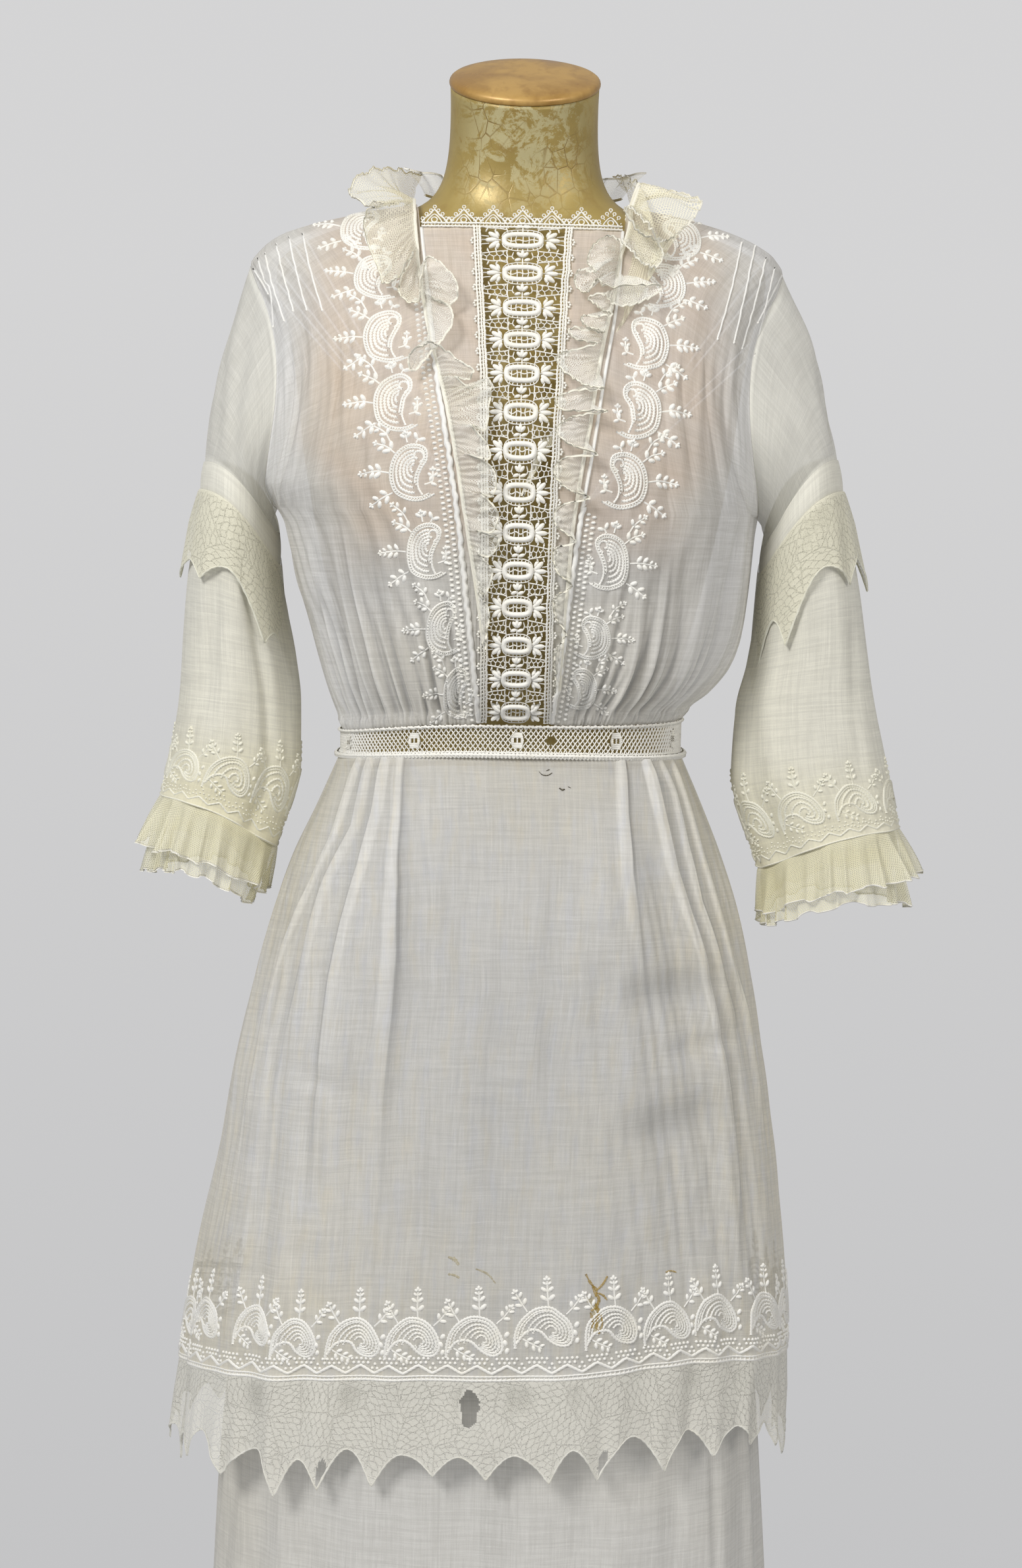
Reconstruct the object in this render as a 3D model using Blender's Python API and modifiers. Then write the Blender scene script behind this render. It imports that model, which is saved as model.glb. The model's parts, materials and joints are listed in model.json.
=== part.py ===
"""Embroidered cotton dress on a limbless dress form with a stand.

Metres, +Z up, the front of the dress looks along -Y. "left" and "right" are as seen from the front, so left is -X.
The part stands on its base. Every cloth piece is a thin wall: an open surface worked out from the section tables
below, thickened by Solidify. The tables give half widths and depths of horizontal sections, one row for each height.
"""
import math

import bmesh
import bpy
import numpy as np
from mathutils import Vector

# ---------------------------------------------------------------- sizes
NAME = "embroidered_cotton_dress"
SHIFT = (-0.0140, -0.0107)   # moves the whole model so that its box is centred on the origin
WALL = 0.0012               # cloth wall
LACE_WALL = 0.0011          # lace and net wall
GAP = 0.0006                # clear space at seams, wide enough for the walls' own tilt
LAYER = 0.0016              # a piece lying on another, mid wall to mid wall

FORM_BOTTOM = 0.740
NECK_TOP = 1.497            # front of the neck's top rim
CAP_TILT = math.radians(25.0)
CAP_RADIUS = 0.0535
POLE_RADIUS = 0.0125
BASE_RADIUS = 0.175
BASE_HEIGHT = 0.022

WAIST_TOP = 1.0595          # top of the lattice waistband, middle front
WAIST_BOTTOM = 1.0385
UNDERARM = 1.207
SHOULDER_TIP = 1.380
NECK_FRONT = 1.4045         # front neckline
NECK_SIDE = 1.4230
NECK_BACK = 1.4340
NECK_HALF = 0.0705          # half width of the front neckline
HEM_UNDER = 0.080           # plain skirt's hem above the floor

# dress form sections: height, half width, front depth, back depth (from the middle line y = 0.005)
FORM = np.array([
    # z      half    front   back
    (0.740, 0.1500, 0.1020, 0.1150),
    (0.760, 0.1580, 0.1080, 0.1230),
    (0.820, 0.1640, 0.1100, 0.1280),
    (0.880, 0.1630, 0.1080, 0.1240),
    (0.940, 0.1500, 0.1030, 0.1100),
    (1.000, 0.1240, 0.0930, 0.0920),
    (1.040, 0.1150, 0.0880, 0.0840),
    (1.070, 0.1165, 0.0900, 0.0840),
    (1.110, 0.1255, 0.0980, 0.0900),
    (1.160, 0.1390, 0.1140, 0.0990),
    (1.210, 0.1490, 0.1270, 0.1060),
    (1.250, 0.1560, 0.1290, 0.1090),
    (1.300, 0.1610, 0.1140, 0.1100),
    (1.340, 0.1680, 0.0930, 0.1060),
    (1.365, 0.1760, 0.0790, 0.1000),
    (1.380, 0.1770, 0.0710, 0.0950),
    (1.392, 0.1680, 0.0640, 0.0900),
    (1.400, 0.1530, 0.0600, 0.0870),
    (1.407, 0.1330, 0.0560, 0.0840),
    (1.413, 0.1080, 0.0520, 0.0800),
    (1.418, 0.0840, 0.0510, 0.0760),
    (1.424, 0.0715, 0.0500, 0.0710),
    (1.434, 0.0620, 0.0490, 0.0630),
    (1.446, 0.0565, 0.0490, 0.0560),
])
# neck above the shoulders: height at the middle, half width, half depth, middle y, share of the cap's tilt
NECK = np.array([
    # z      half    depth   y_mid   tilt
    (1.4600, 0.0540, 0.0520, 0.0040, 0.10),
    (1.4780, 0.0528, 0.0520, 0.0005, 0.45),
    (1.4960, 0.0526, 0.0530, -0.0040, 0.80),
    (1.5085, 0.0530, 0.0535, -0.0080, 1.00),
])
# bodice sections
BODICE = np.array([
    # z      left    right   front   back
    (1.0595, 0.1245, 0.1225, 0.0990, 0.0960),
    (1.0680, 0.1285, 0.1315, 0.1080, 0.1080),
    (1.0800, 0.1340, 0.1460, 0.1170, 0.1200),
    (1.1000, 0.1415, 0.1600, 0.1270, 0.1300),
    (1.1250, 0.1495, 0.1675, 0.1350, 0.1350),
    (1.1550, 0.1590, 0.1710, 0.1400, 0.1350),
    (1.1800, 0.1640, 0.1725, 0.1425, 0.1320),
    (1.1960, 0.1680, 0.1735, 0.1435, 0.1300),
    (1.2100, 0.1765, 0.1750, 0.1440, 0.1280),
    (1.2260, 0.1860, 0.1770, 0.1435, 0.1270),
    (1.2600, 0.1885, 0.1785, 0.1400, 0.1250),
    (1.3000, 0.1880, 0.1790, 0.1260, 0.1230),
    (1.3400, 0.1890, 0.1810, 0.1050, 0.1180),
    (1.3650, 0.1940, 0.1880, 0.0910, 0.1120),
    (1.3800, 0.1950, 0.1885, 0.0820, 0.1070),
    (1.3920, 0.1870, 0.1820, 0.0750, 0.1020),
    (1.4010, 0.1750, 0.1690, 0.0690, 0.0980),
    (1.4080, 0.1560, 0.1530, 0.0640, 0.0940),
    (1.4140, 0.1320, 0.1330, 0.0590, 0.0900),
    (1.4190, 0.1080, 0.1120, 0.0560, 0.0860),
    (1.4240, 0.0800, 0.0810, 0.0550, 0.0810),
    (1.4350, 0.0740, 0.0750, 0.0540, 0.0740),
])
# tunic (over skirt) sections
TUNIC = np.array([
    # z      left    right   front   back
    (1.0385, 0.1265, 0.1240, 0.1010, 0.0970),
    (1.0000, 0.1430, 0.1410, 0.1080, 0.1120),
    (0.9600, 0.1610, 0.1570, 0.1160, 0.1290),
    (0.9200, 0.1740, 0.1700, 0.1240, 0.1420),
    (0.8700, 0.1870, 0.1810, 0.1310, 0.1520),
    (0.8000, 0.2020, 0.1930, 0.1390, 0.1620),
    (0.7400, 0.2110, 0.2020, 0.1440, 0.1690),
    (0.6800, 0.2240, 0.2090, 0.1480, 0.1750),
    (0.6300, 0.2330, 0.2140, 0.1510, 0.1790),
    (0.5900, 0.2390, 0.2155, 0.1530, 0.1820),
    (0.5700, 0.2410, 0.2150, 0.1535, 0.1830),
    (0.5000, 0.2480, 0.2140, 0.1550, 0.1860),
])
# plain under skirt sections
UNDER = np.array([
    # z      left    right   front   back
    (1.0300, 0.1240, 0.1220, 0.0955, 0.0910),
    (1.0000, 0.1370, 0.1350, 0.1010, 0.1030),
    (0.9500, 0.1540, 0.1520, 0.1080, 0.1160),
    (0.9000, 0.1670, 0.1660, 0.1150, 0.1300),
    (0.8400, 0.1720, 0.1710, 0.1180, 0.1370),
    (0.7600, 0.1780, 0.1750, 0.1200, 0.1420),
    (0.6800, 0.1870, 0.1810, 0.1240, 0.1480),
    (0.6000, 0.1970, 0.1880, 0.1280, 0.1540),
    (0.5000, 0.2070, 0.1960, 0.1350, 0.1620),
    (0.4000, 0.2130, 0.2030, 0.1440, 0.1700),
    (0.2400, 0.2220, 0.2130, 0.1580, 0.1810),
    (0.0800, 0.2310, 0.2230, 0.1720, 0.1920),
])
# tunic hem seam: angle round the body (0 front, + to the right), height, length of lace below it
TUNIC_HEM = np.array([
    # deg    z       lace
    (-180.0, 0.5700, 0.060),
    (-135.0, 0.5660, 0.062),
    (-90.0, 0.5730, 0.064),
    (-60.0, 0.5870, 0.060),
    (-30.0, 0.5980, 0.068),
    (0.0, 0.6070, 0.066),
    (30.0, 0.6130, 0.062),
    (60.0, 0.6040, 0.062),
    (90.0, 0.5880, 0.064),
    (135.0, 0.5740, 0.062),
    (180.0, 0.5700, 0.060),
])
# folds of the tunic: angle at the waist, at z 0.93 and at the hem, and how far the cloth stands out there
TUNIC_FRONT_FOLDS = [
    # waist  middle   hem     stand
    (-90.0, -90.0, -90.0, 0.0),
    (-79.0, -85.0, -80.0, 0.0015),
    (-72.0, -76.0, -70.0, 0.0035),
    (-57.0, -58.0, -59.0, -0.0015),
    (-44.0, -43.5, -47.0, 0.0035),
    (-40.0, -36.0, -38.0, -0.0015),
    (-35.0, -27.0, -27.0, 0.0030),
    (-19.0, -17.0, -16.0, -0.0010),
    (0.0, 0.0, -4.0, 0.0000),
    (14.0, 12.0, 9.0, 0.0015),
    (30.0, 24.0, 21.0, -0.0010),
    (41.5, 31.5, 34.0, 0.0030),
    (48.0, 41.0, 46.0, -0.0015),
    (56.0, 51.0, 60.0, 0.0035),
    (66.0, 60.0, 69.0, -0.0010),
    (76.0, 71.0, 79.0, 0.0030),
    (90.0, 90.0, 90.0, 0.0),
]
TUNIC_BACK_FOLDS = [
    # waist   middle    hem     stand
    (90.0, 90.0, 90.0, 0.0),
    (105.0, 103.0, 101.0, -0.0020),
    (118.0, 116.0, 114.0, 0.0035),
    (130.0, 127.0, 124.0, -0.0020),
    (142.0, 139.0, 136.0, 0.0040),
    (153.0, 151.0, 148.0, -0.0020),
    (165.0, 164.0, 162.0, 0.0045),
    (180.0, 180.0, 180.0, -0.0020),
    (195.0, 196.0, 198.0, 0.0045),
    (207.0, 209.0, 212.0, -0.0020),
    (218.0, 221.0, 225.0, 0.0040),
    (230.0, 233.0, 237.0, -0.0020),
    (242.0, 244.0, 248.0, 0.0035),
    (255.0, 257.0, 259.0, -0.0020),
    (270.0, 270.0, 270.0, 0.0),
]
# folds of the plain skirt, the same on both halves
UNDER_FOLDS = [
    # waist  middle  hem     stand
    (-90.0, -90.0, -90.0, 0.0),
    (-72.0, -74.0, -75.0, 0.0040),
    (-56.0, -58.0, -61.0, -0.0040),
    (-42.0, -44.0, -46.0, 0.0050),
    (-26.0, -29.0, -31.0, -0.0030),
    (-12.0, -14.0, -15.0, 0.0040),
    (1.0, 0.0, -1.0, -0.0040),
    (14.0, 13.0, 14.0, 0.0035),
    (28.0, 27.0, 29.0, -0.0035),
    (43.0, 44.0, 44.0, 0.0050),
    (57.0, 59.0, 60.0, -0.0040),
    (73.0, 75.0, 76.0, 0.0040),
    (90.0, 90.0, 90.0, 0.0),
]
# lines down the front, as x at each height: edge of the lace panel, inner edge of the embroidered fronts
FRONT_LINES = np.array([
    # z      lace_l   lace_r  front_l  front_r
    (1.0595, -0.0200, 0.0240, -0.0230, 0.0270),
    (1.1000, -0.0200, 0.0240, -0.0270, 0.0320),
    (1.1500, -0.0205, 0.0240, -0.0330, 0.0370),
    (1.2000, -0.0210, 0.0245, -0.0390, 0.0430),
    (1.2500, -0.0225, 0.0255, -0.0470, 0.0510),
    (1.3000, -0.0240, 0.0275, -0.0560, 0.0580),
    (1.3500, -0.0275, 0.0295, -0.0630, 0.0660),
    (1.4045, -0.0315, 0.0325, -0.0705, 0.0705),
])
# sleeves below the armhole, x away from the middle: outer and inner edge, front and back, drop of the inner side
SLEEVE_LEFT = np.array([
    # z      outer   inner   front    back    drop
    (1.2390, 0.2265, 0.1740, -0.0560, 0.0640, 0.0500),
    (1.2185, 0.2290, 0.1735, -0.0550, 0.0640, 0.0540),
    (1.1900, 0.2340, 0.1720, -0.0520, 0.0640, 0.0400),
    (1.1550, 0.2395, 0.1680, -0.0490, 0.0620, 0.0250),
    (1.1150, 0.2425, 0.1615, -0.0460, 0.0580, 0.0150),
    (1.0750, 0.2445, 0.1565, -0.0450, 0.0530, 0.0100),
    (1.0350, 0.2500, 0.1555, -0.0460, 0.0510, 0.0150),
    (0.9960, 0.2585, 0.1720, -0.0470, 0.0490, 0.0380),
])
SLEEVE_RIGHT = np.array([
    # z      outer   inner   front    back    drop
    (1.2490, 0.2315, 0.1815, -0.0560, 0.0640, 0.0620),
    (1.2260, 0.2360, 0.1800, -0.0550, 0.0640, 0.0600),
    (1.1950, 0.2430, 0.1790, -0.0520, 0.0640, 0.0400),
    (1.1550, 0.2520, 0.1770, -0.0490, 0.0620, 0.0250),
    (1.1150, 0.2590, 0.1720, -0.0460, 0.0580, 0.0150),
    (1.0750, 0.2660, 0.1635, -0.0450, 0.0530, 0.0100),
    (1.0350, 0.2750, 0.1620, -0.0460, 0.0510, 0.0150),
    (0.9820, 0.2870, 0.1840, -0.0470, 0.0490, 0.0330),
])
# slope of the tunic's side beside each cuff, which the net there follows
SKIRT_SIDE = {"left": 0.26, "right": 0.02}
# neck frill: its seam along each side, from the bottom of the front up over the shoulder
FRILL = [
    # x       y       z       reach   inward  outward up      (reach = width, then the way the free edge lies)
    (0.0240, None, 1.1050, 0.012, 1.00, 0.00, 0.00),
    (0.0310, None, 1.1500, 0.020, 1.00, 0.00, 0.00),
    (0.0370, None, 1.2000, 0.024, 1.00, 0.00, 0.00),
    (0.0450, None, 1.2500, 0.025, 1.00, 0.00, 0.00),
    (0.0540, None, 1.2950, 0.026, 1.00, 0.00, 0.10),
    (0.0620, None, 1.3350, 0.028, 0.90, 0.00, 0.30),
    (0.0690, None, 1.3700, 0.030, 0.60, 0.20, 0.40),
    (0.0760, None, 1.3960, 0.034, 0.10, 0.70, 0.60),
    (0.0830, -0.030, None, 0.036, 0.00, 0.80, 0.70),
    (0.0870, -0.005, None, 0.036, 0.00, 0.75, 0.75),
    (0.0850, 0.022, None, 0.034, 0.00, 0.60, 0.85),
]

COLOURS = {
    # name           colour                 roughness metallic
    "lawn_white": ((0.78, 0.78, 0.76), 0.90, 0.0),
    "lawn_cream": ((0.80, 0.78, 0.66), 0.90, 0.0),
    "lace": ((0.82, 0.82, 0.78), 0.88, 0.0),
    "net": ((0.76, 0.73, 0.58), 0.90, 0.0),
    "form_gold": ((0.42, 0.28, 0.09), 0.45, 0.3),
    "cap_lacquer": ((0.50, 0.31, 0.12), 0.35, 0.2),
    "stand_iron": ((0.05, 0.05, 0.05), 0.50, 0.9),
}


# ---------------------------------------------------------------- small tools
def clear_scene():
    for ob in list(bpy.data.objects):
        bpy.data.objects.remove(ob, do_unlink=True)


def curve(table, col, z):
    """Smooth reading of one column of a table at z, with no overshoot (monotone cubic)."""
    t = table[np.argsort(table[:, 0])]
    x, y = t[:, 0], t[:, col]
    d = np.diff(y) / np.diff(x)
    m = np.zeros(len(x))
    m[0], m[-1] = d[0], d[-1]
    for i in range(1, len(x) - 1):
        if d[i - 1] * d[i] > 0:
            m[i] = 2 * d[i - 1] * d[i] / (d[i - 1] + d[i])
    z = min(max(z, x[0]), x[-1])
    i = min(int(np.searchsorted(x, z, side="right")) - 1, len(x) - 2)
    h = x[i + 1] - x[i]
    s = (z - x[i]) / h
    return float(
        (2 * s**3 - 3 * s**2 + 1) * y[i] + (s**3 - 2 * s**2 + s) * h * m[i]
        + (3 * s**2 - 2 * s**3) * y[i + 1] + (s**3 - s**2) * h * m[i + 1]
    )


def ramp(a, b, x):
    s = min(max((x - a) / (b - a), 0.0), 1.0)
    return s * s * (3 - 2 * s)


MID_Y = 0.005


def section(table, z, deg, power, out=0.0):
    """Point of a horizontal section at an angle (0 front, + to the right), moved out by out."""
    a = math.radians(deg)
    s, c = math.sin(a), math.cos(a)
    half = curve(table, 2 if s > 0 else 1, z)
    deep = curve(table, 3 if c > 0 else 4, z)
    e = 2.0 / power
    x = half * math.copysign(abs(s) ** e, s)
    y = -deep * math.copysign(abs(c) ** e, c)
    n = Vector((math.copysign(abs(s) ** (2 - e), s) / half, -math.copysign(abs(c) ** (2 - e), c) / deep, 0.0))
    n.normalize()
    return Vector((x + n.x * out, MID_Y + y + n.y * out, z))


def angle_of_x(table, z, x, power):
    half = curve(table, 2 if x > 0 else 1, z)
    return math.copysign(math.degrees(math.asin(min(1.0, abs(x) / half) ** (power / 2))), x)


BODY_POWER = 2.25
SKIRT_POWER = 2.45


def top_of_waist(deg):
    s = math.sin(math.radians(deg))
    return WAIST_TOP - 0.0125 * max(0.0, -s) ** 2


def bottom_of_waist(deg):
    s = math.sin(math.radians(deg))
    return WAIST_BOTTOM - 0.0095 * max(0.0, -s) ** 2 - 0.0045 * max(0.0, s) ** 2


def body(deg, z, out=0.0):
    """Bodice surface; its rows settle onto the waistband's own line at the bottom."""
    p = section(BODICE, z, deg, BODY_POWER, out)
    p.z += (top_of_waist(deg) + GAP - WAIST_TOP) * (1 - ramp(WAIST_TOP, 1.14, z))
    return p


def on_body(x, z, out=0.0):
    return body(angle_of_x(BODICE, z, x, BODY_POWER), z, out)


def shoulder_height(x, y):
    """Height of the bodice surface over a point of the plan near the shoulders."""
    lo, hi = 1.30, 1.4350
    for _ in range(40):
        z = (lo + hi) / 2
        half = curve(BODICE, 2 if x > 0 else 1, z)
        deep = curve(BODICE, 3 if y < MID_Y else 4, z)
        inside = (abs(x) / half) ** BODY_POWER + (abs(y - MID_Y) / deep) ** BODY_POWER < 1
        lo, hi = (z, hi) if inside else (lo, z)
    return (lo + hi) / 2


def angle_of_point(x, y, z):
    half = curve(BODICE, 2 if x > 0 else 1, z)
    deep = curve(BODICE, 3 if y < MID_Y else 4, z)
    s = (abs(x) / half) ** (BODY_POWER / 2)
    c = (abs(y - MID_Y) / deep) ** (BODY_POWER / 2)
    a = math.degrees(math.atan2(s, c if y < MID_Y else -c))
    return math.copysign(a, x)


def material(name):
    m = bpy.data.materials.get(name)
    if m:
        return m
    colour, rough, metal = COLOURS[name]
    m = bpy.data.materials.new(name)
    m.use_nodes = True
    b = m.node_tree.nodes["Principled BSDF"]
    b.inputs["Base Color"].default_value = (*colour, 1.0)
    b.inputs["Roughness"].default_value = rough
    b.inputs["Metallic"].default_value = metal
    m.diffuse_color = (*colour, 1.0)
    return m


def place(name, mesh, mat):
    ob = bpy.data.objects.new(name, mesh)
    ob.data.materials.append(material(mat))
    COLLECTION.objects.link(ob)
    ob.parent = ROOT
    return ob


def wall(name, rows, mat, thick=WALL, closed=False, flip=False):
    """A loft through rows of points, as an open surface with Solidify. closed joins each row's ends."""
    bm = bmesh.new()
    verts = [[bm.verts.new(p) for p in row] for row in rows]
    n = len(rows[0])
    for a, b in zip(verts, verts[1:]):
        for i in range(n if closed else n - 1):
            j = (i + 1) % n
            quad = (a[i], a[j], b[j], b[i])
            bm.faces.new(tuple(reversed(quad)) if flip else quad)
    mesh = bpy.data.meshes.new(name)
    bm.to_mesh(mesh)
    bm.free()
    ob = place(name, mesh, mat)
    mod = ob.modifiers.new("wall", "SOLIDIFY")
    mod.thickness = thick
    mod.offset = 0.0
    mod.use_even_offset = False
    return ob


def loft(name, rows, mat):
    """A closed solid through rows of points, with flat ends."""
    bm = bmesh.new()
    verts = [[bm.verts.new(p) for p in row] for row in rows]
    n = len(rows[0])
    for a, b in zip(verts, verts[1:]):
        for i in range(n):
            j = (i + 1) % n
            bm.faces.new((a[i], a[j], b[j], b[i]))
    bm.faces.new(tuple(reversed(verts[0])))
    bm.faces.new(tuple(verts[-1]))
    bmesh.ops.recalc_face_normals(bm, faces=bm.faces)
    mesh = bpy.data.meshes.new(name)
    bm.to_mesh(mesh)
    bm.free()
    ob = place(name, mesh, mat)
    ob.data.shade_smooth()
    return ob


def spread(a, b, n):
    return [a + (b - a) * i / (n - 1) for i in range(n)]


# ---------------------------------------------------------------- form and stand
def neck_ring(row, n):
    z, half, deep, mid, share = row
    tilt = CAP_TILT * share
    ring = []
    for i in range(n):
        a = 2 * math.pi * i / n
        x, y = half * math.sin(a), -deep * math.cos(a)
        ring.append(Vector((x, mid + y * math.cos(tilt), z + y * math.sin(tilt))))
    return ring


def build_form():
    n = 28
    rows = []
    for z, half, front, back in FORM:
        ring = []
        for i in range(n):
            a = 2 * math.pi * i / n
            s, c = math.sin(a), math.cos(a)
            e = 2 / 2.15
            deep = front if c > 0 else back
            ring.append(Vector((half * math.copysign(abs(s) ** e, s), MID_Y - deep * math.copysign(abs(c) ** e, c), z)))
        rows.append(ring)
    rows += [neck_ring(r, n) for r in NECK]
    loft("form_torso", rows, "form_gold")
    # the lacquered disc on the neck, leaning forward with it
    z, half, deep, mid, _ = NECK[-1]
    up = Vector((0, -math.sin(CAP_TILT), math.cos(CAP_TILT)))
    along = Vector((0, math.cos(CAP_TILT), math.sin(CAP_TILT)))
    centre = Vector((0, mid, z)) + up * 0.0003
    dome = [(1.00, 0.0), (1.015, 0.0015), (1.015, 0.0035), (0.97, 0.0055), (0.78, 0.0080), (0.45, 0.0100)]
    rows = []
    for scale, height in dome:
        rows.append([
            centre + up * height + Vector((half * scale * math.sin(2 * math.pi * i / n), 0, 0))
            - along * (deep * scale * math.cos(2 * math.pi * i / n))
            for i in range(n)
        ])
    loft("form_neck_cap", rows, "cap_lacquer")


def turned(name, profile, mat, steps=32):
    """A turned solid: the profile is (radius, height) from the top of the axis to its bottom, outer side down."""
    mesh = bpy.data.meshes.new(name)
    bm = bmesh.new()
    vs = [bm.verts.new((r, 0, z)) for r, z in profile]
    for a, b in zip(vs, vs[1:]):
        bm.edges.new((a, b))
    bm.to_mesh(mesh)
    bm.free()
    ob = place(name, mesh, mat)
    mod = ob.modifiers.new("turn", "SCREW")
    mod.steps = mod.render_steps = steps
    mod.use_merge_vertices = True
    mod.merge_threshold = 0.00005
    return ob


def build_stand():
    turned("stand_base", [
        (0.0, BASE_HEIGHT + 0.020), (0.020, BASE_HEIGHT + 0.020), (0.024, BASE_HEIGHT + 0.016), (0.026, BASE_HEIGHT + 0.004),
        (0.060, BASE_HEIGHT - 0.002), (0.120, BASE_HEIGHT - 0.009), (BASE_RADIUS - 0.006, 0.009), (BASE_RADIUS, 0.005),
        (BASE_RADIUS, 0.0), (0.0, 0.0)], "stand_iron", 40)
    turned("stand_pole", [
        (0.0, FORM_BOTTOM - 0.0345), (POLE_RADIUS, FORM_BOTTOM - 0.0345), (POLE_RADIUS, BASE_HEIGHT + 0.0203),
        (0.0, BASE_HEIGHT + 0.0203)], "stand_iron", 20)
    turned("stand_collar", [
        (0.0, FORM_BOTTOM - 0.0003), (0.045, FORM_BOTTOM - 0.0003), (0.045, FORM_BOTTOM - 0.006), (0.020, FORM_BOTTOM - 0.010),
        (0.018, FORM_BOTTOM - 0.0342), (0.0, FORM_BOTTOM - 0.0342)], "stand_iron", 24)


# ---------------------------------------------------------------- bodice
ARM_MID = (UNDERARM + SHOULDER_TIP) / 2
ARM_HALF = (SHOULDER_TIP - UNDERARM) / 2
ARM_FRONT = 27.0            # how far the armhole cuts into the front, in degrees
ARM_BACK = 30.0


def armhole(turn, side, gap=0.0):
    """Armhole line: turn 0 at the shoulder tip, 90 front, 180 underarm, 270 back. Returns angle and height."""
    t = math.radians(turn)
    z = ARM_MID + ARM_HALF * math.cos(t)
    cut = math.sin(t) * (ARM_FRONT if math.sin(t) > 0 else ARM_BACK)
    return side * (90.0 - cut), z


def arm_turn_at(z):
    return math.degrees(math.acos(min(1.0, max(-1.0, (z - ARM_MID) / ARM_HALF))))


def front_inner(z, side):
    return angle_of_x(BODICE, z, side * abs(curve(FRONT_LINES, 4 if side > 0 else 3, z)), BODY_POWER)


def neck_side(k, side):
    """The neckline from the front corner (k 0) to the neck end of the shoulder seam (k 1)."""
    x = side * (NECK_HALF + 0.0085 * k)
    y = -0.060 + (MID_Y + 0.060) * k
    z = shoulder_height(x, y)
    return angle_of_point(x, y, z), z


def neck_back(k, side):
    """The neckline from the shoulder seam (k 0) to the middle of the back (k 1)."""
    z = shoulder_height(side * (NECK_HALF + 0.0085), MID_Y)
    return side * (90.0 + 90.0 * k), z + (NECK_BACK - z) * ramp(0, 1, k)


ARM_STEPS = 8               # rows of each panel along half of the armhole; the sleeve's rings have the same points
LOW_STEPS = 6
LOW = 0.42                  # share of a panel's rows below the underarm


def panel_rows():
    return spread(0, LOW, LOW_STEPS + 1) + [LOW + (1 - LOW) * i / ARM_STEPS for i in range(1, ARM_STEPS + 1)]


def front_frame(v, side):
    """Ends of a row of the front: inner (angle, height) and outer (angle, height). v runs 0 to 1, waist to shoulder."""
    low, high = LOW, LOW + (1 - LOW) * 5 / ARM_STEPS
    if v <= low:
        z = WAIST_TOP + (UNDERARM - WAIST_TOP) * v / low
        return (front_inner(z, side), z), (side * 90.0, z)
    k = (v - low) / (1 - low)
    outer = armhole(180.0 * (1 - k), side)
    if v <= high:
        z = UNDERARM + (NECK_FRONT - UNDERARM) * (v - low) / (high - low)
        return (front_inner(z, side), z), outer
    return neck_side((v - high) / (1 - high), side), outer


def back_frame(v, side):
    low = LOW
    if v <= low:
        z = WAIST_TOP + (UNDERARM - WAIST_TOP) * v / low
        return (side * 180.0, z), (side * 90.0, z)
    k = (v - low) / (1 - low)
    outer = armhole(180.0 + 180.0 * k, side)
    part = 5 / ARM_STEPS
    if k < part:
        z = UNDERARM + (NECK_BACK - UNDERARM) * k / part
        return (side * 180.0, z), outer
    return neck_back(1 - (k - part) / (1 - part), side), outer


def gather(u, v, cells, depth):
    """Fold depth of gathered cloth that is held at the waist and lets go up the bodice."""
    return depth * math.cos(math.pi * cells * u) * min(1.0, 7 * min(u, 1 - u)) * ramp(0.0, 0.10, v) * (1 - ramp(0.16, 0.62, v))


PANEL_LEVELS = spread(1.0600, NECK_FRONT, 13)     # rows of every narrow piece down the front


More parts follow.
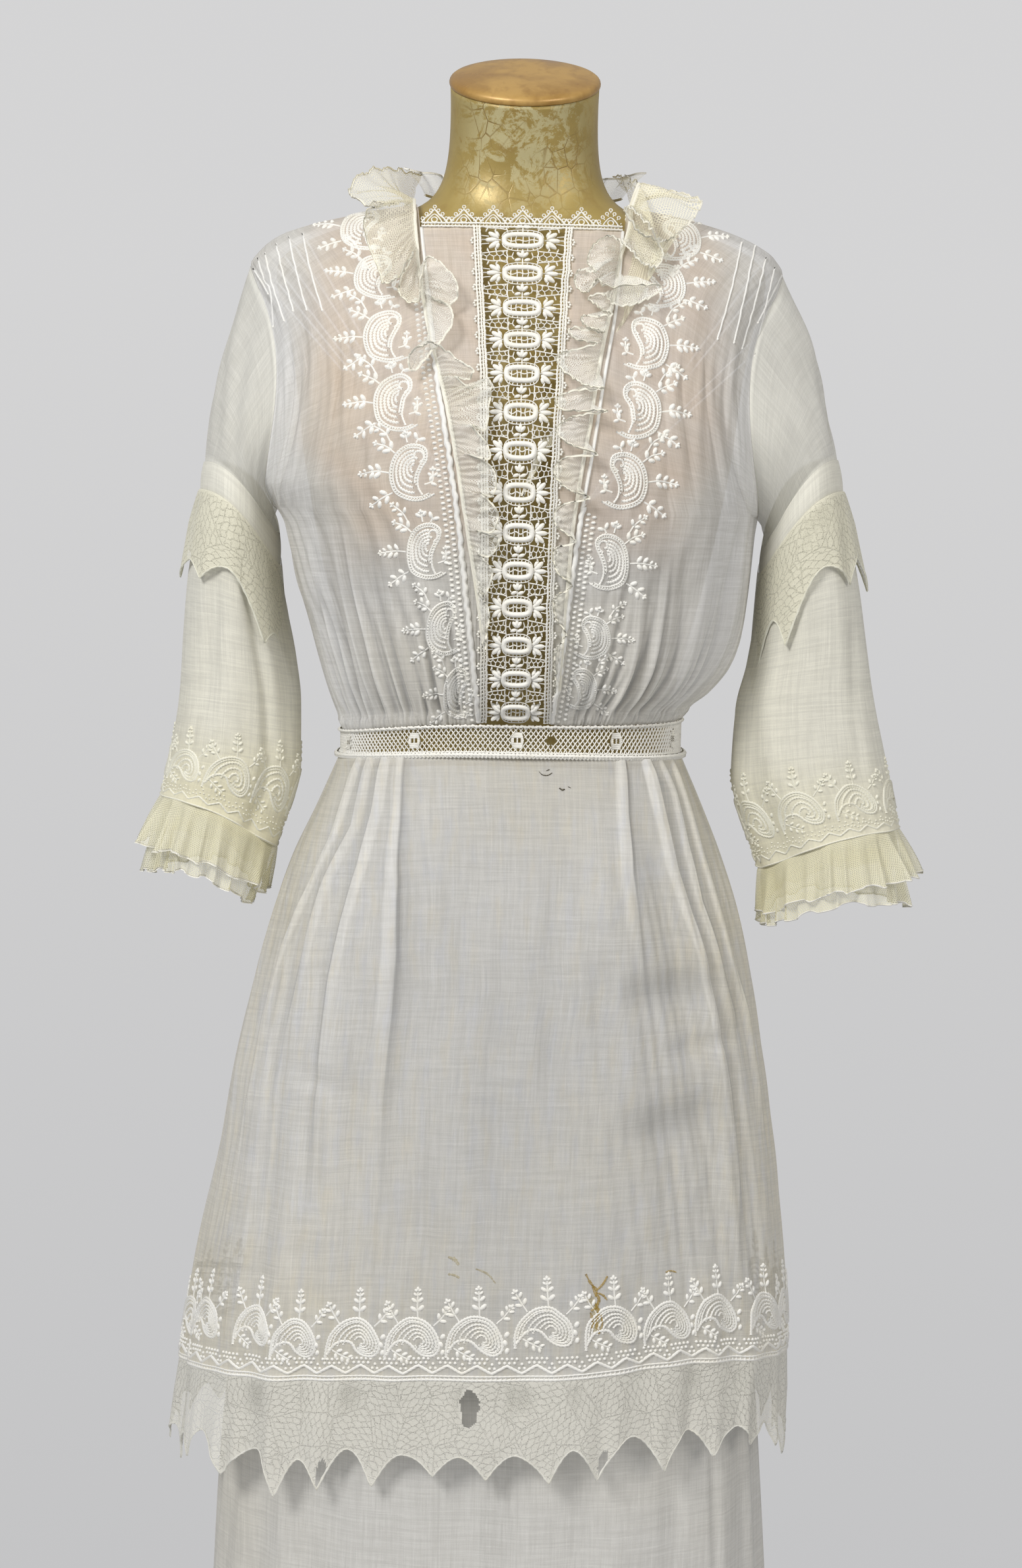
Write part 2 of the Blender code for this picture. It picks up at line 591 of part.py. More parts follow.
def build_bodice():
    for side, tag in ((-1, "left"), (1, "right")):
        cols = 8
        rows = []
        for v in panel_rows():
            (a0, z0), (a1, z1) = front_frame(v, side)
            row = []
            for i, u in enumerate(spread(0, 1, cols)):
                a, z = a0 + (a1 - a0) * u, z0 + (z1 - z0) * u
                edge = GAP / 2
                p = body(a, z, gather(u, v, cols - 1, 0.0022))
                if i == 0:
                    p.x += side * edge
                if i == cols - 1 and v < LOW + 0.001:
                    p.y -= edge * 1.6
                row.append(p)
            rows.append(row)
        # the top row stops short of the shoulder seam
        for p in rows[-1]:
            p.y -= GAP * 1.5
        wall(f"bodice_front_{tag}", rows, "lawn_white", flip=side < 0)
        cols = 8
        rows = []
        for v in panel_rows():
            (a0, z0), (a1, z1) = back_frame(v, side)
            row = []
            for i, u in enumerate(spread(0, 1, cols)):
                a, z = a0 + (a1 - a0) * u, z0 + (z1 - z0) * u
                p = body(a, z, gather(u, v, cols - 1, 0.0025))
                if i == 0:
                    p.x += side * GAP / 2
                if i == cols - 1 and v < LOW + 0.001:
                    p.y += GAP / 2 * 1.6
                row.append(p)
            rows.append(row)
        wall(f"bodice_back_{tag}", rows, "lawn_white", flip=side > 0)
        # plain V-shaped inset between the lace panel and the embroidered front
        rows = []
        for z in PANEL_LEVELS:
            x0 = curve(FRONT_LINES, 2 if side > 0 else 1, z) + side * GAP / 2
            x1 = curve(FRONT_LINES, 4 if side > 0 else 3, z) - side * GAP / 2
            rows.append([on_body(x, z) for x in (x0, (x0 + x1) / 2, x1)])
        wall(f"inset_{tag}", rows, "lawn_white", flip=side < 0)
        # folded strip that covers the inner edge of the front
        rows = []
        for z in PANEL_LEVELS[:-1]:
            x = curve(FRONT_LINES, 4 if side > 0 else 3, z)
            rows.append([on_body(x + side * d, z, LAYER + 0.0030) for d in (-0.001, 0.0055)])
        wall(f"strip_{tag}", rows, "lawn_white", 0.0010, flip=side < 0)
        # narrow braid along the lace panel
        rows = []
        for z in PANEL_LEVELS[:-1]:
            x = curve(FRONT_LINES, 2 if side > 0 else 1, z)
            rows.append([on_body(x + side * d, z, LAYER) for d in (-0.0030, 0.0030)])
        wall(f"lace_braid_{tag}", rows, "lace", 0.0010, flip=side < 0)
    rows = []
    for z in PANEL_LEVELS:
        x0, x1 = curve(FRONT_LINES, 1, z) + GAP / 2, curve(FRONT_LINES, 2, z) - GAP / 2
        rows.append([on_body(x, z) for x in spread(x0, x1, 4)])
    wall("lace_panel", rows, "lace", LACE_WALL)
    # cord binding and looped edging on the front neckline
    rows = []
    for dz, lean in ((0.0006, 0.0), (0.0060, 0.0005), (0.0125, 0.0020)):
        row = []
        for x in spread(-NECK_HALF + 0.001, NECK_HALF - 0.001, 11):
            p = on_body(x, NECK_FRONT)
            row.append(p + Vector((0, lean, dz)))
        rows.append(row)
    wall("neck_edging", rows, "lace", LACE_WALL)


def build_frill():
    """Net frill down both fronts and round the neck: its seam edge stands on the bodice, its free edge waves."""
    for side, tag in ((-1, "left"), (1, "right")):
        line = []
        for x, y, z, reach, inward, outward, up in FRILL:
            if z is None:
                z = shoulder_height(side * x, y)
                seam = body(angle_of_point(side * x, y, z), z)
                normal = Vector((side * 0.15, -0.25, 0.95))
            else:
                seam = on_body(side * x, z)
                normal = (on_body(side * x, z, 0.01) - seam).normalized()
            seam = seam + normal * (LAYER + 0.0062)
            way = Vector((side * (outward - inward), 0, up)) + normal * 0.35
            line.append((seam, way.normalized(), normal, reach))
        steps = 3
        rows = [[], [], []]
        count = (len(line) - 1) * steps + 1
        for k in range(count):
            i, f = min(k // steps, len(line) - 2), (k - min(k // steps, len(line) - 2) * steps) / steps
            (s0, w0, n0, r0), (s1, w1, n1, r1) = line[i], line[i + 1]
            seam, way, normal, reach = s0.lerp(s1, f), w0.lerp(w1, f), n0.lerp(n1, f), r0 + (r1 - r0) * f
            wave = 0.0045 * (1 if k % 2 else -0.25)
            rows[0].append(seam)
            rows[1].append(seam + way * reach * 0.5 + normal * wave * 0.6)
            rows[2].append(seam + way * reach + normal * wave)
        wall(f"ruffle_{tag}", rows, "net", LACE_WALL, flip=side > 0)
    rows = [[], [], []]
    for k in range(19):
        a = 112.0 + 136.0 * k / 18
        base = section(BODICE, NECK_BACK, a, BODY_POWER, 0.0022)
        out = (section(BODICE, NECK_BACK, a, BODY_POWER, 0.02) - base).normalized()
        wave = 0.0035 * (1 if k % 2 else -1)
        rows[0].append(base + Vector((0, 0, 0.0030)))
        rows[1].append(base + out * (0.006 + wave * 0.5) + Vector((0, 0, 0.0140)))
        rows[2].append(base + out * (0.016 + wave) + Vector((0, 0, 0.0230)))
    wall("ruffle_back", rows, "net", LACE_WALL)


# ---------------------------------------------------------------- sleeves
def tube(table, side, z, turn, out=0.0):
    """Point of the sleeve below its band: turn 0 outer, 90 front, 180 inner, 270 back."""
    t = math.radians(turn)
    outer, inner = curve(table, 1, z) + out, curve(table, 2, z) - out
    front, back = curve(table, 3, z) - out, curve(table, 4, z) + out
    c, s = math.cos(t), math.sin(t)
    x = (outer + inner) / 2 + (outer - inner) / 2 * c
    y = (front + back) / 2 - (back - front) / 2 * s
    drop = curve(table, 5, z) * ((1 - c) / 2) ** 2.35
    return Vector((side * x, y, z - drop))


def build_sleeves():
    for side, tag, table in ((-1, "left", SLEEVE_LEFT), (1, "right", SLEEVE_RIGHT)):
        n = 2 * ARM_STEPS
        turns = [360.0 * i / n for i in range(n)]
        top, band = table[0][0], table[1][0]
        # upper sleeve, from the armhole line to the band
        rows = []
        for k in (0.0, 0.2, 0.45, 0.72, 1.0):
            row = []
            for t in turns:
                a, z = armhole(t, side)
                start = body(a, z)
                away = Vector((side, 0, 0)) * (GAP * 2.2)
                end = tube(table, side, top + 3 * GAP, t)
                p = (start + away).lerp(end, k)
                bow = 4 * k * (1 - k)
                swell = 0.0050 * bow * (0.5 + 0.5 * math.cos(math.radians(t)))
                clear = (body(a, z, 0.01) - start).normalized() * 0.0030 * bow * abs(math.sin(math.radians(t)))
                under = Vector((side, 0, 0)) * 0.0030 * bow * max(0.0, -math.cos(math.radians(t)))
                row.append(p + Vector((side * swell, 0, 0)) + clear + under)
            rows.append(row)
        wall(f"sleeve_upper_{tag}", rows, "lawn_cream", closed=True, flip=side < 0)
        # folded band
        rows = [[tube(table, side, z, t, 0.0006) for t in turns] for z in (top, (top + band) / 2, band)]
        wall(f"sleeve_band_{tag}", rows, "lawn_cream", closed=True, flip=side < 0)
        # lower sleeve down to the cuff
        end = table[-1][0]
        rows = []
        for k, z in enumerate(spread(band - 3 * GAP, end, 7)):
            row = []
            for i, t in enumerate(turns):
                fold = 0.0018 * (1 if i % 2 else -1) * ramp(0, 2, k) * (0.0 if k == 6 else 1.0)
                row.append(tube(table, side, z, t, fold))
            rows.append(row)
        wall(f"sleeve_lower_{tag}", rows, "lawn_cream", closed=True, flip=side < 0)
        # dagged lace over the top of the lower sleeve
        n2 = 20
        rows = [[], [], []]
        for i in range(n2):
            t = 360.0 * i / n2
            depth = (0.066, 0.044)[i % 2] + 0.012 * math.sin(math.radians(t * 2 + 40))
            for r, f in zip(rows, (0.0, 0.5, 1.0)):
                lift = 0.0038 + 0.0030 * f * (0.5 + 0.5 * math.cos(math.radians(t)))
                r.append(tube(table, side, band - 3 * GAP - depth * f, t, lift))
        wall(f"sleeve_lace_{tag}", rows, "lace", LACE_WALL, closed=True, flip=side < 0)
        # two gathered net tiers below the cuff
        for tier, deep, flare, inset, n3 in (("upper", 0.034, 0.014, 0.0, 20), ("lower", 0.056, 0.0105, -0.0034, 20)):
            rows = [[], [], []]
            for i in range(n3):
                t = 360.0 * i / n3
                inner = 0.5 - 0.5 * math.cos(math.radians(t))       # 1 on the side next to the skirt
                for r, f in zip(rows, (0.0, 0.45, 1.0)):
                    wave = 0.0022 * (1 if i % 2 else -1) * f
                    p = tube(table, side, end, t, inset + flare * f * (1 - inner) + wave)
                    p.x += side * SKIRT_SIDE[tag] * deep * f * inner
                    p.z -= 2 * GAP + deep * f
                    r.append(p)
            wall(f"cuff_ruffle_{tier}_{tag}", rows, "net", LACE_WALL, closed=True, flip=side < 0)


# ---------------------------------------------------------------- waistband and skirts
def build_waistband():
    for tag, a0, a1 in (("front", -90.0, 90.0), ("back", 90.0, 270.0)):
        angles = spread(a0, a1, 15)
        rows = []
        for f in (0.0, 1.0):
            row = []
            for i, a in enumerate(angles):
                z = bottom_of_waist(a) * (1 - f) + (top_of_waist(a) - GAP * 0.2) * f
                p = section(BODICE, WAIST_TOP, a, BODY_POWER, 0.0006)
                p.z = z
                if i in (0, 14):
                    p.y += (-1 if tag == "front" else 1) * GAP / 2
                row.append(p)
            rows.append(row)
        wall(f"waistband_{tag}", rows, "lace", LACE_WALL)


def fold_angle(row, z, top, hem):
    if z > 0.93:
        f = ramp(top, 0.93, z)
        return row[0] + (row[1] - row[0]) * f
    f = ramp(0.93, hem, z)
    return row[1] + (row[2] - row[1]) * f


def hem_height(deg):
    d = (deg + 180.0) % 360.0 - 180.0
    return curve(TUNIC_HEM, 1, d)


def lace_length(deg):
    d = (deg + 180.0) % 360.0 - 180.0
    return curve(TUNIC_HEM, 2, d)


def tunic(deg, f, stand, out=0.0):
    """Tunic surface: f 0 at the waistband, 1 at the hem seam, more on the lace."""
    top = bottom_of_waist(deg) - GAP
    z = top + (hem_height(deg) - top) * f
    level = WAIST_BOTTOM + (hem_height(deg) - WAIST_BOTTOM) * f
    p = section(TUNIC, level, deg, SKIRT_POWER, out + stand * ramp(0.0, 0.12, f))
    p.z = z
    return p


def build_skirts():
    for tag, folds in (("front", TUNIC_FRONT_FOLDS), ("back", TUNIC_BACK_FOLDS)):
        rows = []
        for f in (0.0, 0.06, 0.15, 0.28, 0.44, 0.62, 0.81, 1.0):
            row = []
            for i, fold in enumerate(folds):
                a = fold_angle(fold, WAIST_BOTTOM - 0.44 * f, WAIST_BOTTOM, 0.60)
                p = tunic(a, f, fold[3])
                if i in (0, len(folds) - 1):
                    p.y += (-1 if tag == "front" else 1) * GAP / 2
                row.append(p)
            rows.append(row)
        wall(f"tunic_{tag}", rows, "lawn_white", flip=True)
        # dagged lace below the hem seam: two columns for each point of the edge
        rows = [[], [], []]
        ends = folds[0][2], folds[-1][2]
        n = 25
        for i in range(n):
            a = ends[0] + (ends[1] - ends[0]) * i / (n - 1)
            fold = min(folds, key=lambda r: abs(r[2] - a))
            stand = fold[3] * max(0.0, 1 - abs(fold[2] - a) / 8)
            deep = lace_length(a) * (1.18 if i % 2 else 0.86)
            for r, f in zip(rows, (0.0, 0.5, 1.0)):
                p = tunic(a, 1.0, stand * 0.6, 0.0004)
                q = section(TUNIC, max(0.5, p.z - deep * f), a, SKIRT_POWER, stand * 0.6 + 0.0004)
                p.x, p.y = q.x, q.y
                p.z -= GAP + deep * f
                if i in (0, n - 1):
                    p.y += (-1 if tag == "front" else 1) * GAP / 2
                r.append(p)
        wall(f"tunic_lace_{tag}", rows, "lace", LACE_WALL, flip=True)
    for tag, turn in (("front", 0.0), ("back", 180.0)):
        rows = []
        for z in (1.0300, 0.990, 0.940, 0.880, 0.780, 0.640, 0.480, 0.280, HEM_UNDER):
            row = []
            for i, fold in enumerate(UNDER_FOLDS):
                a = fold_angle(fold, z, 1.03, HEM_UNDER) + turn
                p = section(UNDER, z, a, SKIRT_POWER, fold[3] * ramp(0.90, 0.60, z))
                p.z += (bottom_of_waist(a) - WAIST_BOTTOM) * ramp(0.93, 1.03, z)
                if i in (0, len(UNDER_FOLDS) - 1):
                    p.y += (-1 if tag == "front" else 1) * GAP / 2
                row.append(p)
            rows.append(row)
        wall(f"underskirt_{tag}", rows, "lawn_white", flip=True)


# ---------------------------------------------------------------- build
clear_scene()
COLLECTION = bpy.data.collections.new(NAME)
bpy.context.scene.collection.children.link(COLLECTION)
ROOT = bpy.data.objects.new("frame", None)
ROOT.location = (SHIFT[0], SHIFT[1], 0.0)
COLLECTION.objects.link(ROOT)

build_form()
build_stand()
build_bodice()
build_frill()
build_sleeves()
build_waistband()
build_skirts()
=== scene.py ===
"""Looks of the embroidered cotton dress on its dress form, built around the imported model.

Metres, +Z up, the front of the dress looks along -Y, "left" is -X. Shapes are worked out with the stand's pole on the
axis, as the CAD's section tables have them, and put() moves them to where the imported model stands.
"""
import json
import math

import bpy
import numpy as np
from mathutils import Matrix, Vector
from mathutils.bvhtree import BVHTree
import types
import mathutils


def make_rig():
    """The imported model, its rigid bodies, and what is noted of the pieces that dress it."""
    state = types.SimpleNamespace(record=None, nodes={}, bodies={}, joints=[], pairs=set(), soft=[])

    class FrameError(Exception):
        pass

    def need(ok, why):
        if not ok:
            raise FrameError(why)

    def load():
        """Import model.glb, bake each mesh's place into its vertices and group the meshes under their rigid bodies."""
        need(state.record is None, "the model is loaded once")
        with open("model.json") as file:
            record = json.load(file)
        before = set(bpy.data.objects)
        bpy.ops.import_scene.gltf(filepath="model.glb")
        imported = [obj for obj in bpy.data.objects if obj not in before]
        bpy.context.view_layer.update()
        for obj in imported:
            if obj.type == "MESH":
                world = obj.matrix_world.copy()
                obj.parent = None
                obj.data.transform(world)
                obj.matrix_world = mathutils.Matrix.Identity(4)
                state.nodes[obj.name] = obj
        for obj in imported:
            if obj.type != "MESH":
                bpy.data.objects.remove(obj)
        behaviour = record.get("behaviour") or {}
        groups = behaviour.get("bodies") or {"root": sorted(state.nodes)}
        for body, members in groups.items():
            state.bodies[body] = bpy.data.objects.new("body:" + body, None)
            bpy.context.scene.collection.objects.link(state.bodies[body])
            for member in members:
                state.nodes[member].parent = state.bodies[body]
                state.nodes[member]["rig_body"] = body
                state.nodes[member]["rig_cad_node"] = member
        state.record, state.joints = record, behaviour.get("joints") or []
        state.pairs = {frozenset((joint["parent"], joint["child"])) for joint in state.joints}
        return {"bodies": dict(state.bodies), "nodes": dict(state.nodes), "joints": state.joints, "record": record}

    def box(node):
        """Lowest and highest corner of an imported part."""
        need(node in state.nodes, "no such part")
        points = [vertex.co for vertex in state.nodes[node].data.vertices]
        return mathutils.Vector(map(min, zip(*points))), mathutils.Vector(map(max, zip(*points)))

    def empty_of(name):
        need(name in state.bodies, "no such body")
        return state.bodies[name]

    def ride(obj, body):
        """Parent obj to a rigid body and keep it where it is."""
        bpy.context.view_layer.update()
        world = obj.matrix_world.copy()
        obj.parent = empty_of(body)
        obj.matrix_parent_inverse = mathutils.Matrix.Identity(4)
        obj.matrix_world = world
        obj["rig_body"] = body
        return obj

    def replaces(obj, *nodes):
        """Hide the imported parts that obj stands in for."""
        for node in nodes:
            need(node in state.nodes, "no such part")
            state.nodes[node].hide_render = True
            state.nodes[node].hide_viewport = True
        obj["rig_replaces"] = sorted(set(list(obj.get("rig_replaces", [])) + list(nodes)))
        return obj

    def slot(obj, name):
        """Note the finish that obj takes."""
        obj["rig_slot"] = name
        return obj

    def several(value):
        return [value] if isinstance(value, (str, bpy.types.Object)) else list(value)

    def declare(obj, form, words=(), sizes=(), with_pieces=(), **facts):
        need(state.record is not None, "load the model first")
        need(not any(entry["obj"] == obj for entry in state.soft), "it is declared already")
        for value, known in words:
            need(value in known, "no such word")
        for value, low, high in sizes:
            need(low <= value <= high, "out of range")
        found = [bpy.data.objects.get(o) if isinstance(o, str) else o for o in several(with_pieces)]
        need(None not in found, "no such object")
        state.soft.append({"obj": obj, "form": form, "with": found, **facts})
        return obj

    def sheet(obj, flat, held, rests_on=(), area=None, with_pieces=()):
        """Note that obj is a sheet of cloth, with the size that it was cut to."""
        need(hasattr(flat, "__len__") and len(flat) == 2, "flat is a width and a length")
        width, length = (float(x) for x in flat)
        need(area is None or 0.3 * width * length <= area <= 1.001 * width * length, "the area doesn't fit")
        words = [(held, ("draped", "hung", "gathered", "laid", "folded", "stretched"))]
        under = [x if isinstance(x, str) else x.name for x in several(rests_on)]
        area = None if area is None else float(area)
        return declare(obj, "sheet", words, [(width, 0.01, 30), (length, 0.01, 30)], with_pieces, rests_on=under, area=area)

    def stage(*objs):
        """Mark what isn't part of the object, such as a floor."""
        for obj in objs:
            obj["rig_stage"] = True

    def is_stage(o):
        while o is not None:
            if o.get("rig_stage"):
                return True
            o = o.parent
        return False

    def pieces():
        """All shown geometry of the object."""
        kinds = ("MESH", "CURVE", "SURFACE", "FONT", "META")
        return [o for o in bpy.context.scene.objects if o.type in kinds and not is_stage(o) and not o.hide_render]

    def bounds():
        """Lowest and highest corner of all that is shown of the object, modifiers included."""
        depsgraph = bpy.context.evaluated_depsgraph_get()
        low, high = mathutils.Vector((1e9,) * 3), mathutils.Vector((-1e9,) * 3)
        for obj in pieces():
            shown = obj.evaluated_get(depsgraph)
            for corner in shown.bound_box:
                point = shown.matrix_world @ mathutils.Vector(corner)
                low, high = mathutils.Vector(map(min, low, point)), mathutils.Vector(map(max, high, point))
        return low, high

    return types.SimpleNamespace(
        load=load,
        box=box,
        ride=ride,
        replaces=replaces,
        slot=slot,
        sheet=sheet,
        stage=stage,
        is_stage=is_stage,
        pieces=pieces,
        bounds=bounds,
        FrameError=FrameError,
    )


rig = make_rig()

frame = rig.load()
cad_box = [list(c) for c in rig.bounds()]
pole_low, pole_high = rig.box("stand_pole")
SHIFT = np.array([(pole_low[0] + pole_high[0]) / 2, (pole_low[1] + pole_high[1]) / 2, 0.0])

# ---------------------------------------------------------------- sizes and section tables, as in the CAD
GAP = 0.0006
WAIST_TOP, WAIST_BOTTOM = 1.0595, 1.0385
UNDERARM, SHOULDER_TIP = 1.207, 1.380
NECK_FRONT, NECK_BACK, NECK_HALF = 1.4045, 1.4340, 0.0705
HEM_UNDER = 0.080
FORM_BOTTOM = 0.740
CAP_TILT = math.radians(25.0)
MID_Y = 0.005
BODY_POWER, SKIRT_POWER = 2.25, 2.45
ARM_MID, ARM_HALF = (UNDERARM + SHOULDER_TIP) / 2, (SHOULDER_TIP - UNDERARM) / 2
ARM_FRONT, ARM_BACK = 27.0, 30.0
LOW, SHARE = 0.42, 5 / 8      # share of a panel's rows below the underarm, and of the armhole below the neckline
SKIRT_SIDE = {"left": 0.26, "right": 0.02}


class Table:
    """Columns read smoothly between their rows, with no overshoot (monotone cubic)."""

    def __init__(self, rows):
        t = np.array(sorted(rows), float)
        self.z, self.y = t[:, 0], t[:, 1:]
        d = np.diff(self.y, axis=0) / np.diff(self.z)[:, None]
        self.m = np.zeros_like(self.y)
        self.m[0], self.m[-1] = d[0], d[-1]
        both = d[:-1] * d[1:]
        self.m[1:-1] = np.where(both > 0, 2 * both / np.where(both > 0, d[:-1] + d[1:], 1.0), 0.0)

    def __call__(self, col, z):
        z = np.clip(z, self.z[0], self.z[-1])
        i = np.clip(np.searchsorted(self.z, z, side="right") - 1, 0, len(self.z) - 2)
        h = self.z[i + 1] - self.z[i]
        s = (z - self.z[i]) / h
        y, m = self.y[:, col - 1], self.m[:, col - 1]
        return ((2 * s**3 - 3 * s**2 + 1) * y[i] + (s**3 - 2 * s**2 + s) * h * m[i]
                + (3 * s**2 - 2 * s**3) * y[i + 1] + (s**3 - s**2) * h * m[i + 1])


FORM = Table([
    # z      half    front   back
    (0.740, 0.1500, 0.1020, 0.1150), (0.760, 0.1580, 0.1080, 0.1230), (0.820, 0.1640, 0.1100, 0.1280),
    (0.880, 0.1630, 0.1080, 0.1240), (0.940, 0.1500, 0.1030, 0.1100), (1.000, 0.1240, 0.0930, 0.0920),
    (1.040, 0.1150, 0.0880, 0.0840), (1.070, 0.1165, 0.0900, 0.0840), (1.110, 0.1255, 0.0980, 0.0900),
    (1.160, 0.1390, 0.1140, 0.0990), (1.210, 0.1490, 0.1270, 0.1060), (1.250, 0.1560, 0.1290, 0.1090),
    (1.300, 0.1610, 0.1140, 0.1100), (1.340, 0.1680, 0.0930, 0.1060), (1.365, 0.1760, 0.0790, 0.1000),
    (1.380, 0.1770, 0.0710, 0.0950), (1.392, 0.1680, 0.0640, 0.0900), (1.400, 0.1530, 0.0600, 0.0870),
    (1.407, 0.1330, 0.0560, 0.0840), (1.413, 0.1080, 0.0520, 0.0800), (1.418, 0.0840, 0.0510, 0.0760),
    (1.424, 0.0715, 0.0500, 0.0710), (1.434, 0.0620, 0.0490, 0.0630), (1.446, 0.0565, 0.0490, 0.0560),
])
NECK = Table([
    # z      half    depth   y_mid   tilt
    (1.4600, 0.0540, 0.0520, 0.0040, 0.10), (1.4780, 0.0528, 0.0520, 0.0005, 0.45),
    (1.4960, 0.0526, 0.0530, -0.0040, 0.80), (1.5085, 0.0530, 0.0535, -0.0080, 1.00),
])
BODICE = Table([
    # z      left    right   front   back
    (1.0595, 0.1245, 0.1225, 0.0990, 0.0960), (1.0680, 0.1285, 0.1315, 0.1080, 0.1080),
    (1.0800, 0.1340, 0.1460, 0.1170, 0.1200), (1.1000, 0.1415, 0.1600, 0.1270, 0.1300),
    (1.1250, 0.1495, 0.1675, 0.1350, 0.1350), (1.1550, 0.1590, 0.1710, 0.1400, 0.1350),
    (1.1800, 0.1640, 0.1725, 0.1425, 0.1320), (1.1960, 0.1680, 0.1735, 0.1435, 0.1300),
    (1.2100, 0.1765, 0.1750, 0.1440, 0.1280), (1.2260, 0.1860, 0.1770, 0.1435, 0.1270),
    (1.2600, 0.1885, 0.1785, 0.1400, 0.1250), (1.3000, 0.1880, 0.1790, 0.1260, 0.1230),
    (1.3400, 0.1890, 0.1810, 0.1050, 0.1180), (1.3650, 0.1940, 0.1880, 0.0910, 0.1120),
    (1.3800, 0.1950, 0.1885, 0.0820, 0.1070), (1.3920, 0.1870, 0.1820, 0.0750, 0.1020),
    (1.4010, 0.1750, 0.1690, 0.0690, 0.0980), (1.4080, 0.1560, 0.1530, 0.0640, 0.0940),
    (1.4140, 0.1320, 0.1330, 0.0590, 0.0900), (1.4190, 0.1080, 0.1120, 0.0560, 0.0860),
    (1.4240, 0.0800, 0.0810, 0.0550, 0.0810), (1.4350, 0.0740, 0.0750, 0.0540, 0.0740),
])
TUNIC = Table([
    # z      left    right   front   back
    (1.0385, 0.1265, 0.1240, 0.1010, 0.0970), (1.0000, 0.1430, 0.1410, 0.1080, 0.1120),
    (0.9600, 0.1610, 0.1570, 0.1160, 0.1290), (0.9200, 0.1740, 0.1700, 0.1240, 0.1420),
    (0.8700, 0.1870, 0.1810, 0.1310, 0.1520), (0.8000, 0.2020, 0.1930, 0.1390, 0.1620),
    (0.7400, 0.2110, 0.2020, 0.1440, 0.1690), (0.6800, 0.2240, 0.2090, 0.1480, 0.1750),
    (0.6300, 0.2330, 0.2140, 0.1510, 0.1790), (0.5900, 0.2390, 0.2155, 0.1530, 0.1820),
    (0.5700, 0.2410, 0.2150, 0.1535, 0.1830), (0.5000, 0.2480, 0.2140, 0.1550, 0.1860),
])
UNDER = Table([
    # z      left    right   front   back
    (1.0300, 0.1240, 0.1220, 0.0955, 0.0910), (1.0000, 0.1370, 0.1350, 0.1010, 0.1030),
    (0.9500, 0.1540, 0.1520, 0.1080, 0.1160), (0.9000, 0.1670, 0.1660, 0.1150, 0.1300),
    (0.8400, 0.1720, 0.1710, 0.1180, 0.1370), (0.7600, 0.1780, 0.1750, 0.1200, 0.1420),
    (0.6800, 0.1870, 0.1810, 0.1240, 0.1480), (0.6000, 0.1970, 0.1880, 0.1280, 0.1540),
    (0.5000, 0.2070, 0.1960, 0.1350, 0.1620), (0.4000, 0.2130, 0.2030, 0.1440, 0.1700),
    (0.2400, 0.2220, 0.2130, 0.1580, 0.1810), (0.0800, 0.2310, 0.2230, 0.1720, 0.1920),
])
TUNIC_HEM = Table([
    # deg    z       lace
    (-180.0, 0.5700, 0.060), (-135.0, 0.5660, 0.062), (-90.0, 0.5730, 0.064), (-60.0, 0.5870, 0.060),
    (-30.0, 0.5980, 0.068), (0.0, 0.6070, 0.066), (30.0, 0.6130, 0.062), (60.0, 0.6040, 0.062),
    (90.0, 0.5880, 0.064), (135.0, 0.5740, 0.062), (180.0, 0.5700, 0.060),
])
FRONT_LINES = Table([
    # z      lace_l   lace_r  front_l  front_r
    (1.0595, -0.0200, 0.0240, -0.0230, 0.0270), (1.1000, -0.0200, 0.0240, -0.0270, 0.0320),
    (1.1500, -0.0205, 0.0240, -0.0330, 0.0370), (1.2000, -0.0210, 0.0245, -0.0390, 0.0430),
    (1.2500, -0.0225, 0.0255, -0.0470, 0.0510), (1.3000, -0.0240, 0.0275, -0.0560, 0.0580),
    (1.3500, -0.0275, 0.0295, -0.0630, 0.0660), (1.4045, -0.0315, 0.0325, -0.0705, 0.0705),
])
SLEEVES = {
    "left": (-1, Table([
        # z      outer   inner   front    back    drop
        (1.2390, 0.2265, 0.1740, -0.0560, 0.0640, 0.0500), (1.2185, 0.2290, 0.1735, -0.0550, 0.0640, 0.0540),
        (1.1900, 0.2340, 0.1720, -0.0520, 0.0640, 0.0400), (1.1550, 0.2395, 0.1680, -0.0490, 0.0620, 0.0250),
        (1.1150, 0.2425, 0.1615, -0.0460, 0.0580, 0.0150), (1.0750, 0.2445, 0.1565, -0.0450, 0.0530, 0.0100),
        (1.0350, 0.2500, 0.1555, -0.0460, 0.0510, 0.0150), (0.9960, 0.2585, 0.1720, -0.0470, 0.0490, 0.0380),
    ]), 1.2390, 1.2185, 0.9960),
    "right": (1, Table([
        # z      outer   inner   front    back    drop
        (1.2490, 0.2315, 0.1815, -0.0560, 0.0640, 0.0620), (1.2260, 0.2360, 0.1800, -0.0550, 0.0640, 0.0600),
        (1.1950, 0.2430, 0.1790, -0.0520, 0.0640, 0.0400), (1.1550, 0.2520, 0.1770, -0.0490, 0.0620, 0.0250),
        (1.1150, 0.2590, 0.1720, -0.0460, 0.0580, 0.0150), (1.0750, 0.2660, 0.1635, -0.0450, 0.0530, 0.0100),
        (1.0350, 0.2750, 0.1620, -0.0460, 0.0510, 0.0150), (0.9820, 0.2870, 0.1840, -0.0470, 0.0490, 0.0330),
    ]), 1.2490, 1.2260, 0.9820),
}


# ---------------------------------------------------------------- small tools
def ramp(a, b, x):
    s = np.clip((np.asarray(x, float) - a) / (b - a), 0.0, 1.0)
    return s * s * (3 - 2 * s)


def spread(a, b, n):
    return np.linspace(a, b, n)


